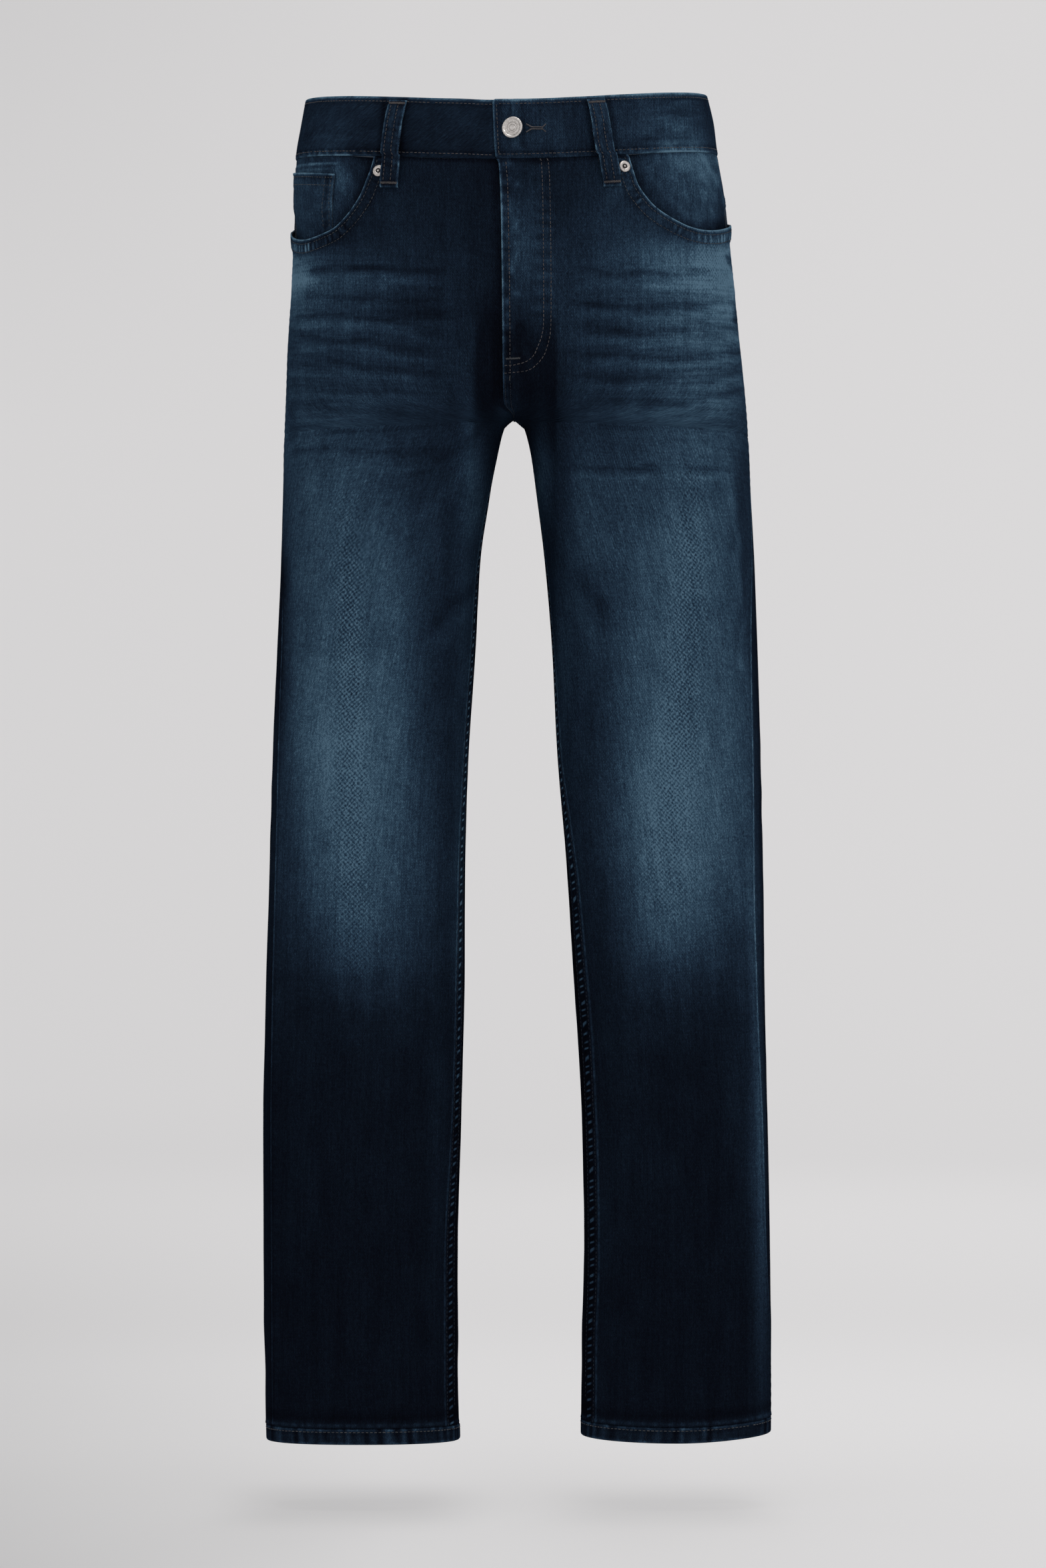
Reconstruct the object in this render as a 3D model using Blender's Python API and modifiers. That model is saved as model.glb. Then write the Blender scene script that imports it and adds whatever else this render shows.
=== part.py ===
"""Straight leg jeans, filled out and empty: a hollow five-pocket garment built panel by panel.

The garment stands in its own frame: +Z up, the front towards -Y, the wearer's left at +X, and the
origin at the middle of the waistband ring.  Lengths are in millimetres here and become metres
when a mesh is made.  One form, given by short tables of widths and depths, carries every piece:
a panel is cut from that form by its seam lines, and a piece that lies on a panel is cut from the
same points and moved out.
"""
import math

import bmesh
import bpy
import numpy as np
from mathutils import Matrix, Vector
from mathutils.geometry import delaunay_2d_cdt

NAME = "straight_leg_jeans"
MM = 0.001

# ---------------------------------------------------------------- driving sizes
WAIST_TOP = 22.0            # heights along the garment, measured at the side seam
WAIST_SEAM = -26.0
HEM_SEAM = -1040.0
HEM_END = -1053.0
CROTCH_H = -250.0           # height at which the legs part
CROTCH_Y, CROTCH_Z = 8.0, -235.0
CENTRE_X = 5.3              # centre front and centre back
FRONT_RISE_H, BACK_RISE_H, RISE_POWER = -180.0, -170.0, 2.6
TILT = 0.0116               # the waist sits a little higher on the left

SEAM_GAP = 0.3              # between neighbouring pieces
DENIM = 1.4                 # wall of a single panel
BAND, BAND_PROUD = 2.4, 0.4  # the doubled waistband and how far it stands out
PATCH = 1.2                 # pocket patches
HEM, HEM_PROUD = 2.8, 0.4   # the turned and stitched hem
LOOP, LOOP_BOW, LOOP_SEAT = 2.0, 6.2, 0.75
UNDERLAP_ARC = 46.0         # what the right front runs on beneath the fly
BUTTON_R, BUTTON_T = 8.7, 3.0
RIVET_R, RIVET_T = 4.7, 1.5

# ---------------------------------------------------------------- the form
OUTER = dict(   # half widths at the outermost point, a column for each leg
    z=(22, 0, -23, -60, -100, -140, -180, -215, -235, -260, -300, -350, -420, -500, -600, -700, -800, -900, -1000, -1053),
    right=(161.0, 165.2, 168.8, 170.1, 171.4, 173.2, 176.0, 176.8, 177.8, 178.6, 180.2, 181.6, 184.2, 187.7, 190.6, 193.8, 195.3, 194.9, 193.8, 192.6),
    left=(160.2, 165.0, 168.2, 174.6, 179.0, 182.9, 186.8, 190.6, 192.2, 193.9, 195.8, 198.7, 200.6, 202.9, 205.2, 206.8, 209.3, 210.6, 211.8, 211.4),
)
INNER = dict(   # half distances of the inner thighs and shins from the middle
    z=(-235, -237, -240, -247, -260, -300, -350, -420, -500, -600, -700, -800, -900, -1000, -1053),
    right=(-5.3, -2.0, 1.4, 4.0, 7.2, 14.6, 21.5, 25.1, 30.4, 33.5, 34.2, 36.7, 39.3, 39.0, 38.0),
    left=(5.3, 9.8, 13.0, 15.6, 19.1, 24.7, 30.8, 36.6, 40.4, 48.3, 54.7, 60.2, 61.9, 59.8, 59.5),
)
DEPTH = dict(   # where front, back and side lie, where their crests fall, and how square a section is
    z=(22, -23, -60, -100, -140, -180, -215, -235, -260, -300, -350, -420, -500, -600, -700, -800, -900, -1000, -1053),
    front=(-100, -107, -111, -113.5, -114.5, -112.5, -109, -106, -102, -96, -89, -81, -73, -66, -61, -58, -56, -55, -54),
    back=(110, 118, 127, 135, 139, 138, 133, 128, 120, 109, 98, 88, 78, 70, 66, 63, 61, 60, 59),
    side=(4, 4, 5, 6, 8, 9, 9, 9, 9, 8, 6, 4, 2, 2, 3, 3, 4, 4, 4),
    front_x=(0.10, 0.12, 0.20, 0.28, 0.36, 0.44, 0.48, 0.50, 0.5, 0.5, 0.5, 0.5, 0.5, 0.5, 0.5, 0.5, 0.5, 0.5, 0.5),
    back_x=(0.10, 0.12, 0.20, 0.32, 0.42, 0.48, 0.50, 0.50, 0.5, 0.5, 0.5, 0.5, 0.5, 0.5, 0.5, 0.5, 0.5, 0.5, 0.5),
    square=(2.15, 2.2, 2.3, 2.35, 2.4, 2.4, 2.4, 2.4, 2.4, 2.45, 2.5, 2.5, 2.5, 2.5, 2.5, 2.5, 2.5, 2.5, 2.5),
)
CENTRE = dict(  # how the rise seams draw in and how the waist dips in front and climbs behind
    z=(22, -23, -60, -100, -125, -140, -160),
    front_in=(0, 0, 0.4, 1.0, 1.5, 2.0, 2.6),
    back_in=(0, 0, 0.5, 1.5, 2.2, 2.8, 3.4),
    front_dip=(-10, -10, -8.5, -6.5, -5, -4.5, -4),
    back_dip=(5, 6, 5, 2, 0, 0, 0),
)
SEAMS = dict(   # outseam ahead (-) or behind (+) of the outermost point; inseam ahead of the innermost
    z=(22, -23, -100, -200, -250, -300, -400, -500, -600, -700, -800, -900, -1000, -1053),
    out_right=(0, 0, 0, -5, -8, -12, -18, -21, -22, -22, -22, -22, -22, -22),
    out_left=(0, 0, 0, -6, -10, -15, -22, -25, -25, -24, -20, -12, 0, 3),
    in_right=(0, 0, 0, 0, 0, 15, 16, 14, 14, 14, 16, 19, 21, 22),
    in_left=(0, 0, 0, 0, 0, 3, 4, 7, 12, 15, 18, 20, 21, 22),
)
FLY = dict(     # how far the left front laps over the centre line
    z=(22, -25.8, -26.2, -60, -120, -200, -220, -236, -250),
    beyond=(16.8, 14.2, 12.1, 10.2, 9.2, 8.4, 8.0, 5.0, 0.0),
)
HEM_LIFT = dict(  # how the hem line rises round each leg: inner, front, outer, back, inner
    z=(0.0, 0.25, 0.5, 0.75, 1.0),
    right=(0, 0, 0, 0, 0),
    left=(4, 1, 6.5, 3, 4),
)

# ---------------------------------------------------------------- seam lines on the form
# u runs 0 at the centre front or inseam, 1 at the outseam, 2 at the centre back or inseam.
MOUTH = dict(   # front pocket mouths, from the waistband to the outseam
    right_u=(0.452, 0.462, 0.476, 0.490, 0.520, 0.555, 0.592, 0.649, 0.699, 0.750, 0.810, 0.870, 0.930, 1.0),
    right_h=(-26.0, -36.0, -47.0, -57.5, -69.5, -79.0, -85.5, -90.0, -92.5, -93.5, -92.5, -90.0, -86.5, -82.0),
    left_u=(0.440, 0.443, 0.447, 0.452, 0.470, 0.495, 0.528, 0.567, 0.612, 0.662, 0.721, 0.783, 0.890, 1.0),
    left_h=(-26.0, -36.0, -46.5, -52.5, -61.0, -69.0, -75.5, -81.0, -85.5, -88.0, -88.5, -87.5, -84.0, -80.0),
)
YOKE = dict(u=(1.0, 1.25, 1.5, 1.75, 2.0), h=(-66.0, -72.0, -79.0, -88.0, -99.0))
COIN = dict(u=(0.606, 0.985, 0.985, 0.606), h=(-41.0, -36.5, -103.0, -106.0))
BACK_POCKET = dict(u=(1.249, 1.785, 1.655, 1.400, 1.260), h=(-104.0, -113.0, -228.0, -246.0, -226.0))
LOOPS = dict(   # name, side, and the slanted strip from top to bottom
    name=("belt_loop_front_right", "belt_loop_front_left", "belt_loop_back_right", "belt_loop_back_left"),
    side=(-1, 1, -1, 1),
    top_u=(0.375, 0.365, 1.43, 1.43),
    bottom_u=(0.391, 0.369, 1.44, 1.44),
)
LOOP_TOP, LOOP_BOTTOM, LOOP_WIDTH = 18.5, -52.0, 14.5
BUTTON_AT = dict(side=1, u=0.0663, h=-2.0)
RIVETS = dict(name=("rivet_right", "rivet_left"), side=(-1, 1), u=(0.429, 0.415), h=(-38.0, -36.0))

COLUMNS = np.concatenate([np.linspace(0, 1, 11), np.linspace(1, 2, 11)[1:]])
ROWS = (22, -25.85, -26.15, -44, -64, -86, -112, -140, -168, -190, -207, -222,
        -236, -250, -260, -275, -300, -345, -410, -490, -590, -700, -820,
        -940, -1039.85, -1040.15, -1053)


def smooth(t):
    t = np.clip(t, 0.0, 1.0)
    return t * t * (3 - 2 * t)


def curve(table, column, at):
    """A monotone cubic through one column of a table, read at the heights given."""
    x, y = np.array(table["z"], float), np.array(table[column], float)
    if x[0] > x[-1]:
        x, y = x[::-1], y[::-1]
    d = np.diff(y) / np.diff(x)
    m = np.zeros_like(y)
    both = d[1:] + d[:-1]
    m[1:-1] = np.where(d[1:] * d[:-1] > 0, 2 * d[1:] * d[:-1] / np.where(np.abs(both) < 1e-12, 1, both), 0)
    m[0], m[-1] = d[0], d[-1]
    at = np.clip(np.asarray(at, float), x[0], x[-1])
    i = np.clip(np.searchsorted(x, at) - 1, 0, len(x) - 2)
    w = x[i + 1] - x[i]
    t = (at - x[i]) / w
    return ((1 + 2 * t) * (1 - t) ** 2 * y[i] + t * (1 - t) ** 2 * w * m[i]
            + t * t * (3 - 2 * t) * y[i + 1] + t * t * (t - 1) * w * m[i + 1])


def name_of(side):
    return "right" if side < 0 else "left"


def inner_ends(side, h):
    """Front and back ends of the half section: on the centre line above the crotch, on the inner thigh below it."""
    if h <= CROTCH_H:
        z = h + (CROTCH_Z - CROTCH_H) * (1 - float(smooth((CROTCH_H - h) / 80.0)))
        x = float(curve(INNER, name_of(side), z)) * side
        y = CROTCH_Y + (float(curve(DEPTH, "side", z)) - CROTCH_Y) * float(smooth((CROTCH_H - h) / 60.0))
        return (x, y, z), (x, y, z)
    ends = []
    for start, face, sign in ((FRONT_RISE_H, "front", -1), (BACK_RISE_H, "back", 1)):
        top = max(h, start)
        y = float(curve(DEPTH, face, top)) - sign * float(curve(CENTRE, face + "_in", top))
        z = top + float(curve(CENTRE, face + "_dip", top))
        if h < start:
            turn = (start - h) / (start - CROTCH_H) * math.pi / 2
            y = CROTCH_Y + (y - CROTCH_Y) * math.cos(turn) ** (2 / RISE_POWER)
            z = z + (CROTCH_Z - z) * math.sin(turn) ** (2 / RISE_POWER)
        ends.append((CENTRE_X, y, z))
    return tuple(ends)


def half_section(side, h, samples):
    """Points round one side at height h, with the arc lengths to the outermost point and to the end."""
    (xe, ye, ze), (xb, yb, zb) = inner_ends(side, h)
    xo, yo = float(curve(OUTER, name_of(side), h)) * side, float(curve(DEPTH, "side", h))
    xf = xe + (xo - xe) * float(curve(DEPTH, "front_x", h))
    xk = xb + (xo - xb) * float(curve(DEPTH, "back_x", h))
    yf, yk = float(curve(DEPTH, "front", h)), float(curve(DEPTH, "back", h))
    parted = float(smooth((-206.0 - h) / 42.0))
    s = np.linspace(0, 1, samples)
    c, sn = np.cos(s * math.pi / 2), np.sin(s * math.pi / 2)

    def inner(x0, y0, x1, y1):
        p = 2 / (2.6 - 0.3 * float(smooth((-270.0 - h) / 150.0)))
        qx, qy = x1 + (x0 - x1) * c ** p, y0 + (y1 - y0) * sn ** p
        sx, sy = x0 + (x1 - x0) * s, y0 + (y1 - y0) * (0.5 - 0.5 * np.cos(math.pi * s))
        return np.stack([parted * qx + (1 - parted) * sx, parted * qy + (1 - parted) * sy], 1)

    def outer(x0, y0, x1, y1):
        p = 2 / float(curve(DEPTH, "square", h))
        return np.stack([x0 + (x1 - x0) * sn ** p, y1 + (y0 - y1) * c ** p], 1)

    front = np.concatenate([inner(xe, ye, xf, yf), outer(xf, yf, xo, yo)[1:]])
    back = np.concatenate([outer(xk, yk, xo, yo)[::-1][1:], inner(xb, yb, xk, yk)[::-1][1:]])
    line = np.concatenate([front, back])
    arc = np.concatenate([[0], np.cumsum(np.linalg.norm(np.diff(line, axis=0), axis=1))])
    side_arc, total = arc[len(front) - 1], arc[-1]
    z = np.where(arc <= side_arc, h + (ze - h) * 0.5 * (1 + np.cos(math.pi * arc / side_arc)),
                 h + (zb - h) * 0.5 * (1 - np.cos(math.pi * (arc - side_arc) / (total - side_arc))))
    at = np.linspace(0, total, samples)
    return np.stack([np.interp(at, arc, v) for v in (line[:, 0], line[:, 1], z)], 1), side_arc, total


def ease_centre(rows, h, reach=24.0, soft=5.0):
    """Round the section where its halves meet, in front and behind, between the hips and the crotch."""
    amount = float(smooth((-150.0 - h) / 45.0)) * float(smooth((h - CROTCH_H) / 7.0))
    if amount <= 0:
        return rows
    for back in (False, True):
        lines = {s: (rows[s][0][::-1] if back else rows[s][0]) for s in (-1, 1)}
        steps = {s: rows[s][2] / (len(lines[s]) - 1) for s in (-1, 1)}
        count = {s: int(2 * reach / steps[s]) for s in (-1, 1)}
        ring = np.concatenate([lines[-1][1:count[-1]][::-1], lines[1][:count[1]]])
        mid = count[-1] - 1
        place = np.concatenate([-steps[-1] * np.arange(1, count[-1])[::-1], steps[1] * np.arange(count[1])])
        weight = np.exp(-0.5 * ((place[:, None] - place[None, :]) / soft) ** 2)
        eased = (weight / weight.sum(1, keepdims=True)) @ ring
        blend = (amount * (1 - smooth((np.abs(place) - 0.4 * reach) / reach)))[:, None]
        ring = ring * (1 - blend) + eased * blend
        lines[-1][1:count[-1]] = ring[:mid][::-1]
        lines[1][:count[1]] = ring[mid:]
        lines[-1][0] = ring[mid]
    for s in (-1, 1):
        line, side_arc, total = rows[s]
        step = np.linalg.norm(np.diff(line, axis=0), axis=1)
        arc = np.concatenate([[0], np.cumsum(step)])
        at = np.linspace(0, arc[-1], len(line))
        side_arc = float(np.interp(side_arc, np.linspace(0, total, len(line)), arc))
        rows[s] = (np.stack([np.interp(at, arc, line[:, k]) for k in range(3)], 1), side_arc, arc[-1])
    return rows


class Form:
    """The outer surface of the cloth, read by side, arc length from the inner end, and height."""

    def __init__(self, step=2.0, samples=241):
        self.h = np.append(np.arange(WAIST_TOP, HEM_END, -step), HEM_END)
        self.n = samples
        self.grid, self.side_arc, self.total = {-1: [], 1: []}, {-1: [], 1: []}, {-1: [], 1: []}
        for h in self.h:
            rows = ease_centre({s: half_section(s, float(h), samples) for s in (-1, 1)}, float(h))
            for s in (-1, 1):
                for store, value in zip((self.grid, self.side_arc, self.total), rows[s]):
                    store[s].append(value)
        for store in (self.grid, self.side_arc, self.total):
            for s in (-1, 1):
                store[s] = np.array(store[s])
        self.ease_rows()

    def ease_rows(self, soft=15.0):
        """Ease the form from row to row where the legs part, away from the rise and the inner thighs."""
        near = smooth((-130 - self.h) / 40) * smooth((self.h + 380) / 60)
        weight = np.exp(-0.5 * ((self.h[:, None] - self.h[None, :]) / soft) ** 2)
        weight /= weight.sum(1, keepdims=True)
        f = np.linspace(0, 1, self.n)
        share = smooth(np.minimum(f, 1 - f) / 0.10)
        for s in (-1, 1):
            grid = self.grid[s]
            eased = np.einsum("ab,bcd->acd", weight, grid)
            blend = (near[:, None] * share[None, :])[..., None]
            grid = grid * (1 - blend) + eased * blend
            for i, line in enumerate(grid):
                arc = np.concatenate([[0], np.cumsum(np.linalg.norm(np.diff(line, axis=0), axis=1))])
                even = np.linspace(0, self.total[s][i], self.n)
                self.side_arc[s][i] = np.interp(self.side_arc[s][i], even, arc)
                self.total[s][i] = arc[-1]
                at = np.linspace(0, arc[-1], self.n)
                grid[i] = np.stack([np.interp(at, arc, line[:, k]) for k in range(3)], 1)
            self.grid[s] = grid

    def length(self, side, h, whole=False):
        return np.interp(-np.asarray(h, float), -self.h, (self.total if whole else self.side_arc)[side])

    def arcs(self, side, u, h):
        """Arc position of a seam coordinate u at height h."""
        above = h > CROTCH_H
        shift = curve(SEAMS, "in_" + name_of(side), h)
        start = np.where(above, curve(FLY, "beyond", h) * -side, shift)
        middle = self.length(side, h) + curve(SEAMS, "out_" + name_of(side), h)
        end = self.length(side, h, True) + np.where(above, 0, shift)
        return np.where(u < 1, start + u * (middle - start), middle + (u - 1) * (end - middle))

    def point(self, side, arc, h):
        side, arc, h = (np.array(v) for v in np.broadcast_arrays(side, np.asarray(arc, float), np.asarray(h, float)))
        parted = h <= CROTCH_H
        arc[parted & (arc < 0)] += self.length(1, h, True)[parted & (arc < 0)] if (side > 0).all() \
            else self.length(-1, h, True)[parted & (arc < 0)]
        over = arc < 0                      # past the centre front, on the other side
        side[over] *= -1
        arc[over] *= -1
        out = np.zeros(arc.shape + (3,))
        row = np.clip(np.interp(-h, -self.h, np.arange(len(self.h))), 0, len(self.h) - 1.000001)
        i = row.astype(int)
        t = (row - i)[..., None]
        for s in (-1, 1):
            m = side == s
            if not m.any():
                continue
            total = self.length(s, h[m], True)
            a = np.where(arc[m] > total, np.where(h[m] <= CROTCH_H, arc[m] - total, total), arc[m])
            f = np.clip(np.clip(a / total, 0, 1) * (self.n - 1), 0, self.n - 1.000001)
            j = f.astype(int)
            w, g, r = (f - j)[..., None], self.grid[s], i[m]
            high, low = g[r, j] * (1 - w) + g[r, j + 1] * w, g[r + 1, j] * (1 - w) + g[r + 1, j + 1] * w
            p = high * (1 - t[m]) + low * t[m]
            p[..., 2] += smooth((-900 - h[m]) / 150) * curve(HEM_LIFT, name_of(s), np.clip(a / total, 0, 1))
            p[..., 2] += TILT * p[..., 0] * smooth((h[m] + 200) / 200)
            out[m] = p
        return out


# ---------------------------------------------------------------- flat sheets of the form
SCALE_U = 220.0             # u is stretched to about the panel's width while outlines are cut


class Sheet:
    """A triangulated piece of the form: flat places (u, h), points, normals and how far each is moved out."""

    def __init__(self, side, flat, faces, point, normal, out):
        self.side, self.flat, self.faces, self.point, self.normal, self.out = side, flat, faces, point, normal, out

    def cut(self, outline, lines=()):
        """The part of the sheet inside an outline, with the lines kept as edges."""
        flat = [tuple(p) for p in self.flat]
        loop = [(u * SCALE_U, h) for u, h in outline]
        n = len(flat)
        points, edges = list(flat) + loop, [(n + k, n + (k + 1) % len(loop)) for k in range(len(loop))]
        for line in lines:
            n = len(points)
            points += [(u * SCALE_U, h) for u, h in line]
            edges += [(n + k, n + k + 1) for k in range(len(line) - 1)]
        verts, _, faces, _, _, source = delaunay_2d_cdt([Vector(p) for p in points], edges, [list(f) for f in self.faces], 0, 1e-5, True)
        xy = np.array([tuple(v) for v in verts])
        ring = np.array(loop)
        kept, corners = [], {}
        for face, origin in zip(faces, source):
            origin = [o for o in origin if 0 <= o < len(self.faces)]
            if not origin or not inside(xy[list(face)].mean(0), ring):
                continue
            kept.append(tuple(face))
            for v in face:
                corners.setdefault(v, origin[0])
        order = sorted(corners)
        place = {v: k for k, v in enumerate(order)}
        point, normal, out = [], [], []
        for v in order:
            tri = self.faces[corners[v]]
            w = barycentric(xy[v], self.flat[list(tri)])
            point.append(w @ self.point[list(tri)])
            normal.append(w @ self.normal[list(tri)])
            out.append(w @ self.out[list(tri)])
        return Sheet(self.side, xy[order], [tuple(place[v] for v in f) for f in kept],
                     np.array(point), np.array(normal), np.array(out))

    def move(self, amount):
        """Move the sheet out, by one amount or by a function of (u, h)."""
        if callable(amount):
            amount = amount(self.flat[:, 0] / SCALE_U, self.flat[:, 1])
        return Sheet(self.side, self.flat, self.faces, self.point, self.normal, self.out + amount)

    def at(self, u, h):
        """Point and normal of one place on the sheet."""
        p = np.array((u * SCALE_U, h))
        for tri in self.faces:
            w = barycentric(p, self.flat[list(tri)])
            if w.min() > -1e-6:
                return w @ self.point[list(tri)], w @ self.normal[list(tri)]
        raise ValueError((u, h))


def inside(p, ring):
    x, y = ring[:, 0], ring[:, 1]
    xn, yn = np.roll(x, -1), np.roll(y, -1)
    span = (y > p[1]) != (yn > p[1])
    cross = (xn - x) * (p[1] - y) / np.where(yn == y, 1, yn - y) + x
    return bool(np.count_nonzero(span & (p[0] < cross)) % 2)


def barycentric(p, tri):
    a, b, c = tri
    d = (b[0] - a[0]) * (c[1] - a[1]) - (c[0] - a[0]) * (b[1] - a[1])
    v = ((p[0] - a[0]) * (c[1] - a[1]) - (c[0] - a[0]) * (p[1] - a[1])) / d
    w = ((b[0] - a[0]) * (p[1] - a[1]) - (p[0] - a[0]) * (b[1] - a[1])) / d
    return np.array((1 - v - w, v, w))


def whole_side(form, side):
    """The loft of one side through all its rows and columns."""
    h, u = np.meshgrid(np.array(ROWS, float), COLUMNS, indexing="ij")
    point = form.point(side, form.arcs(side, u, h), h)
    n = len(COLUMNS)
    faces = []
    for r in range(len(ROWS) - 1):
        for c in range(n - 1):
            a, b, d, e = r * n + c, r * n + c + 1, (r + 1) * n + c, (r + 1) * n + c + 1
            faces += [(d, e, b), (d, b, a)]
    flat = np.stack([u.ravel() * SCALE_U, h.ravel()], 1)
    return Sheet(side, flat, faces, point.reshape(-1, 3), None, np.zeros(flat.shape[0]))


def share_normals(sheets):
    """Vertex normals from the facets all round each place, also where two sheets or two edges of one meet."""
    point = np.concatenate([s.point for s in sheets])
    _, place = np.unique(np.round(point, 2), axis=0, return_inverse=True)
    place = place.reshape(-1)
    total, start = np.zeros((place.max() + 1, 3)), 0
    for s in sheets:
        f = np.array(s.faces)
        p = s.point[f]
        n = np.cross(p[:, 1] - p[:, 0], p[:, 2] - p[:, 0]) * s.side
        for k in range(3):
            np.add.at(total, place[start + f[:, k]], n)
        start += len(s.point)
    total /= np.maximum(np.linalg.norm(total, axis=1, keepdims=True), 1e-9)
    start = 0
    for s in sheets:
        s.normal = total[place[start:start + len(s.point)]]
        start += len(s.point)


def gap_u(form, side, u, h):
    """Half a seam gap, as a step of u."""
    low = 0.0 if u <= 1.0 else 1.0
    length = form.arcs(side, np.array(low + 1.0), np.array(h)) - form.arcs(side, np.array(low), np.array(h))
    return 0.5 * SEAM_GAP / abs(float(length))


def edge(form, side, u, top, bottom, inward):
    """A seam edge down the rows from top to bottom, half a gap inside its piece."""
    heights = [top] + [h for h in ROWS if bottom < h < top] + [bottom]
    panel = u if u in (0, 2) else u + 0.25 * inward
    return [(u + inward * gap_u(form, side, panel, h), h) for h in heights]


def row(u0, u1, h):
    """A straight edge along one height, with a point at each column."""
    low, high = min(u0, u1), max(u0, u1)
    inner = [u for u in COLUMNS if low + 1e-4 < u < high - 1e-4]
    line = [low] + inner + [high]
    return [(u, h) for u in (line if u0 < u1 else line[::-1])]


def mouth(side, rise=0.0):
    """A pocket mouth from waistband to outseam, moved up towards the waistband by rise."""
    u, h = np.array(MOUTH[name_of(side) + "_u"]), np.array(MOUTH[name_of(side) + "_h"])
    if rise:
        du, dh = np.gradient(u * SCALE_U), np.gradient(h)
        size = np.hypot(du, dh)
        u, h = u - dh / size * rise / SCALE_U, h + du / size * rise
    return u, h


def mouth_distance(side, u, h):
    """How far places lie above a pocket mouth, negative behind the front panel."""
    mu, mh = mouth(side)
    a, b = np.stack([mu[:-1] * SCALE_U, mh[:-1]], 1), np.stack([mu[1:] * SCALE_U, mh[1:]], 1)
    p = np.stack([u * SCALE_U, h], -1)[:, None]
    t = np.clip(((p - a) * (b - a)).sum(-1) / ((b - a) ** 2).sum(-1), 0, 1)
    gap = p - (a + t[..., None] * (b - a))
    d = np.linalg.norm(gap, axis=-1)
    k = d.argmin(1)
    pick = np.arange(len(k))
    cross = (b - a)[k, 0] * gap[pick, k, 1] - (b - a)[k, 1] * gap[pick, k, 0]
    return d[pick, k] * np.sign(cross)


# ---------------------------------------------------------------- making objects
def material(name, colour, rough, metal=0.0):
    m = bpy.data.materials.new(name)
    m.use_nodes = True
    shader = m.node_tree.nodes["Principled BSDF"]
    shader.inputs["Base Color"].default_value = (*colour, 1.0)
    shader.inputs["Roughness"].default_value = rough
    shader.inputs["Metallic"].default_value = metal
    m.diffuse_color = (*colour, 1.0)
    return m


def cloth(name, collection, sheets, wall, colour):
    """One cloth piece: its sheets joined along their shared line, lofted from its outer to its inner face.

    Both faces move along the form's own normals, which neighbours share at a seam, so the walls of
    two panels stay a seam gap apart through their whole thickness.
    """
    outer, inner, faces = [], [], []
    for sheet in sheets:
        index = []
        for p, n, out in zip(sheet.point, sheet.normal, sheet.out):
            place = p + n * out
            same = [k for k, q in enumerate(outer) if np.abs(q - place).max() < 0.02]
            if not same:
                outer.append(place)
                inner.append(p + n * (out - wall))
            index.append(same[0] if same else len(outer) - 1)
        for f in sheet.faces:
            f = [index[k] for k in (f if sheet.side > 0 else f[::-1])]
            if len(set(f)) == 3:
                faces.append(f)
    edges = {(f[k], f[(k + 1) % 3]) for f in faces for k in range(3)}
    rim = [(a, b) for a, b in edges if (b, a) not in edges]
    mesh, bm = bpy.data.meshes.new(name), bmesh.new()
    top = [bm.verts.new(p * MM) for p in outer]
    under = [bm.verts.new(p * MM) for p in inner]
    for f in faces:
        bm.faces.new([top[k] for k in f])
        bm.faces.new([under[k] for k in f[::-1]])
    for a, b in sorted(rim):
        bm.faces.new([top[b], top[a], under[a], under[b]])
    bmesh.ops.triangulate(bm, faces=bm.faces)
    bm.to_mesh(mesh)
    bm.free()
    mesh.shade_smooth()
    mesh.set_sharp_from_angle(angle=math.radians(50))
    mesh.materials.append(material("cloth_" + name, colour, 0.85))
    obj = bpy.data.objects.new(name, mesh)
    collection.objects.link(obj)
    return obj


def turned(name, collection, profile, steps, where, normal, colour, rough, metal):
    """A turned fitting: a profile of (radius, height) spun round the normal of the cloth."""
    mesh = bpy.data.meshes.new(name)
    mesh.from_pydata([(r * MM, 0.0, z * MM) for r, z in profile], [(k, k + 1) for k in range(len(profile) - 1)], [])
    mesh.materials.append(material("metal_" + name, colour, rough, metal))
    obj = bpy.data.objects.new(name, mesh)
    collection.objects.link(obj)
    obj.location = Vector(where) * MM
    obj.rotation_euler = Vector(normal).to_track_quat("Z", "Y").to_euler()
    screw = obj.modifiers.new("turn", "SCREW")
    screw.steps = screw.render_steps = steps
    screw.use_merge_vertices = True
    screw.merge_threshold = 0.00001
    screw.use_smooth_shade = True
    return obj


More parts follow.
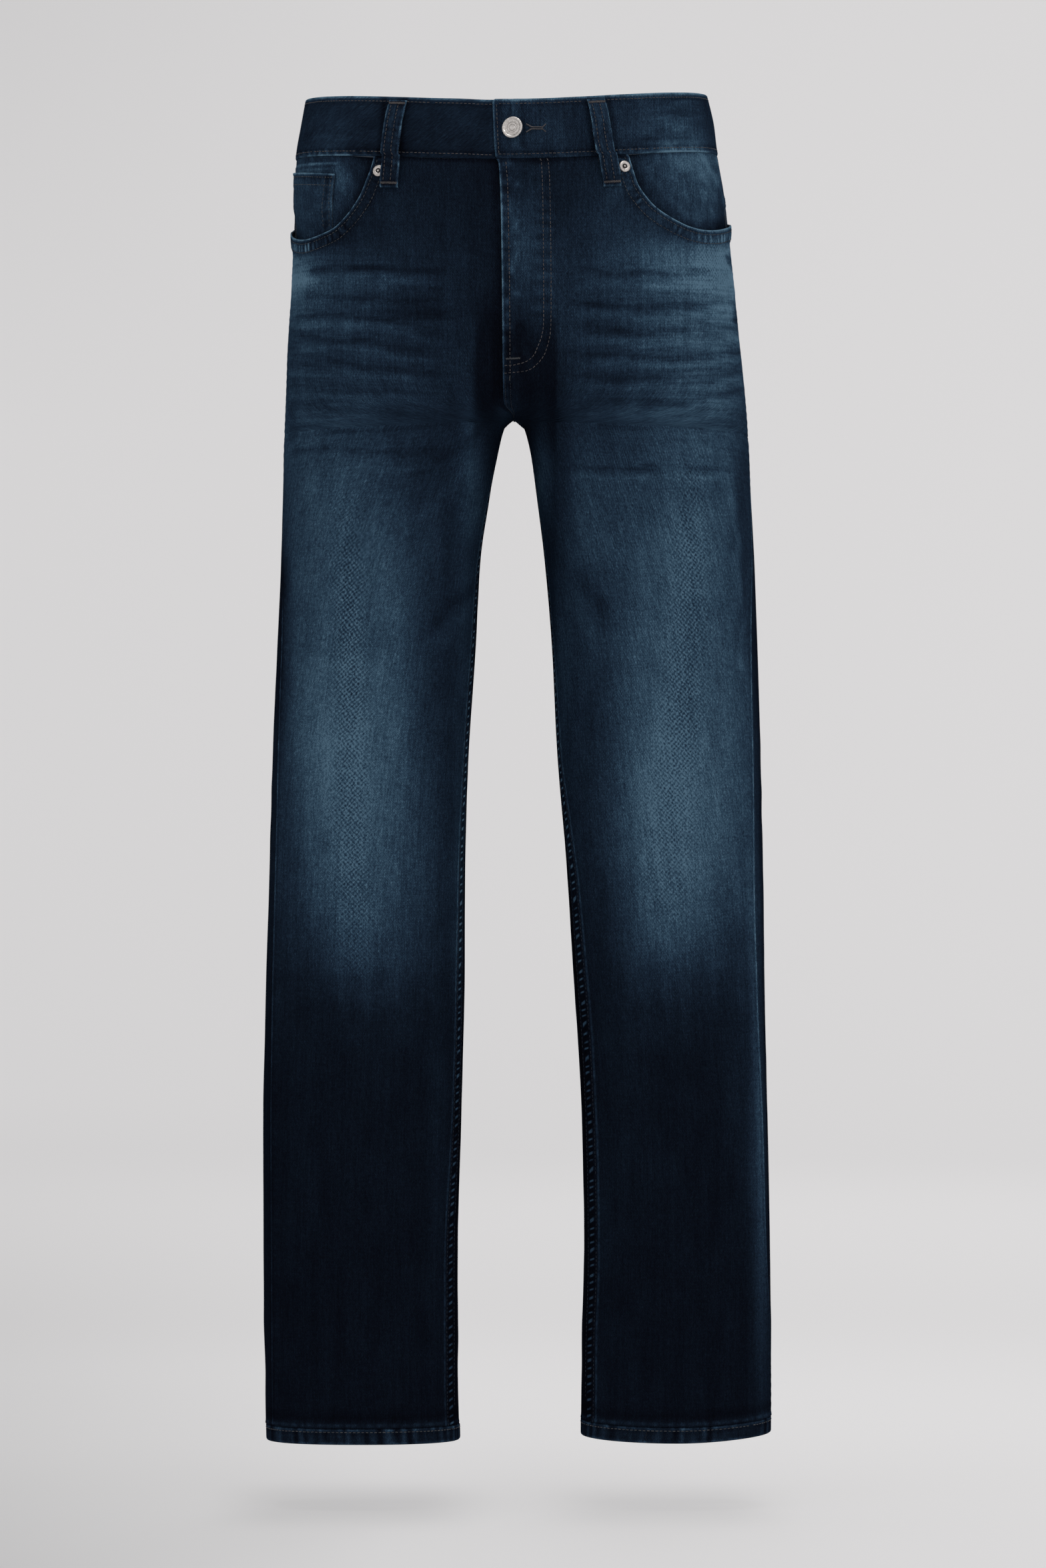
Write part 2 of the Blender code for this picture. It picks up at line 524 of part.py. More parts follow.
def main():
    for obj in list(bpy.data.objects):
        bpy.data.objects.remove(obj)
    group = bpy.data.collections.new(NAME)
    bpy.context.scene.collection.children.link(group)

    form = Form()
    side_of = {s: whole_side(form, s) for s in (-1, 1)}
    share_normals(list(side_of.values()))
    blue, dark, worn = (0.012, 0.030, 0.062), (0.007, 0.014, 0.030), (0.030, 0.065, 0.110)
    steel = (0.62, 0.61, 0.60)
    top, foot = WAIST_SEAM - SEAM_GAP / 2, HEM_SEAM + SEAM_GAP / 2
    depth = {1: DENIM + SEAM_GAP, -1: DENIM + 2 * SEAM_GAP + PATCH}

    # front panels; the right one runs on beneath the fly
    for s in (1, -1):
        mu, mh = mouth(s)
        outline = row(0.0 if s < 0 else gap_u(form, s, 0, top), mu[0], top)
        outline += list(zip(mu[1:-1], mh[1:-1]))
        outline += edge(form, s, 1, mh[-1], foot, -1)
        outline += row(1 - gap_u(form, s, 1, foot), gap_u(form, s, 0, foot), foot)[1:-1]
        if s > 0:
            outline += edge(form, s, 0, top, foot, 1)[::-1][:-1]
            sheets = [side_of[s].cut(outline)]
        else:
            outline += edge(form, s, 0, -207.0, foot, 1)[::-1]
            outline += [(0.0, h) for h in ROWS if -205.0 < h < top][::-1]
            recess = DENIM + SEAM_GAP

            def under(u, h):
                along = form.arcs(-1, u, h) - form.arcs(-1, np.zeros_like(u), h)
                return -recess * (1 - smooth((along - 1.0) / 18.0)) * smooth((h + 219.0) / 12.0)

            heights = [top] + [h for h in ROWS if -205.0 < h < top]
            tip = [UNDERLAP_ARC * float(smooth((h + 212.0) / 45.0)) for h in heights]
            reach = [t / float(form.arcs(1, np.array(1.0), np.array(h)) - form.arcs(1, np.array(0.0), np.array(h)))
                     for t, h in zip(tip, heights)]
            lap = [(0.0, h) for h in heights] + [(r, h) for r, h in zip(reach, heights)][::-1]
            sheets = [side_of[s].cut(outline).move(under), side_of[1].cut(lap).move(-recess)]
        cloth("front_" + name_of(s), group, sheets, DENIM, blue)

    # back panels and yokes
    yu, yh = np.array(YOKE["u"]), np.array(YOKE["h"])
    for s in (1, -1):
        e1, e2 = gap_u(form, s, 1.25, -80), gap_u(form, s, 2, -90)
        along = list(zip(np.clip(yu, 1 + e1, 2 - e2), yh))
        low = [(u, h - SEAM_GAP / 2) for u, h in along]
        high = [(u, h + SEAM_GAP / 2) for u, h in along]
        panel = low + edge(form, s, 2, yh[-1] - SEAM_GAP / 2, foot, -1)[1:]
        panel += row(2 - gap_u(form, s, 2, foot), 1 + gap_u(form, s, 1.25, foot), foot)[1:-1]
        panel += edge(form, s, 1, yh[0] - SEAM_GAP / 2, foot, 1)[::-1][:-1]
        cloth("back_" + name_of(s), group, [side_of[s].cut(panel)], DENIM, blue)
        yoke = row(1 + e1, 2 - e2, top) + edge(form, s, 2, top, yh[-1] + SEAM_GAP / 2, -1)[1:-1] + high[::-1]
        yoke += edge(form, s, 1, top, yh[0] + SEAM_GAP / 2, 1)[::-1][1:-1]
        cloth("yoke_" + name_of(s), group, [side_of[s].cut(yoke)], DENIM, blue)

    # hip facings behind the pocket mouths, and the coin pocket on the right one
    for s in (1, -1):
        g = 1 - gap_u(form, s, 1, -60)
        corner = [(0.385, top), (g, top), (g, -107.0), (0.74, -114.0), (0.52, -104.0), (0.385, -70.0)]
        outline = row(0.385, g, top) + corner[2:]

        def behind(u, h, s=s):
            return -depth[s] * (1 - 0.96 * smooth((mouth_distance(s, u, h) - 3.5) / 20.0))

        line = list(zip(*mouth(s, 3.0)))
        line = [(line[0][0], top + 4.0)] + line + [(1.03, line[-1][1])]
        facing = side_of[s].cut(outline, lines=[line]).move(behind)
        cloth("hip_facing_" + name_of(s), group, [facing], PATCH, blue)
        if s < 0:
            coin = facing.cut(list(zip(COIN["u"], COIN["h"]))).move(SEAM_GAP + PATCH)
            cloth("coin_pocket", group, [coin], PATCH, worn)

    # back patch pockets
    for s in (1, -1):
        patch = side_of[s].cut(list(zip(BACK_POCKET["u"], BACK_POCKET["h"]))).move(SEAM_GAP + PATCH)
        cloth("back_pocket_" + name_of(s), group, [patch], PATCH, blue)

    # waistband: one strip from the tab end on the left, round the back, to its end beneath the tab
    low = WAIST_SEAM + SEAM_GAP / 2
    inner_lap = BAND + SEAM_GAP

    def step(u, h):
        along = form.arcs(-1, u, h) - form.arcs(-1, np.zeros_like(u), h)
        return BAND_PROUD - inner_lap * (1 - smooth((along - 2.0) / 28.0))

    tab = gap_u(form, 1, 0, 0)
    left = row(tab, 2.0, WAIST_TOP) + row(2.0, tab, low)
    right = row(0.0, 2.0, WAIST_TOP) + row(2.0, 0.0, low)
    end = UNDERLAP_ARC / float(form.arcs(1, np.array(1.0), np.array(0.0)) - form.arcs(1, np.array(0.0), np.array(0.0)))
    lap = row(0.0, end, WAIST_TOP - 0.5) + row(end, 0.0, low)
    lap = [(0.0, WAIST_TOP)] + row(0.0, end, WAIST_TOP)[1:] + row(end, 0.0, low)
    cloth("waistband", group, [side_of[1].cut(left).move(BAND_PROUD), side_of[-1].cut(right).move(step),
                               side_of[1].cut(lap).move(BAND_PROUD - inner_lap)], BAND, dark)

    # hems: one turned ring on each leg
    for s in (1, -1):
        ring = row(0.0, 2.0, HEM_SEAM - SEAM_GAP / 2) + row(2.0, 0.0, HEM_END)
        cloth("hem_" + name_of(s), group, [side_of[s].cut(ring).move(HEM_PROUD)], HEM, dark)

    # belt loops, bowed away from the waistband between their bar tacks
    def bow(u, h):
        t = (h - LOOP_BOTTOM) / (LOOP_TOP - LOOP_BOTTOM)
        return BAND_PROUD + LOOP_SEAT + LOOP + LOOP_BOW * np.clip(np.sin(np.clip(t, 0, 1) * math.pi), 0, 1) ** 0.4

    bends = [LOOP_BOTTOM + f * (LOOP_TOP - LOOP_BOTTOM) for f in (0.07, 0.22, 0.5, 0.78, 0.93)]
    for k, name in enumerate(LOOPS["name"]):
        s, ut, ub = LOOPS["side"][k], LOOPS["top_u"][k], LOOPS["bottom_u"][k]
        half = [0.5 * LOOP_WIDTH / abs(float(form.arcs(s, np.array(u + 0.2), np.array(h)) - form.arcs(s, np.array(u), np.array(h)))) * 0.2
                for u, h in ((ut, LOOP_TOP), (ub, LOOP_BOTTOM))]
        outline = [(ut - half[0], LOOP_TOP), (ut + half[0], LOOP_TOP), (ub + half[1], LOOP_BOTTOM), (ub - half[1], LOOP_BOTTOM)]
        lines = [[(ut - 0.1, h), (ut + 0.12, h)] for h in bends]
        cloth(name, group, [side_of[s].cut(outline, lines=lines).move(bow)], LOOP, worn)
    sheets = []
    for s in (1, -1):
        half = 0.5 * LOOP_WIDTH / float(form.arcs(s, np.array(2.0), np.array(0.0)) - form.arcs(s, np.array(1.0), np.array(0.0)))
        outline = [(2 - half, LOOP_TOP), (2.0, LOOP_TOP), (2.0, LOOP_BOTTOM), (2 - half, LOOP_BOTTOM)]
        sheets.append(side_of[s].cut(outline, lines=[[(1.9, h), (2.0, h)] for h in bends]).move(bow))
    cloth("belt_loop_centre", group, sheets, LOOP, worn)

    # shank button and the two pocket rivets
    point, normal = side_of[1].at(BUTTON_AT["u"], BUTTON_AT["h"])
    button = [(0, 1.7), (4.4, 1.7), (6.2, 1.9), (7.0, BUTTON_T - 0.1), (7.7, BUTTON_T), (8.4, BUTTON_T - 0.4),
              (BUTTON_R, 1.9), (8.3, 1.1), (4.8, 0.6), (4.6, 0.0), (0, 0.0)]
    turned("button", group, button, 24, point + normal * (BAND_PROUD + SEAM_GAP), normal, steel, 0.35, 1.0)
    rivet = [(0, RIVET_T), (1.2, RIVET_T), (1.8, 1.0), (3.2, 1.1), (4.3, 0.8), (RIVET_R, 0.25), (RIVET_R, 0.0), (0, 0.0)]
    for k, name in enumerate(RIVETS["name"]):
        point, normal = side_of[RIVETS["side"][k]].at(RIVETS["u"][k], RIVETS["h"][k])
        turned(name, group, rivet, 14, point + normal * (SEAM_GAP + 0.15), normal, steel, 0.4, 1.0)


main()
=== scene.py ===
"""Looks of the straight leg jeans: every cloth piece again in full detail on the CAD form, with its
folds, seams, stitches, washed tones and fittings, in a plain pale studio.

Lengths are in millimetres until a mesh is made.  u runs 0 at the centre front or inseam, 1 at the
outseam and 2 at the centre back or inseam; h is the height along the garment; side is -1 for the
wearer's right (at -X) and 1 for the left, as in the CAD source.
"""
import math

import bpy
import numpy as np
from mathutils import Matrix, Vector
from mathutils.geometry import delaunay_2d_cdt


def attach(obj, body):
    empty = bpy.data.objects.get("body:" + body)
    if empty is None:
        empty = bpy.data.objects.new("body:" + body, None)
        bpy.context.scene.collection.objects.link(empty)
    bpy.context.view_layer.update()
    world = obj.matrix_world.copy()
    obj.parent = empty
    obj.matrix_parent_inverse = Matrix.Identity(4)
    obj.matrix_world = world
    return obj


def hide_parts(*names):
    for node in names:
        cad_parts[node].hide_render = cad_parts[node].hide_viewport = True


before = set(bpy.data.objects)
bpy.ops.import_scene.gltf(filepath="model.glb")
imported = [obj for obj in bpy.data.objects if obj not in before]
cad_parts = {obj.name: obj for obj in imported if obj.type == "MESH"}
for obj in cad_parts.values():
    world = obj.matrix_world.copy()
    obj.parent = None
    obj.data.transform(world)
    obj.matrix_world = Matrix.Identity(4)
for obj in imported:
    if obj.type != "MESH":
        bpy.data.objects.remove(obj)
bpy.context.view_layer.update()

MM = 0.001

# ---------------------------------------------------------------- the CAD source's sizes, repeated
WAIST_TOP, WAIST_SEAM, HEM_SEAM, HEM_END = 22.0, -26.0, -1040.0, -1053.0
CROTCH_H, CROTCH_Y, CROTCH_Z, CENTRE_X = -250.0, 8.0, -235.0, 5.3
FRONT_RISE_H, BACK_RISE_H, RISE_POWER, TILT = -180.0, -170.0, 2.6, 0.0116
SEAM_GAP, DENIM, BAND, BAND_PROUD, PATCH, HEM, HEM_PROUD = 0.3, 1.4, 2.4, 0.4, 1.2, 2.8, 0.4
LOOP, LOOP_BOW, LOOP_SEAT, UNDERLAP_ARC = 2.0, 6.2, 0.75, 46.0
# ---------------------------------------------------------------- the form
OUTER = dict(   # half widths at the outermost point, a column for each leg
    z=(22, 0, -23, -60, -100, -140, -180, -215, -235, -260, -300, -350, -420, -500, -600, -700, -800, -900, -1000, -1053),
    right=(161.0, 165.2, 168.8, 170.1, 171.4, 173.2, 176.0, 176.8, 177.8, 178.6, 180.2, 181.6, 184.2, 187.7, 190.6, 193.8, 195.3, 194.9, 193.8, 192.6),
    left=(160.2, 165.0, 168.2, 174.6, 179.0, 182.9, 186.8, 190.6, 192.2, 193.9, 195.8, 198.7, 200.6, 202.9, 205.2, 206.8, 209.3, 210.6, 211.8, 211.4),
)
INNER = dict(   # half distances of the inner thighs and shins from the middle
    z=(-235, -237, -240, -247, -260, -300, -350, -420, -500, -600, -700, -800, -900, -1000, -1053),
    right=(-5.3, -2.0, 1.4, 4.0, 7.2, 14.6, 21.5, 25.1, 30.4, 33.5, 34.2, 36.7, 39.3, 39.0, 38.0),
    left=(5.3, 9.8, 13.0, 15.6, 19.1, 24.7, 30.8, 36.6, 40.4, 48.3, 54.7, 60.2, 61.9, 59.8, 59.5),
)
DEPTH = dict(   # where front, back and side lie, where their crests fall, and how square a section is
    z=(22, -23, -60, -100, -140, -180, -215, -235, -260, -300, -350, -420, -500, -600, -700, -800, -900, -1000, -1053),
    front=(-100, -107, -111, -113.5, -114.5, -112.5, -109, -106, -102, -96, -89, -81, -73, -66, -61, -58, -56, -55, -54),
    back=(110, 118, 127, 135, 139, 138, 133, 128, 120, 109, 98, 88, 78, 70, 66, 63, 61, 60, 59),
    side=(4, 4, 5, 6, 8, 9, 9, 9, 9, 8, 6, 4, 2, 2, 3, 3, 4, 4, 4),
    front_x=(0.10, 0.12, 0.20, 0.28, 0.36, 0.44, 0.48, 0.50, 0.5, 0.5, 0.5, 0.5, 0.5, 0.5, 0.5, 0.5, 0.5, 0.5, 0.5),
    back_x=(0.10, 0.12, 0.20, 0.32, 0.42, 0.48, 0.50, 0.50, 0.5, 0.5, 0.5, 0.5, 0.5, 0.5, 0.5, 0.5, 0.5, 0.5, 0.5),
    square=(2.15, 2.2, 2.3, 2.35, 2.4, 2.4, 2.4, 2.4, 2.4, 2.45, 2.5, 2.5, 2.5, 2.5, 2.5, 2.5, 2.5, 2.5, 2.5),
)
CENTRE = dict(  # how the rise seams draw in and how the waist dips in front and climbs behind
    z=(22, -23, -60, -100, -125, -140, -160),
    front_in=(0, 0, 0.4, 1.0, 1.5, 2.0, 2.6),
    back_in=(0, 0, 0.5, 1.5, 2.2, 2.8, 3.4),
    front_dip=(-10, -10, -8.5, -6.5, -5, -4.5, -4),
    back_dip=(5, 6, 5, 2, 0, 0, 0),
)
SEAMS = dict(   # outseam ahead (-) or behind (+) of the outermost point; inseam ahead of the innermost
    z=(22, -23, -100, -200, -250, -300, -400, -500, -600, -700, -800, -900, -1000, -1053),
    out_right=(0, 0, 0, -5, -8, -12, -18, -21, -22, -22, -22, -22, -22, -22),
    out_left=(0, 0, 0, -6, -10, -15, -22, -25, -25, -24, -20, -12, 0, 3),
    in_right=(0, 0, 0, 0, 0, 15, 16, 14, 14, 14, 16, 19, 21, 22),
    in_left=(0, 0, 0, 0, 0, 3, 4, 7, 12, 15, 18, 20, 21, 22),
)
SEAM_SET = dict(  # the photograph's outseams run this much further forward than the solids' joint
    z=(-250, -290, -350, -400, -450, -500, -550, -600, -700, -800, -900, -1000, -1053),
    right=(0, -18, -21, -21, -18, -16, -14.5, -12.5, -12, -11, -10.5, -9, -7),
    left=(0, -10, -17, -20, -18, -15, -14.5, -14.5, -11.5, -10, -13, -13, -10),
)
FLY = dict(     # how far the left front laps over the centre line
    z=(22, -25.8, -26.2, -60, -120, -200, -220, -236, -250),
    beyond=(16.8, 14.2, 12.1, 10.2, 9.2, 8.4, 8.0, 5.0, 0.0),
)
HEM_LIFT = dict(  # how the hem line rises round each leg: inner, front, outer, back, inner
    z=(0.0, 0.25, 0.5, 0.75, 1.0),
    right=(0, 0, 0, 0, 0),
    left=(4, 1, 6.5, 3, 4),
)

# ---------------------------------------------------------------- seam lines on the form
# u runs 0 at the centre front or inseam, 1 at the outseam, 2 at the centre back or inseam.
MOUTH = dict(   # front pocket mouths, from the waistband to the outseam
    right_u=(0.452, 0.462, 0.476, 0.490, 0.520, 0.555, 0.592, 0.649, 0.699, 0.750, 0.810, 0.870, 0.930, 1.0),
    right_h=(-26.0, -36.0, -47.0, -57.5, -69.5, -79.0, -85.5, -90.0, -92.5, -93.5, -92.5, -90.0, -86.5, -82.0),
    left_u=(0.440, 0.443, 0.447, 0.452, 0.470, 0.495, 0.528, 0.567, 0.612, 0.662, 0.721, 0.783, 0.890, 1.0),
    left_h=(-26.0, -36.0, -46.5, -52.5, -61.0, -69.0, -75.5, -81.0, -85.5, -88.0, -88.5, -87.5, -84.0, -80.0),
)
YOKE = dict(u=(1.0, 1.25, 1.5, 1.75, 2.0), h=(-66.0, -72.0, -79.0, -88.0, -99.0))
COIN = dict(u=(0.606, 0.985, 0.985, 0.606), h=(-41.0, -36.5, -103.0, -106.0))
BACK_POCKET = dict(u=(1.249, 1.785, 1.655, 1.400, 1.260), h=(-104.0, -113.0, -228.0, -246.0, -226.0))
LOOPS = dict(   # name, side, and the slanted strip from top to bottom
    name=("belt_loop_front_right", "belt_loop_front_left", "belt_loop_back_right", "belt_loop_back_left"),
    side=(-1, 1, -1, 1),
    top_u=(0.375, 0.365, 1.43, 1.43),
    bottom_u=(0.391, 0.369, 1.44, 1.44),
)
LOOP_TOP, LOOP_BOTTOM, LOOP_WIDTH = 18.5, -52.0, 14.5
BUTTON_AT = dict(side=1, u=0.0663, h=-2.0)
RIVETS = dict(name=("rivet_right", "rivet_left"), side=(-1, 1), u=(0.429, 0.415), h=(-38.0, -36.0))

def smooth(t):
    t = np.clip(t, 0.0, 1.0)
    return t * t * (3 - 2 * t)


def curve(table, column, at):
    """A monotone cubic through one column of a table, read at the heights given."""
    x, y = np.array(table["z"], float), np.array(table[column], float)
    if x[0] > x[-1]:
        x, y = x[::-1], y[::-1]
    d = np.diff(y) / np.diff(x)
    m = np.zeros_like(y)
    both = d[1:] + d[:-1]
    m[1:-1] = np.where(d[1:] * d[:-1] > 0, 2 * d[1:] * d[:-1] / np.where(np.abs(both) < 1e-12, 1, both), 0)
    m[0], m[-1] = d[0], d[-1]
    at = np.clip(np.asarray(at, float), x[0], x[-1])
    i = np.clip(np.searchsorted(x, at) - 1, 0, len(x) - 2)
    w = x[i + 1] - x[i]
    t = (at - x[i]) / w
    return ((1 + 2 * t) * (1 - t) ** 2 * y[i] + t * (1 - t) ** 2 * w * m[i]
            + t * t * (3 - 2 * t) * y[i + 1] + t * t * (t - 1) * w * m[i + 1])


def name_of(side):
    return "right" if side < 0 else "left"


def inner_ends(side, h):
    """Front and back ends of the half section: on the centre line above the crotch, on the inner thigh below it."""
    if h <= CROTCH_H:
        z = h + (CROTCH_Z - CROTCH_H) * (1 - float(smooth((CROTCH_H - h) / 80.0)))
        x = float(curve(INNER, name_of(side), z)) * side
        y = CROTCH_Y + (float(curve(DEPTH, "side", z)) - CROTCH_Y) * float(smooth((CROTCH_H - h) / 60.0))
        return (x, y, z), (x, y, z)
    ends = []
    for start, face, sign in ((FRONT_RISE_H, "front", -1), (BACK_RISE_H, "back", 1)):
        top = max(h, start)
        y = float(curve(DEPTH, face, top)) - sign * float(curve(CENTRE, face + "_in", top))
        z = top + float(curve(CENTRE, face + "_dip", top))
        if h < start:
            turn = (start - h) / (start - CROTCH_H) * math.pi / 2
            y = CROTCH_Y + (y - CROTCH_Y) * math.cos(turn) ** (2 / RISE_POWER)
            z = z + (CROTCH_Z - z) * math.sin(turn) ** (2 / RISE_POWER)
        ends.append((CENTRE_X, y, z))
    return tuple(ends)


def half_section(side, h, samples):
    """Points round one side at height h, with the arc lengths to the outermost point and to the end."""
    (xe, ye, ze), (xb, yb, zb) = inner_ends(side, h)
    xo, yo = float(curve(OUTER, name_of(side), h)) * side, float(curve(DEPTH, "side", h))
    xf = xe + (xo - xe) * float(curve(DEPTH, "front_x", h))
    xk = xb + (xo - xb) * float(curve(DEPTH, "back_x", h))
    yf, yk = float(curve(DEPTH, "front", h)), float(curve(DEPTH, "back", h))
    parted = float(smooth((-206.0 - h) / 42.0))
    s = np.linspace(0, 1, samples)
    c, sn = np.cos(s * math.pi / 2), np.sin(s * math.pi / 2)

    def inner(x0, y0, x1, y1):
        p = 2 / (2.6 - 0.3 * float(smooth((-270.0 - h) / 150.0)))
        qx, qy = x1 + (x0 - x1) * c ** p, y0 + (y1 - y0) * sn ** p
        sx, sy = x0 + (x1 - x0) * s, y0 + (y1 - y0) * (0.5 - 0.5 * np.cos(math.pi * s))
        return np.stack([parted * qx + (1 - parted) * sx, parted * qy + (1 - parted) * sy], 1)

    def outer(x0, y0, x1, y1):
        p = 2 / float(curve(DEPTH, "square", h))
        return np.stack([x0 + (x1 - x0) * sn ** p, y1 + (y0 - y1) * c ** p], 1)

    front = np.concatenate([inner(xe, ye, xf, yf), outer(xf, yf, xo, yo)[1:]])
    back = np.concatenate([outer(xk, yk, xo, yo)[::-1][1:], inner(xb, yb, xk, yk)[::-1][1:]])
    line = np.concatenate([front, back])
    arc = np.concatenate([[0], np.cumsum(np.linalg.norm(np.diff(line, axis=0), axis=1))])
    side_arc, total = arc[len(front) - 1], arc[-1]
    z = np.where(arc <= side_arc, h + (ze - h) * 0.5 * (1 + np.cos(math.pi * arc / side_arc)),
                 h + (zb - h) * 0.5 * (1 - np.cos(math.pi * (arc - side_arc) / (total - side_arc))))
    at = np.linspace(0, total, samples)
    return np.stack([np.interp(at, arc, v) for v in (line[:, 0], line[:, 1], z)], 1), side_arc, total


def ease_centre(rows, h, reach=24.0, soft=5.0):
    """Round the section where its halves meet, in front and behind, between the hips and the crotch."""
    amount = float(smooth((-150.0 - h) / 45.0)) * float(smooth((h - CROTCH_H) / 7.0))
    if amount <= 0:
        return rows
    for back in (False, True):
        lines = {s: (rows[s][0][::-1] if back else rows[s][0]) for s in (-1, 1)}
        steps = {s: rows[s][2] / (len(lines[s]) - 1) for s in (-1, 1)}
        count = {s: int(2 * reach / steps[s]) for s in (-1, 1)}
        ring = np.concatenate([lines[-1][1:count[-1]][::-1], lines[1][:count[1]]])
        mid = count[-1] - 1
        place = np.concatenate([-steps[-1] * np.arange(1, count[-1])[::-1], steps[1] * np.arange(count[1])])
        weight = np.exp(-0.5 * ((place[:, None] - place[None, :]) / soft) ** 2)
        eased = (weight / weight.sum(1, keepdims=True)) @ ring
        blend = (amount * (1 - smooth((np.abs(place) - 0.4 * reach) / reach)))[:, None]
        ring = ring * (1 - blend) + eased * blend
        lines[-1][1:count[-1]] = ring[:mid][::-1]
        lines[1][:count[1]] = ring[mid:]
        lines[-1][0] = ring[mid]
    for s in (-1, 1):
        line, side_arc, total = rows[s]
        step = np.linalg.norm(np.diff(line, axis=0), axis=1)
        arc = np.concatenate([[0], np.cumsum(step)])
        at = np.linspace(0, arc[-1], len(line))
        side_arc = float(np.interp(side_arc, np.linspace(0, total, len(line)), arc))
        rows[s] = (np.stack([np.interp(at, arc, line[:, k]) for k in range(3)], 1), side_arc, arc[-1])
    return rows




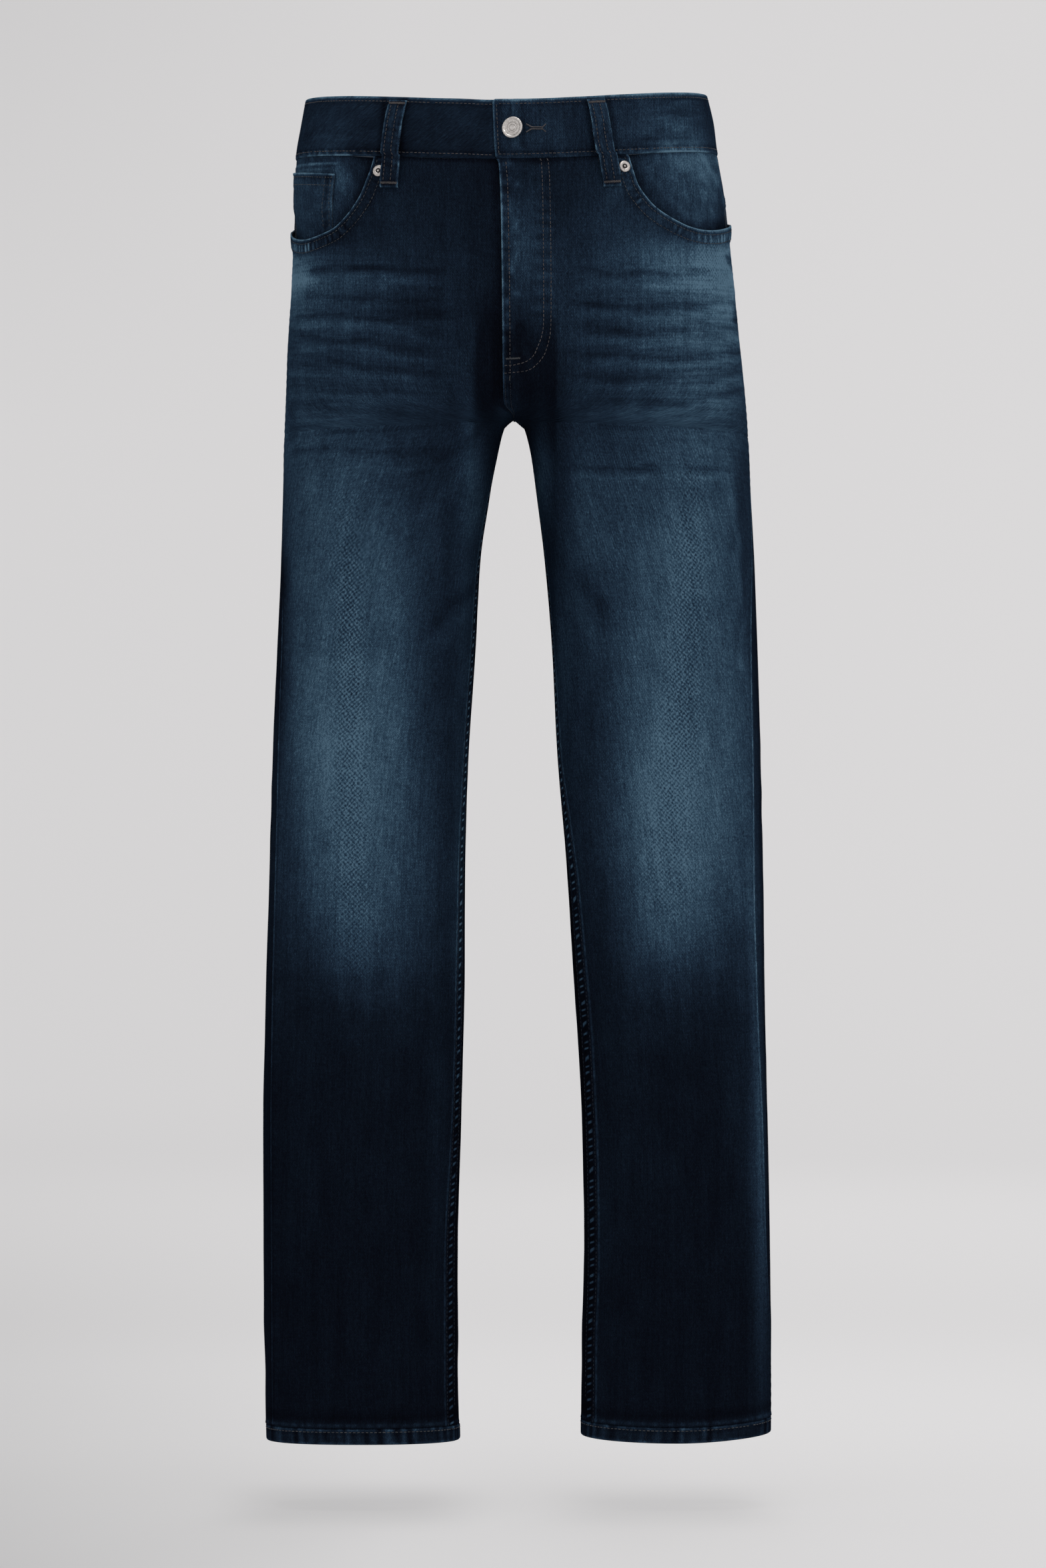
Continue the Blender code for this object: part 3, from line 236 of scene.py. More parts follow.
class Form:
    """The outer surface of the cloth, read by side, arc length from the inner end, and height."""

    def __init__(self, step=2.0, samples=241):
        self.h = np.append(np.arange(WAIST_TOP, HEM_END, -step), HEM_END)
        self.n = samples
        self.grid, self.side_arc, self.total = {-1: [], 1: []}, {-1: [], 1: []}, {-1: [], 1: []}
        for h in self.h:
            rows = ease_centre({s: half_section(s, float(h), samples) for s in (-1, 1)}, float(h))
            for s in (-1, 1):
                for store, value in zip((self.grid, self.side_arc, self.total), rows[s]):
                    store[s].append(value)
        for store in (self.grid, self.side_arc, self.total):
            for s in (-1, 1):
                store[s] = np.array(store[s])
        self.ease_rows()
        self.find_normals()

    def ease_rows(self, soft=15.0):
        """Ease the form from row to row where the legs part, away from the rise and the inner thighs."""
        near = smooth((-130 - self.h) / 40) * smooth((self.h + 380) / 60)
        weight = np.exp(-0.5 * ((self.h[:, None] - self.h[None, :]) / soft) ** 2)
        weight /= weight.sum(1, keepdims=True)
        f = np.linspace(0, 1, self.n)
        share = smooth(np.minimum(f, 1 - f) / 0.10)
        for s in (-1, 1):
            grid = self.grid[s]
            eased = np.einsum("ab,bcd->acd", weight, grid)
            blend = (near[:, None] * share[None, :])[..., None]
            grid = grid * (1 - blend) + eased * blend
            for i, line in enumerate(grid):
                arc = np.concatenate([[0], np.cumsum(np.linalg.norm(np.diff(line, axis=0), axis=1))])
                even = np.linspace(0, self.total[s][i], self.n)
                self.side_arc[s][i] = np.interp(self.side_arc[s][i], even, arc)
                self.total[s][i] = arc[-1]
                at = np.linspace(0, arc[-1], self.n)
                grid[i] = np.stack([np.interp(at, arc, line[:, k]) for k in range(3)], 1)
            self.grid[s] = grid

    def find_normals(self):
        """Outward normals of the form, shared where its halves meet and where a leg closes on itself."""
        self.normal = {}
        for s in (-1, 1):
            g = self.grid[s]
            n = np.cross(np.gradient(g, axis=0), np.gradient(g, axis=1)) * s
            self.normal[s] = n / np.maximum(np.linalg.norm(n, axis=-1, keepdims=True), 1e-9)
        above = self.h > CROTCH_H
        for end in (0, -1):
            both = self.normal[1][:, end] + self.normal[-1][:, end]
            for s in (-1, 1):
                own = self.normal[s][:, 0] + self.normal[s][:, -1]
                self.normal[s][:, end] = np.where(above[:, None], both, own)
        for s in (-1, 1):
            n = self.normal[s]
            for _ in range(6):
                inner = n[:, 1:-1] * 2 + n[:, :-2] + n[:, 2:]
                n = np.concatenate([n[:, :1] * 4, inner, n[:, -1:] * 4], 1)
                n /= np.maximum(np.linalg.norm(n, axis=-1, keepdims=True), 1e-9)
            for _ in range(3):
                inner = n[1:-1] * 2 + n[:-2] + n[2:]
                n = np.concatenate([n[:1] * 4, inner, n[-1:] * 4], 0)
                n /= np.maximum(np.linalg.norm(n, axis=-1, keepdims=True), 1e-9)
            self.normal[s] = n

    def length(self, side, h, whole=False):
        return np.interp(-np.asarray(h, float), -self.h, (self.total if whole else self.side_arc)[side])

    def arcs(self, side, u, h):
        """Arc position of a seam coordinate u at height h."""
        above = h > CROTCH_H
        shift = curve(SEAMS, "in_" + name_of(side), h)
        start = np.where(above, curve(FLY, "beyond", h) * -side, shift)
        middle = self.length(side, h) + curve(SEAMS, "out_" + name_of(side), h) + curve(SEAM_SET, name_of(side), h)
        end = self.length(side, h, True) + np.where(above, 0, shift)
        return np.where(u < 1, start + u * (middle - start), middle + (u - 1) * (end - middle))

    def at(self, side, arc, h):
        """Points and normals at arc positions and heights on one side."""
        arc, h = (np.array(v, float) for v in np.broadcast_arrays(arc, h))
        side = np.full(arc.shape, side)
        below = h <= CROTCH_H
        total = np.where(side > 0, self.length(1, h, True), self.length(-1, h, True))
        arc = np.where(below & (arc < 0), arc + total, arc)
        over = arc < 0                      # past the centre front, on the other side
        side, arc = np.where(over, -side, side), np.abs(arc)
        points, normals = np.zeros(arc.shape + (3,)), np.zeros(arc.shape + (3,))
        row = np.clip(np.interp(-h, -self.h, np.arange(len(self.h))), 0, len(self.h) - 1.000001)
        i = row.astype(int)
        t = (row - i)[..., None]
        for s in (-1, 1):
            m = side == s
            if not m.any():
                continue
            total = self.length(s, h[m], True)
            a = np.where(arc[m] > total, np.where(h[m] <= CROTCH_H, arc[m] - total, total), arc[m])
            f = np.clip(np.clip(a / total, 0, 1) * (self.n - 1), 0, self.n - 1.000001)
            j = f.astype(int)
            w, r = (f - j)[..., None], i[m]
            for store, out in ((self.grid[s], points), (self.normal[s], normals)):
                high = store[r, j] * (1 - w) + store[r, j + 1] * w
                low = store[r + 1, j] * (1 - w) + store[r + 1, j + 1] * w
                out[m] = high * (1 - t[m]) + low * t[m]
            p = points[m]
            p[..., 2] += smooth((-900 - h[m]) / 150) * curve(HEM_LIFT, name_of(s), np.clip(a / total, 0, 1))
            p[..., 2] += TILT * p[..., 0] * smooth((h[m] + 200) / 200)
            points[m] = p
        return points, normals / np.maximum(np.linalg.norm(normals, axis=-1, keepdims=True), 1e-9)


FORM = Form()

# ---------------------------------------------------------------- helpers
def bump(x, width):
    """A soft bell of unit height."""
    return np.exp(-(np.asarray(x) / width) ** 2)


def noise(x, y, seed):
    """Smooth value noise in -1..1 with one cell a unit, the same on every run."""
    table = np.random.default_rng(seed).uniform(-1, 1, (97, 97))
    x, y = np.broadcast_arrays(np.asarray(x, float), np.asarray(y, float))
    i, j = np.floor(x).astype(int), np.floor(y).astype(int)
    s, t = smooth(x - i), smooth(y - j)
    a, b = table[i % 97, j % 97], table[(i + 1) % 97, j % 97]
    c, d = table[i % 97, (j + 1) % 97], table[(i + 1) % 97, (j + 1) % 97]
    return (a * (1 - s) + b * s) * (1 - t) + (c * (1 - s) + d * s) * t


def photo(points):
    """Where the photograph's camera sees points given in mm: columns and rows of its 1568 x 2351 frame."""
    k = 5700.0 / (5700.0 + points[..., 1]) / 0.5347
    return 784.0 + (points[..., 0] - 12.8) * k, 1175.5 - (points[..., 2] + 527.9) * k


def along_line(x, y, line):
    """Distance of places to a broken line, how far along it they are, and the side of it they lie on."""
    line = np.array(line, float)
    best = np.full(np.shape(x), 1e9)
    place, hand, start = np.zeros(np.shape(x)), np.ones(np.shape(x)), 0.0
    for a, b in zip(line[:-1], line[1:]):
        d = b - a
        size = float(np.hypot(*d))
        t = np.clip(((x - a[0]) * d[0] + (y - a[1]) * d[1]) / size ** 2, 0, 1)
        gx, gy = x - a[0] - t * d[0], y - a[1] - t * d[1]
        gap = np.hypot(gx, gy)
        near = gap < best
        best = np.where(near, gap, best)
        place = np.where(near, start + t * size, place)
        hand = np.where(near, np.sign(d[0] * gy - d[1] * gx), hand)
        start += size
    return best, place, hand, start


def eased(points, count=60):
    """A smooth line through a few points."""
    p = np.array(points, float)
    t = np.concatenate([[0], np.cumsum(np.linalg.norm(np.diff(p, axis=0), axis=1))])
    m = np.zeros_like(p)
    m[1:-1] = (p[2:] - p[:-2]) / (t[2:] - t[:-2])[:, None]
    m[0], m[-1] = (p[1] - p[0]) / (t[1] - t[0]), (p[-1] - p[-2]) / (t[-1] - t[-2])
    at = np.linspace(0, t[-1], count)
    i = np.clip(np.searchsorted(t, at) - 1, 0, len(t) - 2)
    w = (t[i + 1] - t[i])[:, None]
    s = ((at - t[i])[:, None]) / w
    return ((1 + 2 * s) * (1 - s) ** 2 * p[i] + s * (1 - s) ** 2 * w * m[i]
            + s * s * (3 - 2 * s) * p[i + 1] + s * s * (s - 1) * w * m[i + 1])


def read(table, column, at, key="y"):
    """One column of a table, read smoothly."""
    x, v = np.array(table[key], float), np.array(table[column], float)
    i = np.clip(np.searchsorted(x, at) - 1, 0, len(x) - 2)
    t = smooth((at - x[i]) / (x[i + 1] - x[i]))
    return v[i] * (1 - t) + v[i + 1] * t

# ---------------------------------------------------------------- washed tones
# A tone counts doublings of lightness above the darkest cloth; 5 is nearly bleached.  Rows and
# columns are those of the photograph's frame, where the front shows.
GROUND = dict(      # the tone of the front where nothing is faded
    y=(140, 230, 300, 400, 470, 640, 1000, 1330, 1420, 1480, 1540, 1700, 1950, 2160),
    t=(1.30, 0.85, 0.95, 1.25, 1.32, 1.40, 1.35, 1.30, 1.15, 0.85, 0.60, 0.36, 0.15, 0.1),
)
THIGH_RIGHT = dict(  # the long fade down the wearer's right leg: middle, reach left and right, amount
    y=(500, 560, 640, 720, 800, 880, 960, 1040, 1120, 1200, 1280, 1350, 1400, 1440, 1480, 1530, 1590),
    x=(540, 545, 505, 508, 530, 535, 540, 534, 525, 528, 532, 536, 542, 548, 555, 560, 560),
    low=(170, 170, 140, 120, 120, 128, 128, 122, 110, 104, 100, 96, 90, 84, 78, 76, 76),
    high=(110, 105, 98, 100, 108, 112, 112, 112, 114, 112, 106, 98, 90, 86, 80, 80, 80),
    amount=(0.55, 0.85, 1.45, 1.75, 2.1, 2.2, 2.25, 2.6, 2.9, 2.85, 2.65, 2.45, 2.15, 1.75, 1.05, 0.35, 0.0),
)
THIGH_LEFT = dict(
    y=(560, 640, 720, 800, 880, 960, 1040, 1120, 1200, 1280, 1350, 1400, 1440, 1480, 1530, 1590),
    x=(1050, 1052, 1045, 1030, 1022, 1005, 1000, 1002, 1006, 1008, 1004, 1000, 998, 995, 995, 995),
    low=(150, 150, 165, 135, 122, 112, 104, 96, 96, 96, 92, 88, 84, 82, 82, 82),
    high=(90, 84, 84, 92, 108, 126, 134, 128, 122, 118, 114, 112, 112, 110, 110, 110),
    amount=(1.2, 1.75, 2.05, 2.65, 2.65, 2.55, 2.7, 3.1, 3.2, 3.0, 2.65, 2.2, 1.55, 0.95, 0.35, 0.0),
)
PATCHES = dict(     # soft patches of lighter (+) or darker (-) cloth: washed and unwashed places, painted shade by the crotch, in a crease and on the strips beyond the outseams, and painted light along the left leg's outer edge
    x=(436, 470, 1112, 1060, 930, 786, 850, 792, 735, 722, 800, 640, 700, 1122, 712, 698, 808, 868, 980, 1095, 450, 1100, 765,
       450, 479, 603, 842, 896, 658, 690, 945, 898, 1112, 1143, 1080, 640, 1113, 1118,
       419, 648, 902, 905, 975, 722, 812, 838, 1020, 485, 1075,
       421, 770, 842, 700, 733, 700, 1141, 1140, 928, 750, 905,
       1035, 535, 750),
    y=(405, 425, 425, 445, 385, 360, 455, 560, 560, 400, 640, 300, 300, 1250, 725, 1050, 705, 820, 395, 640, 560, 1120, 622,
       960, 1090, 1000, 1040, 770, 1800, 1400, 1700, 1850, 1650, 1720, 400, 1200, 740, 900,
       950, 1020, 1070, 1400, 760, 560, 545, 740, 350, 362, 480,
       872, 515, 560, 540, 550, 620, 1350, 1650, 262, 320, 205,
       458, 345, 580),
    rx=(34, 85, 62, 105, 90, 30, 36, 36, 20, 26, 34, 90, 60, 26, 22, 12, 18, 26, 80, 24, 24, 34, 24,
        20, 24, 24, 16, 28, 20, 13, 28, 20, 28, 15, 40, 26, 16, 9,
        12, 30, 36, 34, 40, 22, 34, 14, 50, 45, 45,
        10, 17, 9, 16, 20, 14, 14, 14, 26, 26, 20,
        60, 55, 10),
    ry=(62, 95, 85, 150, 60, 85, 90, 78, 110, 150, 70, 90, 120, 330, 100, 330, 80, 260, 40, 90, 200, 220, 32,
        300, 190, 150, 170, 85, 330, 260, 230, 330, 240, 380, 40, 120, 130, 90,
        190, 140, 130, 110, 150, 60, 45, 120, 18, 14, 50,
        32, 36, 105, 70, 70, 60, 140, 220, 40, 20, 24,
        32, 30, 90),
    t=(2.1, 0.8, 1.75, 1.35, 0.35, 1.45, 0.4, -1.15, -1.1, -0.2, -0.7, -0.1, -0.15, 0.2, 1.5, 0.6, 1.5, 0.55, 0.5, 0.3, 0.35, 0.3, 0.7,
       0.3, 0.35, 0.35, 0.75, 0.5, 0.55, 0.8, 0.3, 0.4, 0.4, 2.3, 0.5, 0.3, -0.8, -0.5,
       -1.8, -0.45, -0.5, -0.7, -0.35, -0.7, -0.6, -0.5, -0.9, -0.8, -0.5,
       -1.3, -0.45, -0.1, 0.3, -0.1, 0.2, 0.8, 0.45, 0.9, 0.45, 0.9,
       -0.6, -0.5, 0.45),
)
WHISKERS = (        # fine worn and unworn bands across the hips, and painted highlights and painted shade on the folds by the crotch, by the left pocket's outer end and along the outseams: width, tone, points
    (5, -0.55, ((470, 401), (560, 402), (690, 406))), (8, 0.30, ((440, 417), (540, 420), (700, 428))),
    (5, -0.40, ((455, 443), (560, 447), (695, 452))), (13, -0.45, ((550, 466), (620, 466), (705, 468))),
    (7, 0.36, ((445, 490), (560, 491), (700, 493))), (12, 0.3, ((440, 430), (540, 430), (640, 431))),
    (5, -0.38, ((450, 473), (560, 480), (690, 500))), (6, 0.26, ((445, 490), (560, 497), (690, 517))),
    (5, -0.36, ((450, 505), (520, 507), (600, 521), (680, 530))), (5, 0.26, ((445, 521), (560, 531), (700, 548))),
    (5, -0.30, ((450, 541), (560, 549), (700, 563))), (5, 0.24, ((440, 560), (560, 566), (700, 581))),
    (4, -0.26, ((440, 577), (560, 583), (690, 596))), (5, 0.22, ((440, 592), (570, 599), (690, 612))),
    (4, -0.24, ((440, 608), (560, 613), (700, 624))), (5, -0.30, ((450, 640), (560, 643), (700, 636))),
    (5, -0.42, ((445, 677), (540, 675), (640, 676), (700, 668))), (6, 0.22, ((520, 700), (620, 705), (700, 690))),
    (8, -0.28, ((720, 640), (660, 690), (610, 720))), (10, 0.25, ((712, 700), (650, 760), (600, 800))),
    (6, -0.50, ((870, 404), (960, 409), (1060, 402))), (8, 0.34, ((860, 424), (960, 432), (1095, 428))),
    (6, -0.48, ((845, 448), (940, 459), (1040, 454), (1105, 446))), (8, 0.30, ((850, 470), (960, 478), (1100, 468))),
    (6, -0.40, ((845, 487), (950, 495), (1060, 492), (1112, 484))), (8, 0.30, ((850, 508), (960, 515), (1110, 505))),
    (6, -0.36, ((845, 524), (950, 532), (1060, 531), (1115, 521))), (8, 0.28, ((850, 545), (960, 549), (1115, 540))),
    (6, -0.34, ((850, 563), (960, 567), (1060, 562), (1115, 552))), (8, 0.26, ((860, 582), (960, 585), (1116, 572))),
    (7, -0.34, ((860, 603), (960, 603), (1060, 597), (1110, 585))), (8, 0.22, ((870, 622), (980, 622), (1110, 606))),
    (6, -0.30, ((880, 640), (1000, 641), (1110, 628))), (5, -0.52, ((845, 699), (960, 700), (1090, 703))),
    (6, 0.30, ((850, 715), (960, 716), (1080, 716))), (12, -0.30, ((850, 850), (900, 900), (930, 960))),
    (12, 0.22, ((850, 890), (890, 950), (915, 1010))), (9, -0.25, ((720, 870), (670, 910), (640, 960))),
    (10, 0.22, ((712, 905), (665, 950), (640, 1010))),
    (7, -1.1, ((1078, 352), (1096, 385), (1104, 430), (1109, 475))), (4, 0.5, ((1066, 356), (1082, 378), (1092, 408), (1099, 445))),
    (7, -0.35, ((436, 660), (441, 640), (436, 600))), (5, 0.35, ((1094, 700), (1103, 800), (1109, 900), (1113, 1000))),
)
BAND_TONE = dict(   # the waistband along the photograph's columns
    y=(425, 450, 500, 545, 600, 690, 735, 760, 840, 870, 905, 960, 1010, 1060, 1090),
    t=(2.3, 2.4, 2.0, 1.35, 1.15, 1.2, 1.15, 1.8, 1.9, 1.6, 1.8, 2.3, 2.9, 3.7, 3.7),
)
BACK_PATCHES = dict(  # the hidden back in u and h: seat, thighs and the honeycomb behind the knees
    u=(1.50, 1.34, 1.62, 1.50, 1.50, 1.48, 1.50, 1.88),
    h=(-205, -330, -330, -470, -640, -700, -860, -190),
    ru=(0.30, 0.16, 0.20, 0.26, 0.30, 0.28, 0.30, 0.10),
    rh=(105, 150, 150, 190, 110, 150, 120, 120),
    t=(1.55, 0.55, 0.65, 1.05, 0.55, 0.35, -0.2, -0.5),
)


def spots(x, y, table, keys):
    total = np.zeros(np.shape(x))
    for cx, cy, rx, ry, t in zip(*(table[k] for k in keys)):
        total += t * np.exp(-((x - cx) / rx) ** 2 - ((y - cy) / ry) ** 2)
    return total


def front_tone(px, py, legs=True):
    """Tone of the front panels where the photograph shows them."""
    tone = read(GROUND, "t", py)
    ragged = py + 16 * noise(px / 21, py / 70, 7) + 9 * noise(px / 7, py / 50, 8)
    for table in (THIGH_RIGHT, THIGH_LEFT) if legs else ():
        d = px - read(table, "x", py)
        reach = np.where(d < 0, read(table, "low", py), read(table, "high", py))
        own = px < 765 if table is THIGH_RIGHT else px >= 765
        tone += own * read(table, "amount", ragged) * np.exp(-np.abs(d / reach) ** 2.3)
    tone += spots(px, py, PATCHES, ("x", "y", "rx", "ry", "t"))
    # painted shade along crisp edges where the fly's doubled cloth ends, by the crotch and where the other leg folds in
    # beside it, and a painted highlight along that fold
    tone -= 0.8 * smooth((836 - px) / 3.5) * smooth((px - 806) / 22) * smooth((py - 473) / 8) * (1 - smooth((py - 640) / 60))
    tone -= 0.35 * smooth((px - 711) / 4) * (1 - smooth((px - 740) / 14)) * smooth((py - 440) / 60) * (1 - smooth((py - 590) / 60))
    tone += 0.3 * bump(px - 706, 4) * smooth((py - 470) / 40) * (1 - smooth((py - 700) / 80))
    tone -= 0.9 * (0.7 + 1.0 * noise(px / 7, py / 9, 15)) * smooth((px - 757) / 4) * (1 - smooth((px - 782) / 8)) * smooth((py - 478) / 10) * (1 - smooth((py - 545) / 12))
    near = (px > 420) & (px < 1130) & (py > 380) & (py < 1030)
    if near.any():
        x, y = px[near], py[near]
        x, y = x + 6 * noise(x / 40, y / 30, 5), y + 5 * noise(x / 46, y / 24, 6)
        add = np.zeros(x.shape)
        for width, t, line in WHISKERS:
            line = eased(line, 14)
            d, place, _, total = along_line(x, y, line)
            first = 1.0 if line[0, 0] < 475 else smooth(place / (0.25 * total) + 0.15)
            last = 1.0 if line[-1, 0] > 1055 else smooth((total - place) / (0.35 * total))
            end = first * last
            if line[-1, 0] - line[0, 0] > 2 * abs(line[-1, 1] - line[0, 1]):     # a dark line is crisp above, a light one below
                d = d * np.where((y < np.interp(x, line[:, 0], line[:, 1])) == (t < 0), 1.75, 0.8)
            add += 2.2 * t * np.exp(-np.abs(d / width) ** 2.8) * end * (0.75 + 0.5 * noise(x / 30, y / 15, 9))
        tone[near] += add
    return tone


def back_tone(u, h):
    """Tone of the hidden back panels, made to go with the front."""
    tone = 0.95 + 0.35 * smooth((h + 330) / 200) - 0.95 * smooth((-640 - h) / 200)
    tone += spots(u, h, BACK_PATCHES, ("u", "h", "ru", "rh", "t"))
    for k, level in enumerate((-498, -521, -541, -566, -586, -611)):
        line = level + 10 * np.sin((u - 1.5) * 5 + k * 1.7) + 5 * noise(u * 5, h / 40, 40 + k)
        fit = np.exp(-((u - 1.5) / 0.30) ** 4)
        tone += fit * (0.32 * bump(h - line, 7) - 0.34 * bump(h - line - 13, 5))
    return tone


def cloth_tone(points, u, h):
    """Tone of a panel at its places, front and back passing into each other round the outseam."""
    px, py = photo(points)
    turn = smooth((u - 0.96) / 0.16)
    tone = front_tone(px, py) * (1 - turn) + back_tone(u, h) * turn
    # painted shade on the strip of back cloth that shows beyond the outseams, where it turns away from the light
    outseam_shade = np.where(points[..., 0] > 0, 0.85, 0.55) * smooth((-270 - h) / 60)
    tone -= (0.2 + outseam_shade) * smooth((u - 1.0) / 0.012) * (1 - smooth((u - 1.1) / 0.12))
    tone += 0.16 * noise(points[..., 0] / 11, points[..., 2] / 26, 21) + 0.14 * noise(points[..., 0] / 4.5, points[..., 2] / 60, 22)
    return tone

# ---------------------------------------------------------------- seams, puckers and folds
J_INNER = ((.1414, -26), (.1300, -90), (.1235, -149), (.12, -167), (.1003, -181), (.0753, -186), (.0448, -188), (.0037, -189))
J_OUTER = ((.1647, -26), (.1530, -90), (.145, -157), (.1414, -170), (.1289, -181), (.1039, -188), (.0753, -192), (.0377, -193), (.0019, -194))
FOLDS = (   # soft folds of the front: half width in photo pixels, height in mm, points
    (4.5, 0.85, ((836, 555), (838, 640), (836, 760), (834, 880), (838, 990))),
    (9, -0.7, ((822, 560), (822, 660), (824, 780), (828, 900))),
    (9, 1.0, ((712, 560), (706, 650), (700, 740), (696, 820), (694, 1000))),
    (10, -0.8, ((735, 520), (728, 600), (712, 680), (690, 780), (672, 900))),
    (13, 0.8, ((725, 625), (690, 668), (640, 700), (590, 712))),
    (12, -0.7, ((722, 655), (685, 700), (630, 745), (560, 770))),
    (15, 0.75, ((712, 700), (675, 760), (620, 820))),
    (13, 0.7, ((845, 660), (900, 700), (980, 712), (1060, 706))),
    (11, -0.6, ((842, 690), (900, 735), (975, 758), (1050, 752))),
    (18, 0.8, ((846, 830), (885, 900), (915, 990))),
    (15, -0.65, ((840, 880), (870, 950), (890, 1040))),
    (3.5, 0.75, ((1062, 356), (1080, 376), (1090, 402), (1098, 432), (1104, 452))),
    (6, -0.8, ((1082, 352), (1099, 388), (1108, 432), (1112, 462))),
    (9, 0.8, ((1098, 640), (1101, 740), (1103, 860), (1104, 1000))),
    (7, -0.6, ((1116, 640), (1120, 760), (1122, 900), (1124, 1020))),
    (11, 0.7, ((440, 640), (436, 760), (432, 880))),
    (8, 0.55, ((1100, 410), (1010, 424), (900, 428))), (7, -0.5, ((1104, 448), (1010, 457), (880, 462))),
    (9, 0.5, ((1112, 476), (1010, 478), (880, 490))), (8, -0.45, ((1114, 505), (1010, 512), (880, 520))),
    (10, 0.45, ((1116, 540), (1010, 545), (890, 552))),
    (8, 0.45, ((440, 414), (540, 420), (680, 430))), (7, -0.45, ((440, 438), (540, 444), (690, 466))),
    (8, 0.4, ((436, 466), (560, 476), (690, 492))), (8, -0.35, ((434, 500), (560, 508), (690, 524))),
    (9, 0.4, ((432, 540), (560, 545), (690, 556))),
    (16, 0.6, ((500, 1420), (560, 1440), (640, 1425))), (20, -0.5, ((470, 1475), (560, 1500), (650, 1480))),
    (18, 0.55, ((900, 1430), (980, 1450), (1080, 1425))), (20, -0.45, ((890, 1490), (980, 1510), (1090, 1480))),
    (26, 0.6, ((470, 1760), (560, 1740), (650, 1770))), (26, -0.6, ((920, 1820), (1000, 1850), (1100, 1810))),
    (22, 0.7, ((905, 1990), (1000, 2030), (1120, 1985))), (20, -0.6, ((440, 1985), (560, 2030), (660, 1990))),
)
BACK_FOLDS = (  # folds of the hidden back in u (x 200) and h, both sides alike but for their noise
    (7, 0.9, ((395, -225), (370, -248), (330, -262), (285, -266))), (7, -0.9, ((392, -243), (362, -268), (320, -282), (275, -286))),
    (9, 0.9, ((388, -268), (350, -296), (300, -312))), (8, -0.7, ((380, -292), (345, -318), (300, -332))),
    (8, 1.2, ((232, -496), (290, -508), (372, -494))), (8, -1.1, ((232, -512), (290, -524), (370, -510))),
    (8, 1.1, ((226, -532), (300, -541), (378, -526))), (8, -1.1, ((228, -552), (300, -558), (372, -546))),
    (9, 1.2, ((232, -571), (300, -578), (372, -566))), (9, -1.0, ((236, -592), (300, -596), (368, -586))),
    (10, 0.9, ((240, -612), (300, -618), (364, -606))),
    (14, -0.9, ((215, -1000), (300, -978), (385, -1004))), (14, 0.9, ((220, -962), (300, -944), (380, -966))),
)


def roll(d, radius):
    """How far an edge turns away at a distance d from it."""
    t = np.clip(1 - np.asarray(d) / radius, 0, 1)
    return radius * (1 - np.sqrt(1 - t * t))


def ladder(place, cross, pitch, seed, lean=0.35):
    """Uneven puckers over a stitched seam: place runs along it and cross over it, in mm."""
    phase = (place + lean * cross) / pitch + 0.5 * noise(place / (2.6 * pitch), 3.3, seed)
    return (0.7 + 0.45 * noise(place / (1.7 * pitch), 8.1, seed + 1)) * np.cos(2 * math.pi * phase)


def window(d, low, high, soft=1.2):
    return smooth((d - low) / soft) * smooth((high - d) / soft)


def swell(p):
    """The cloth's own slow unevenness."""
    x, z = p[..., 0] + 0.8 * p[..., 1], p[..., 2]
    return 0.45 * noise(x / 70, z / 115, 11) + 0.22 * noise(x / 26, z / 52, 12) + 0.08 * noise(x / 9, z / 15, 13)


def front_folds(px, py):
    out = np.zeros(np.shape(px))
    for width, height, line in FOLDS:
        line = eased(line, 12)
        near = (py > line[:, 1].min() - 3 * width) & (py < line[:, 1].max() + 3 * width)
        if near.any():
            d, place, _, total = along_line(px[near], py[near], line)
            out[near] += height * bump(d, width) * smooth((place + 0.12 * total) / (0.3 * total)) * smooth((1.12 * total - place) / (0.3 * total))
    return out


def back_folds(side, u, h):
    x, out = u * 200 + 4 * noise(h / 60, u * 3, 31 + side), np.zeros(np.shape(u))
    y = h + 5 * noise(u * 6, h / 70, 33 + side)
    for width, height, line in BACK_FOLDS:
        d, place, _, total = along_line(x, y, eased(line, 12))
        out += height * bump(d, width) * smooth((place + 0.1 * total) / (0.3 * total)) * smooth((1.1 * total - place) / (0.3 * total))
    return out


INSEAM = {      # the felled inseam as it shows: its outer line's distance from the seam, and its width against 8 mm
    1: dict(y=(254, 300, 400, 500, 560, 600, 700, 800, 900, 1000, 1053),
            far=(12, 13, 16, 19, 23, 25, 25.5, 21.5, 18.9, 17.1, 15.7),
            k=(1.5, 1.5, 1.6, 2.0, 2.2, 2.4, 2.5, 2.5, 2.5, 2.5, 2.5)),
    -1: dict(y=(254, 300, 400, 500, 600, 700, 800, 900, 1000, 1053),
             far=(14, 16, 18, 14.5, 16.5, 17.5, 15.5, 17.0, 15.4, 13.9),
             k=(1.5, 1.5, 1.6, 1.6, 1.7, 1.8, 2.0, 2.2, 2.2, 2.2)),
}


def inseam_band(side, h, d0):
    """A place across the felled inseam: 0 to 8 over the band."""
    return 7.7 + (d0 - read(INSEAM[side], "far", -h)) / read(INSEAM[side], "k", -h)


def mouth(side, rise=0.0):
    u, h = np.array(MOUTH[name_of(side) + "_u"]), np.array(MOUTH[name_of(side) + "_h"])
    line = eased(np.stack([u * 220.0, h], 1), 80)
    if rise:
        d = np.gradient(line, axis=0)
        line = line + np.stack([-d[:, 1], d[:, 0]], 1) / np.hypot(*d.T)[:, None] * rise
    return line


MOUTH_LINE = {s: mouth(s) for s in (-1, 1)}


def below_mouth(side, u, h):
    """How far places lie below a pocket mouth (negative above it) and how far along it."""
    d, place, hand, _ = along_line(u * 220.0, h, MOUTH_LINE[side])
    return -d * hand, place


def fly_lines():
    lines = {}
    for key, line in (("inner", J_INNER), ("outer", J_OUTER)):
        u, h = np.array(line).T
        lines[key] = eased(np.stack([FORM.arcs(1, u, h) - FORM.arcs(1, 0 * u, h), h], 1), 90)
    return lines


FLY_LINES = fly_lines()


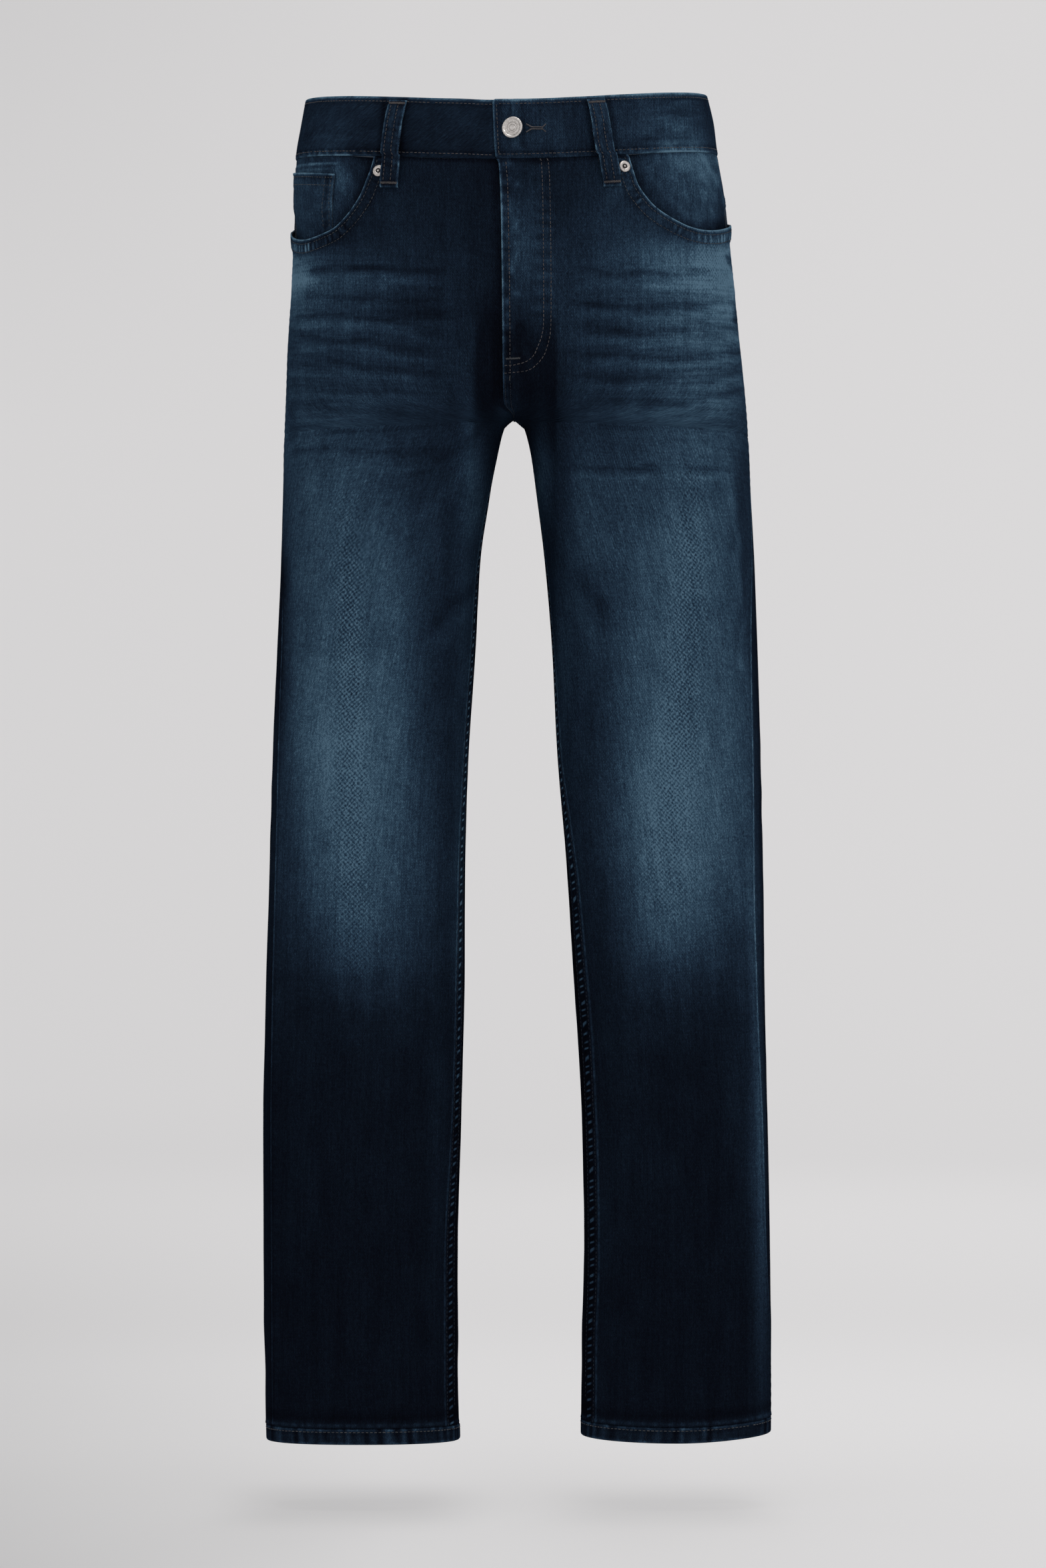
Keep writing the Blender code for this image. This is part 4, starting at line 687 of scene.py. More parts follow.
def front_relief(side, u, h, d0, d1, p):
    """Height, wear and darkness of a front panel; d0 and d1 are the distances to its two seams."""
    px, py = photo(p)
    out = swell(p) * smooth(d0 / 12) * smooth(d1 / 8) + front_folds(px, py) * smooth((d0 - 2) / 12) * smooth((d1 + 1) / 5)
    wear, dark = np.zeros(np.shape(u)), np.zeros(np.shape(u))
    # inseam: a felled band with puckers, and painted shade between it and the seam, where the cloth turns away
    leg, e = smooth((-254 - h) / 16), inseam_band(side, h, d0)
    rungs = ladder(h, d0, 6.4, 50 + side, -0.28)
    inside = window(e, 1.3, 7.0, 0.9) * leg
    out += leg * 0.6 * (1 - smooth((e - 6.9) / 1.2)) - leg * 0.18 * (bump(e - 1.3, 0.4) + bump(e - 6.6, 0.4))
    out += 0.2 * rungs * inside
    dark += leg * 0.6 * (1 - smooth((e + 0.6) / 1.2))
    # outseam: a worn ridge, with painted shade beside it
    pucker = ladder(h, d1, 7.0, 60 + side, 0.25)
    out += 0.35 * (1 - smooth((d1 - 1.5) / 1.3)) + 0.12 * pucker * (1 - smooth((d1 - 3) / 9))
    wear += (0.44 + 0.26 * noise(h / 7, 2.2, 61)) * bump(d1 - 1.0, 1.0) * (0.55 + 0.45 * smooth((h + 1000) / 500)) * (1 - 0.9 * (side < 0) * bump(py - 862, 42))
    wear += 0.10 * np.clip(pucker, 0, 1) * window(d1, 2, 12, 2.0) * smooth((-270 - h) / 60)
    dark += 0.22 * bump(d1 - 3.4, 1.3)
    # centre front
    top = smooth((h + 238) / 8)
    if side > 0:
        d_in, s_in, _, _ = along_line(d0, h, FLY_LINES["inner"])
        d_out, s_out, hand, _ = along_line(d0, h, FLY_LINES["outer"])
        flap = top * (1 - smooth((d_out * hand - 0.6) / 1.8))
        out += 0.5 * flap - 0.17 * (bump(d_in, 0.6) + bump(d_out, 0.6)) * smooth((h + 196) / 2)
        edge = ladder(h, d0, 11.0, 71, 0.2)
        between = bump(d_in - 3.0, 4.5) * smooth((h + 200) / 6)
        rungs = ladder(s_in, d_in, 12.0, 73, 0.0)
        out += 0.18 * edge * window(d0, 0.5, 7.0) * top + 0.14 * rungs * between
        wear += top * smooth((h + 232) / 60) * (0.95 + 0.3 * edge + 0.5 * noise(h / 7, 4.4, 75)) * bump(d0 - 0.3, 1.1) + 0.42 * np.clip(noise(d0 / 4, h / 6, 76), 0, 1) * window(d0, 1, 16, 3.0) * smooth((h + 172) / 12) + 0.16 * np.clip(edge, 0, 1) * window(d0, 1, 8) * top
        wear += 0.14 * np.clip(rungs, 0, 1) * between
        # painted shade and unworn dye in the puckers' hollows, and painted shade in the stitch groove
        dark += 0.35 * np.clip(-edge, 0, 1) * window(d0, 1.4, 7.5) * top + 0.22 * np.clip(-rungs, 0, 1) * between
        dark += 0.25 * bump(d0 - 5.9, 0.8) * top
    else:
        # painted shade on the right front beside the edge of the left front, which laps over it
        dark += top * 0.65 * (1 - smooth((d0 - 0.5) / 11))
    # pocket mouth: a turned and twice stitched edge
    dm, sm = below_mouth(side, u, h)
    rungs = ladder(sm, dm, 5.2, 80 + side, 0.15)
    hem = window(dm, 2.6, 11.6)
    out += 0.55 * (1 - smooth((dm - 11.6) / 1.8)) - 0.2 * (bump(dm - 3.7, 0.6) + bump(dm - 10.7, 0.6)) + 0.2 * rungs * hem
    out += 2.4 * bump(u - 0.90, 0.13) * (1 - smooth(dm / 20)) * smooth(d1 / 10)
    wear += 0.92 * bump(dm - 0.3, 0.8) * (0.8 + 0.7 * noise(sm / 2.4, 1.1, 82)) + 0.55 * np.clip(rungs * noise(sm / 9, 2.0, 83), 0, 1) * hem
    wear += (0.14 + 0.8 * smooth((u - 0.5) / 0.3)) * np.clip(1.25 * rungs - 0.15, 0, 1) * window(dm, 3.6, 10.8) + 0.1 * bump(dm - 12.6, 1.0)
    # painted shade and unworn dye in the puckers' hollows, painted shade in the stitch grooves and below the turned
    # band, and the turned band darker, most towards its ends
    dark += 0.55 * np.clip(-rungs, 0, 1) * hem + 0.38 * bump(dm - 3.4, 0.9) + 0.35 * bump(dm - 10.9, 0.9) + 0.3 * window(dm, 11.4, 15, 1.4)
    dark += 0.8 * window(dm, 1.6, 13.5, 1.6) * np.clip(0.3 + 0.9 * np.abs(u - 0.5), 0, 1)
    # where the waistband and the hem meet the panel, with painted shade just under the waistband's edge
    out -= 0.3 * (1 - smooth((-26 - h) / 1.5))
    dark += 0.5 * (1 - smooth((-27 - h) / 3.5))
    out += 0.4 * (1 - smooth((h + 1040) / 3.5))
    wear += (0.30 + 0.25 * noise(u * 60, 1.7, 83)) * bump(h + 1037.6, 1.5)
    dark += 0.30 * bump(h + 1030.5, 3.5)
    return out, wear, dark, np.where(leg > 0.2, np.clip(e / 12, 0, 1), 1.0)


def back_relief(side, u, h, d1, d2, p):
    """Height, wear and darkness of a back panel; d1 and d2 are the distances to outseam and inner seam."""
    out = swell(p) * smooth(d1 / 8) * smooth(d2 / 12) + back_folds(side, u, h) * smooth(d1 / 10) * smooth(d2 / 10)
    wear, dark = np.zeros(np.shape(u)), np.zeros(np.shape(u))
    out += 0.08 * ladder(h, d1, 9.0, 64 + side) * (1 - smooth((d1 - 2) / 8)) - 0.12 * (1 - smooth((d1 - 0.5) / 1.5))
    # painted shade in the outseam's crevice
    dark += 0.30 * bump(d1 - 0.6, 1.4)
    wear += 0.10 * bump(d1 - 9.5, 1.3)
    leg = smooth((-250 - h) / 16)
    out -= 0.25 * leg * (1 - smooth((d2 - 0.5) / 1.6))
    out += 0.10 * leg * ladder(h, d2, 7.6, 50 + side) * (1 - smooth((d2 - 1) / 6))
    # painted shade in the inseam's crevice, and a darker strip beside it
    dark += leg * (0.45 * bump(d2 - 0.8, 1.6) + 0.35 * (1 - smooth((d2 - 8) / 18)))
    seat = 1 - leg
    rungs = ladder(h, d2, 8.4, 90)
    if side > 0:    # the left side of the seat seam is felled over the right
        inside = window(d2, 0.9, 7.8) * seat
        out += seat * 0.6 * (1 - smooth((d2 - 6.8) / 1.8)) + 0.2 * rungs * inside
        out -= seat * 0.16 * (bump(d2 - 1.8, 0.55) + bump(d2 - 6.4, 0.55))
        wear += seat * 0.3 * bump(d2 - 0.6, 0.9) + 0.28 * np.clip(rungs, 0, 1) * inside
        # painted shade and unworn dye in the puckers' hollows
        dark += 0.35 * np.clip(-rungs, 0, 1) * inside
    else:
        # painted shade beside the seat seam, under the left side that laps over
        dark += seat * 0.35 * (1 - smooth((d2 - 0.4) / 2.5))
    out += 0.4 * (1 - smooth((h + 1040) / 3.5))
    wear += (0.30 + 0.25 * noise(u * 60, 1.7, 84)) * bump(h + 1037.6, 1.5)
    dark += 0.30 * bump(h + 1030.5, 3.5)
    return out, wear, dark

# ---------------------------------------------------------------- making meshes
MATERIALS = {}


def add_mesh(name, points, faces, materials, uv=None, tone=None, second=None, body="root"):
    """One mesh object in mm, with places for the weave in uv and its tones as a colour attribute."""
    mesh = bpy.data.meshes.new(name)
    mesh.from_pydata((np.asarray(points) * MM).tolist(), [], faces)
    mesh.shade_smooth()
    for key in materials:
        mesh.materials.append(MATERIALS[key])
    if second is not None:
        mesh.polygons.foreach_set("material_index", np.asarray(second, dtype=np.int32))
    corner = np.zeros(len(mesh.loops), dtype=np.int32)
    mesh.loops.foreach_get("vertex_index", corner)
    if uv is not None:
        mesh.uv_layers.new(name="weave").data.foreach_set("uv", (np.asarray(uv) * MM)[corner].astype(np.float32).ravel())
    if tone is not None:
        colour = np.clip(tone[:, :4] * (0.2, 1, 1, 1), 0, 1)
        for column, key in ((4, "seam"), (5, "lines")):
            mesh.attributes.new(key, "FLOAT", "POINT").data.foreach_set("value", tone[:, column].astype(np.float32))
        mesh.color_attributes.new("tone", "FLOAT_COLOR", "POINT").data.foreach_set("color", colour.astype(np.float32).ravel())
    mesh.update()
    obj = bpy.data.objects.new(name, mesh)
    bpy.context.scene.collection.objects.link(obj)
    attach(obj, body)
    return obj


def shell(name, point, normal, out, d, faces, wall, uv, tone, cloth=("denim", "inside")):
    """A cloth piece: an outer and an inner face, with edges that round into each other at d = 0."""
    edge = roll(d, 0.46 * wall)[:, None]
    outer = point + normal * (out[:, None] - edge)
    inner = point + normal * (out[:, None] - wall + edge)
    n = len(point)
    seen = {}
    for f in faces:
        for a, b in zip(f, f[1:] + f[:1]):
            if (b, a) in seen:
                del seen[(b, a)]
            else:
                seen[(a, b)] = True
    rim = [(b, a, a + n, b + n) for a, b in seen]
    under = [tuple(v + n for v in f[::-1]) for f in faces]
    second = [0] * len(faces) + [1] * len(under) + [0] * len(rim)
    obj = add_mesh(name + "_cloth", np.concatenate([outer, inner]), list(faces) + under + rim, cloth,
                   np.concatenate([uv, uv]), np.concatenate([tone, tone]), second)
    obj["wall"] = wall
    return obj


def resample(line, pitch, closed=False):
    line = np.array(line, float)
    if closed:
        line = np.concatenate([line, line[:1]])
    out = []
    for a, b in zip(line[:-1], line[1:]):
        count = max(1, int(round(float(np.hypot(*(b - a))) / pitch)))
        out.append(a + (b - a) * (np.arange(count) / count)[:, None])
    if not closed:
        out.append(line[-1:])
    return np.concatenate(out)


def nearest(points, line, chunk=2000):
    """Distance of flat points to a closed outline."""
    a, b = line, np.roll(line, -1, 0)
    d, size = b - a, ((b - a) ** 2).sum(1)
    out = np.empty(len(points))
    for k in range(0, len(points), chunk):
        p = points[k:k + chunk, None]
        t = np.clip(((p - a) * d).sum(-1) / size, 0, 1)
        out[k:k + chunk] = np.sqrt((((p - a) - t[..., None] * d) ** 2).sum(-1).min(1))
    return out


def within(points, ring):
    """Whether flat points lie inside a closed outline."""
    inside = np.zeros(len(points), bool)
    for (x0, y0), (x1, y1) in zip(ring, np.roll(ring, -1, 0)):
        if y0 == y1:
            continue
        span = (y0 > points[:, 1]) != (y1 > points[:, 1])
        inside ^= span & (points[:, 0] < (x1 - x0) * (points[:, 1] - y0) / (y1 - y0) + x0)
    return inside


EDGE_STEPS = (0.09, 0.26, 0.62)
DETAIL_STEPS = (1.3, 2.1, 3.1, 4.3, 5.5, 6.6, 7.5, 8.6)


def lattice(low, high, spacing):
    x, y = np.arange(low[0] + 0.37, high[0], spacing), np.arange(low[1] + 0.41, high[1], spacing)
    gx, gy = np.meshgrid(x, y)
    gx = gx + 0.5 * spacing * (np.arange(len(y)) % 2)[:, None]
    return np.stack([gx.ravel(), gy.ravel()], 1)


def cut(outline, pitch=2.0, steps=DETAIL_STEPS, spacing=3.2, extra=(), fine=None):
    """Triangles inside an outline in flat (arc, h), with rows of points that follow its edge."""
    ring = resample(outline, pitch, True)
    ahead, behind = np.roll(ring, -1, 0), np.roll(ring, 1, 0)
    along = ahead - behind
    along /= np.hypot(*along.T)[:, None]
    area = 0.5 * float((ring[:, 0] * ahead[:, 1] - ahead[:, 0] * ring[:, 1]).sum())
    inward = np.stack([-along[:, 1], along[:, 0]], 1) * np.sign(area)
    parts, depth = [ring], [np.zeros(len(ring))]
    for k, step in enumerate(EDGE_STEPS + tuple(steps)):
        row = ring + inward * step
        keep = within(row, ring)
        gap = nearest(row[keep], ring)
        row = row[keep][gap > 0.985 * step]
        parts.append(row)
        depth.append(np.full(len(row), step))
    last = (EDGE_STEPS + tuple(steps))[-1]
    for line, offsets in extra:
        line = resample(line, pitch)
        along = np.gradient(line, axis=0)
        side = np.stack([-along[:, 1], along[:, 0]], 1) / np.hypot(*along.T)[:, None]
        for offset in offsets:
            row = line + side * offset
            row = row[within(row, ring)]
            row = row[nearest(row, ring) > last + 0.5]
            parts.append(row)
            depth.append(np.full(len(row), 99.0))
    lines = np.concatenate(parts[len(EDGE_STEPS) + len(steps) + 1:]) if len(extra) else np.zeros((0, 2))
    lo, hi = ring.min(0), ring.max(0)
    field = lattice(lo, hi, spacing)
    if fine:        # a height range with closer points
        field = field[(field[:, 1] < fine[0]) | (field[:, 1] > fine[1])]
        field = np.concatenate([field, lattice((lo[0], fine[0]), (hi[0], fine[1]), fine[2])])
    field = field[within(field, ring)]
    field = field[nearest(field, ring) > last + 0.5 * spacing]
    if len(lines):
        cell = {(int(px // 1.6), int(py // 1.6)) for px, py in lines}
        near = np.array([any((int(px // 1.6) + i, int(py // 1.6) + j) in cell for i in (-1, 0, 1) for j in (-1, 0, 1)) for px, py in field])
        field = field[~near]
    parts.append(field)
    depth.append(np.full(len(field), 99.0))
    points, depth = np.concatenate(parts), np.concatenate(depth)
    count = len(ring)
    edges = [(k, (k + 1) % count) for k in range(count)]
    verts, _, faces, source, _, _ = delaunay_2d_cdt([Vector(p) for p in points], edges, [], 0, 1e-4, True)
    flat = np.array([tuple(v) for v in verts])
    d = np.array([depth[s[0]] if s else 0.0 for s in source])
    faces = np.array([tuple(f) for f in faces])
    faces = faces[within(flat[faces].mean(1), ring)]
    return flat, d, [tuple(int(v) for v in f) for f in faces]


def facing_out(faces, point, normal):
    """Turn faces, all of them or none, so that they look along the cloth's normals."""
    f = np.array([g[:3] for g in faces])
    n = np.cross(point[f[:, 1]] - point[f[:, 0]], point[f[:, 2]] - point[f[:, 0]])
    return [g[::-1] for g in faces] if (n * normal[f].sum(1)).sum() < 0 else faces


def panel(name, side, outline, face, wall, **how):
    """A piece cut from the form: outline in (arc, h) and a function that gives its surface."""
    flat, d, faces = cut(outline, **how)
    point, normal, out, tone = face(side, flat[:, 0], flat[:, 1])
    return shell(name, point, normal, out, d, facing_out(faces, point, normal), wall, flat * (side, 1), tone)


def strip(name, side, arc, h, face, wall, d, uv=None, closed=False):
    """A piece laid out as a grid: rows down, columns along; side, arc, h and d are arrays of that shape."""
    rows, cols = arc.shape
    point, normal, out, tone = face(side.ravel(), arc.ravel(), h.ravel())
    faces = []
    for r in range(rows - 1):
        for c in range(cols - (0 if closed else 1)):
            n = (c + 1) % cols
            faces.append((r * cols + c, (r + 1) * cols + c, (r + 1) * cols + n, r * cols + n))
    uv = np.stack([side.ravel() * arc.ravel(), h.ravel()], 1) if uv is None else uv
    return shell(name, point, normal, out, d.ravel(), facing_out(faces, point, normal), wall, uv, tone)

# ---------------------------------------------------------------- materials
DENIM_SHADES = (    # tone, then the cloth's colour at that tone
    (-1.0, (0.0024, 0.0029, 0.0051)), (0.0, (0.0040, 0.0057, 0.0106)), (1.0, (0.0068, 0.0120, 0.0219)),
    (2.0, (0.0126, 0.0245, 0.0450)), (3.0, (0.0242, 0.0503, 0.0862)), (4.0, (0.0490, 0.1010, 0.1560)),
    (5.0, (0.1080, 0.1980, 0.2780)),
)


class Nodes:
    """A short way to write a material's nodes: n("ShaderNodeMath", operation=..., _in={0: ...})."""

    def __init__(self, name):
        self.material = bpy.data.materials.new(name)
        self.material.use_nodes = True
        self.tree = self.material.node_tree
        self.shader = self.tree.nodes["Principled BSDF"]

    def __call__(self, kind, _in=None, **settings):
        node = self.tree.nodes.new(kind)
        for key, value in settings.items():
            setattr(node, key, value)
        for key, value in (_in or {}).items():
            self.put(value, node.inputs[key])
        return node

    def put(self, value, socket):
        if isinstance(value, bpy.types.NodeSocket):
            self.tree.links.new(value, socket)
        else:
            socket.default_value = value

    def math(self, operation, a, b=0.0, c=0.0):
        return self("ShaderNodeMath", {0: a, 1: b, 2: c}, operation=operation).outputs[0]

    def noise(self, vector, scale, detail=1.0, rough=0.5):
        """Noise around zero, in about -1..1, of a place given in mm and stretched by scale."""
        place = self("ShaderNodeVectorMath", {0: vector, 1: scale}, operation="MULTIPLY").outputs[0]
        made = self("ShaderNodeTexNoise", {"Vector": place, "Scale": 1.0, "Detail": detail, "Roughness": rough}, noise_dimensions="2D")
        return self.math("MULTIPLY_ADD", made.outputs[0], 2.0, -1.0)

    def finish(self, rough, specular=0.04, metal=0.0):
        self.shader.inputs["Roughness"].default_value = rough
        self.shader.inputs["Specular IOR Level"].default_value = specular
        self.shader.inputs["Metallic"].default_value = metal
        return self.material


def denim():
    n = Nodes("denim")
    uv = n("ShaderNodeUVMap", uv_map="weave").outputs[0]
    mm = n("ShaderNodeVectorMath", {0: uv, "Scale": 1000.0}, operation="SCALE").outputs[0]
    split = n("ShaderNodeSeparateXYZ", {0: mm})
    x, y = split.outputs[0], split.outputs[1]
    given = n("ShaderNodeAttribute", attribute_name="tone")
    tone, crisp = n("ShaderNodeSeparateColor", {0: given.outputs[0]}), given.outputs[3]
    t, wear, dark = (tone.outputs[k] for k in range(3))
    t = n.math("MULTIPLY", t, 5.0)
    # the twill: ridges that climb to the right, a little uneven, broken along each ridge
    across = n.math("MULTIPLY_ADD", x, -0.866, n.math("MULTIPLY", y, 0.5))
    along = n.math("MULTIPLY_ADD", x, 0.5, n.math("MULTIPLY", y, 0.866))
    waver = n.noise(mm, (0.30, 0.12, 0.0), 2.0)
    phase = n.math("MULTIPLY_ADD", across, 2 * math.pi / 1.15, n.math("MULTIPLY", waver, 1.5))
    twill = n.math("SINE", phase)
    lay = n("ShaderNodeCombineXYZ", {0: across, 1: along}).outputs[0]
    speck = n.noise(lay, (1.25, 0.55, 0.0), 2.0, 0.6)
    core = n("ShaderNodeMapRange", {0: n.noise(mm, (1.5, 0.42, 0.0), 2.0, 0.6), 1: 0.10, 2: 0.55, 3: -0.25, 4: 1.0}).outputs[0]
    grain = n.noise(mm, (0.55, 0.19, 0.0), 2.0, 0.7)
    slub = n.noise(mm, (0.95, 0.05, 0.0), 2.0, 0.6)
    streak = n.noise(mm, (0.28, 0.011, 0.0), 2.0)
    weft = n.noise(mm, (0.07, 1.25, 0.0), 2.0)
    cloud = n.noise(mm, (0.062, 0.045, 0.0), 3.0, 0.55)
    # contrast grows with the fade: raw cloth is even, worn cloth shows its white cores
    faded = n("ShaderNodeMapRange", {0: t, 1: 0.0, 2: 3.0, 3: 0.6, 4: 1.1}).outputs[0]
    texture = n.math("MULTIPLY", twill, 0.40)
    # worn places show the weave as fine crossing rows, and the hips long level streaks
    sways = [n.math("MULTIPLY", n.noise(mm, (*scale, 0.0), 1.0), 3.0) for scale in ((0.21, 0.15), (-0.17, 0.19))]
    rise = n.math("SINE", n.math("MULTIPLY_ADD", n.math("MULTIPLY_ADD", x, 0.72, n.math("MULTIPLY", y, 0.69)), 2 * math.pi / 2.7, sways[0]))
    fall = n.math("SINE", n.math("MULTIPLY_ADD", n.math("MULTIPLY_ADD", x, -0.72, n.math("MULTIPLY", y, 0.69)), 2 * math.pi / 2.7, sways[1]))
    fleck = n.noise(mm, (0.62, 0.55, 0.0), 1.0)
    knots = n.math("MULTIPLY_ADD", n.math("ADD", rise, fall), 0.62, n.math("MULTIPLY", fleck, 1.05))
    texture = n.math("MULTIPLY_ADD", knots, crisp, texture)
    level_lines = n.math("ADD", n.math("MULTIPLY", n.noise(mm, (0.016, 0.27, 0.0), 2.0, 0.6), 1.35), n.math("MULTIPLY", n.noise(mm, (0.035, 0.75, 0.0), 1.0), 0.55))
    texture = n.math("MULTIPLY_ADD", level_lines, n("ShaderNodeAttribute", attribute_name="lines").outputs[2], texture)
    for value, amount in ((speck, 1.2), (core, 0.8), (grain, 0.85), (slub, 0.62), (streak, 0.34), (weft, 0.34), (cloud, 0.34)):
        texture = n.math("MULTIPLY_ADD", value, amount, texture)
    level = n.math("MULTIPLY_ADD", texture, faded, t)
    worn = n.math("MULTIPLY", wear, n.math("MULTIPLY_ADD", speck, 1.2, 3.8))
    level = n.math("ADD", level, worn)
    # darkness: painted shade, with some unworn dye, darkens the cloth
    level = n.math("MULTIPLY_ADD", dark, -1.8, level)
    # the felled inseam: 0 to 8 over its band; puckers between its rows catch the light as short bright rungs, painted
    # highlights on a darker band, with a lighter line at its far edge and painted shade at the edge by the seam
    e = n.math("MULTIPLY", n("ShaderNodeAttribute", attribute_name="seam").outputs[2], 12.0)
    slow, quick = n.noise(mm, (0.0, 0.055, 0.0), 1.0), n.noise(mm, (0.0, 0.16, 0.0), 1.0)
    turn = n.math("MULTIPLY_ADD", slow, 4.4, n.math("MULTIPLY", n.math("MULTIPLY_ADD", x, -0.28, y), 2 * math.pi / 6.4))
    rung = n.math("MULTIPLY", n.math("COSINE", turn), n.math("MULTIPLY_ADD", quick, 0.7, 0.9))
    lit = n("ShaderNodeMapRange", {0: rung, 1: 0.15, 2: 0.85, 3: 0.0, 4: 1.0}, interpolation_type="SMOOTHSTEP").outputs[0]
    hill = lambda middle, half: n("ShaderNodeMapRange", {0: n.math("ABSOLUTE", n.math("SUBTRACT", e, middle)), 1: half, 2: 0.3 * half, 3: 0.0, 4: 1.0}, interpolation_type="SMOOTHSTEP").outputs[0]
    level = n.math("MULTIPLY_ADD", hill(4.1, 3.6), -1.15, level)
    level = n.math("MULTIPLY_ADD", n.math("MULTIPLY", lit, hill(4.2, 2.1)), 3.9, level)
    level = n.math("MULTIPLY_ADD", hill(7.8, 0.7), n.math("MULTIPLY_ADD", quick, 1.2, 1.15), level)
    level = n.math("MULTIPLY_ADD", hill(0.3, 1.3), -1.2, level)
    ramp = n("ShaderNodeValToRGB", {0: n.math("MULTIPLY_ADD", level, 1 / 6, 1 / 6)})
    stops = ramp.color_ramp.elements
    while len(stops) < len(DENIM_SHADES):
        stops.new(0.5)
    for stop, (at, colour) in zip(stops, DENIM_SHADES):
        stop.position, stop.color = (at + 1) / 6, (*colour, 1.0)
    n.put(ramp.outputs[0], n.shader.inputs["Base Color"])
    height = n.math("MULTIPLY_ADD", speck, 0.5, n.math("MULTIPLY", twill, 0.5))
    bump_node = n("ShaderNodeBump", {"Height": height, "Distance": 0.00012, "Strength": 0.5})
    n.put(bump_node.outputs[0], n.shader.inputs["Normal"])
    return n.finish(0.9, 0.0)


def inside_cloth():
    """The paler weft side of the denim."""
    n = Nodes("denim_inside")
    uv = n("ShaderNodeUVMap", uv_map="weave").outputs[0]
    mm = n("ShaderNodeVectorMath", {0: uv, "Scale": 1000.0}, operation="SCALE").outputs[0]
    speck = n.noise(mm, (0.9, 0.7, 0.0), 2.0)
    streak = n.noise(mm, (0.04, 0.6, 0.0), 2.0)
    fac = n.math("MULTIPLY_ADD", speck, 0.35, n.math("MULTIPLY_ADD", streak, 0.25, 0.5))
    mix = n("ShaderNodeMix", {0: fac, 6: (0.075, 0.100, 0.135, 1), 7: (0.17, 0.20, 0.24, 1)}, data_type="RGBA")
    n.put(mix.outputs[2], n.shader.inputs["Base Color"])
    return n.finish(0.92)


def thread(name, light, deep):
    n = Nodes(name)
    place = n("ShaderNodeTexCoord").outputs[3]
    mm = n("ShaderNodeVectorMath", {0: place, "Scale": 1000.0}, operation="SCALE").outputs[0]
    patch = n("ShaderNodeTexNoise", {"Vector": mm, "Scale": 0.11, "Detail": 3.0}).outputs[0]
    fine = n("ShaderNodeTexNoise", {"Vector": mm, "Scale": 1.3, "Detail": 1.0}).outputs[0]
    fac = n.math("ADD", n.math("MULTIPLY", patch, 1.1), n.math("MULTIPLY_ADD", fine, 0.8, -0.45))
    mix = n("ShaderNodeMix", {0: fac, 6: (*deep, 1), 7: (*light, 1)}, data_type="RGBA")
    mix.clamp_factor = True
    n.put(mix.outputs[2], n.shader.inputs["Base Color"])
    return n.finish(0.85, 0.1)


def metal(name, light, deep, rough):
    n = Nodes(name)
    place = n("ShaderNodeTexCoord").outputs[3]
    mm = n("ShaderNodeVectorMath", {0: place, "Scale": 1000.0}, operation="SCALE").outputs[0]
    patch = n("ShaderNodeTexNoise", {"Vector": mm, "Scale": 0.55, "Detail": 4.0, "Roughness": 0.65}).outputs[0]
    fac = n("ShaderNodeMapRange", {0: patch, 1: 0.35, 2: 0.65}).outputs[0]
    mix = n("ShaderNodeMix", {0: fac, 6: (*deep, 1), 7: (*light, 1)}, data_type="RGBA")
    n.put(mix.outputs[2], n.shader.inputs["Base Color"])
    bumps = n("ShaderNodeBump", {"Height": patch, "Distance": 0.00018, "Strength": 0.35})
    n.put(bumps.outputs[0], n.shader.inputs["Normal"])
    return n.finish(rough, 0.5, 1.0)


MATERIALS.update(
    denim=denim(), inside=inside_cloth(),
    thread=thread("thread_grey_brown", (0.150, 0.134, 0.130), (0.024, 0.027, 0.036)),
    leg_thread=thread("thread_dark", (0.045, 0.055, 0.072), (0.010, 0.014, 0.022)),
    mouth_thread=thread("thread_faded", (0.120, 0.125, 0.130), (0.016, 0.020, 0.028)),
    purl=thread("thread_buttonhole", (0.125, 0.118, 0.122), (0.040, 0.042, 0.052)),
    dark_thread=thread("thread_loose", (0.022, 0.022, 0.028), (0.010, 0.010, 0.014)),
    button=metal("button_metal", (0.82, 0.79, 0.76), (0.56, 0.53, 0.50), 0.38),
    rivet=metal("rivet_metal", (0.80, 0.76, 0.73), (0.48, 0.44, 0.41), 0.36),
    recess=metal("button_recess", (0.42, 0.39, 0.37), (0.22, 0.20, 0.19), 0.45),
    # the rivets' hollow centres are painted nearly black: painted shade for the depth of the hollow
    hollow=metal("rivet_hollow", (0.07, 0.06, 0.06), (0.03, 0.03, 0.03), 0.5),
)

# ---------------------------------------------------------------- the surface of each piece
def start_of(side, h):
    return FORM.arcs(side, 0 * h, h)


def middle_of(side, h):
    return FORM.arcs(side, 0 * h + 1, h)


def end_of(side, h):
    return FORM.arcs(side, 0 * h + 2, h)


def u_of(side, arc, h):
    """The seam coordinate of a place in (arc, h)."""
    a, m, e = start_of(side, h), middle_of(side, h), end_of(side, h)
    return np.where(arc < m, (arc - a) / (m - a), 1 + (arc - m) / (e - m))


def tones(t, wear, dark, crisp=0.0, seam=1.0, lines=0.0):
    """A place's tone, wear, darkness (painted shade, with some unworn dye), how coarse its weave shows, where it lies
    over a felled seam and its level streaks.
    """
    crisp, seam, lines = (np.broadcast_to(v, np.shape(t)) for v in (crisp, seam, lines))
    return np.stack([np.clip(t, 0, 5), np.clip(wear, 0, 1), np.clip(dark, 0, 1), crisp, seam, lines], 1)


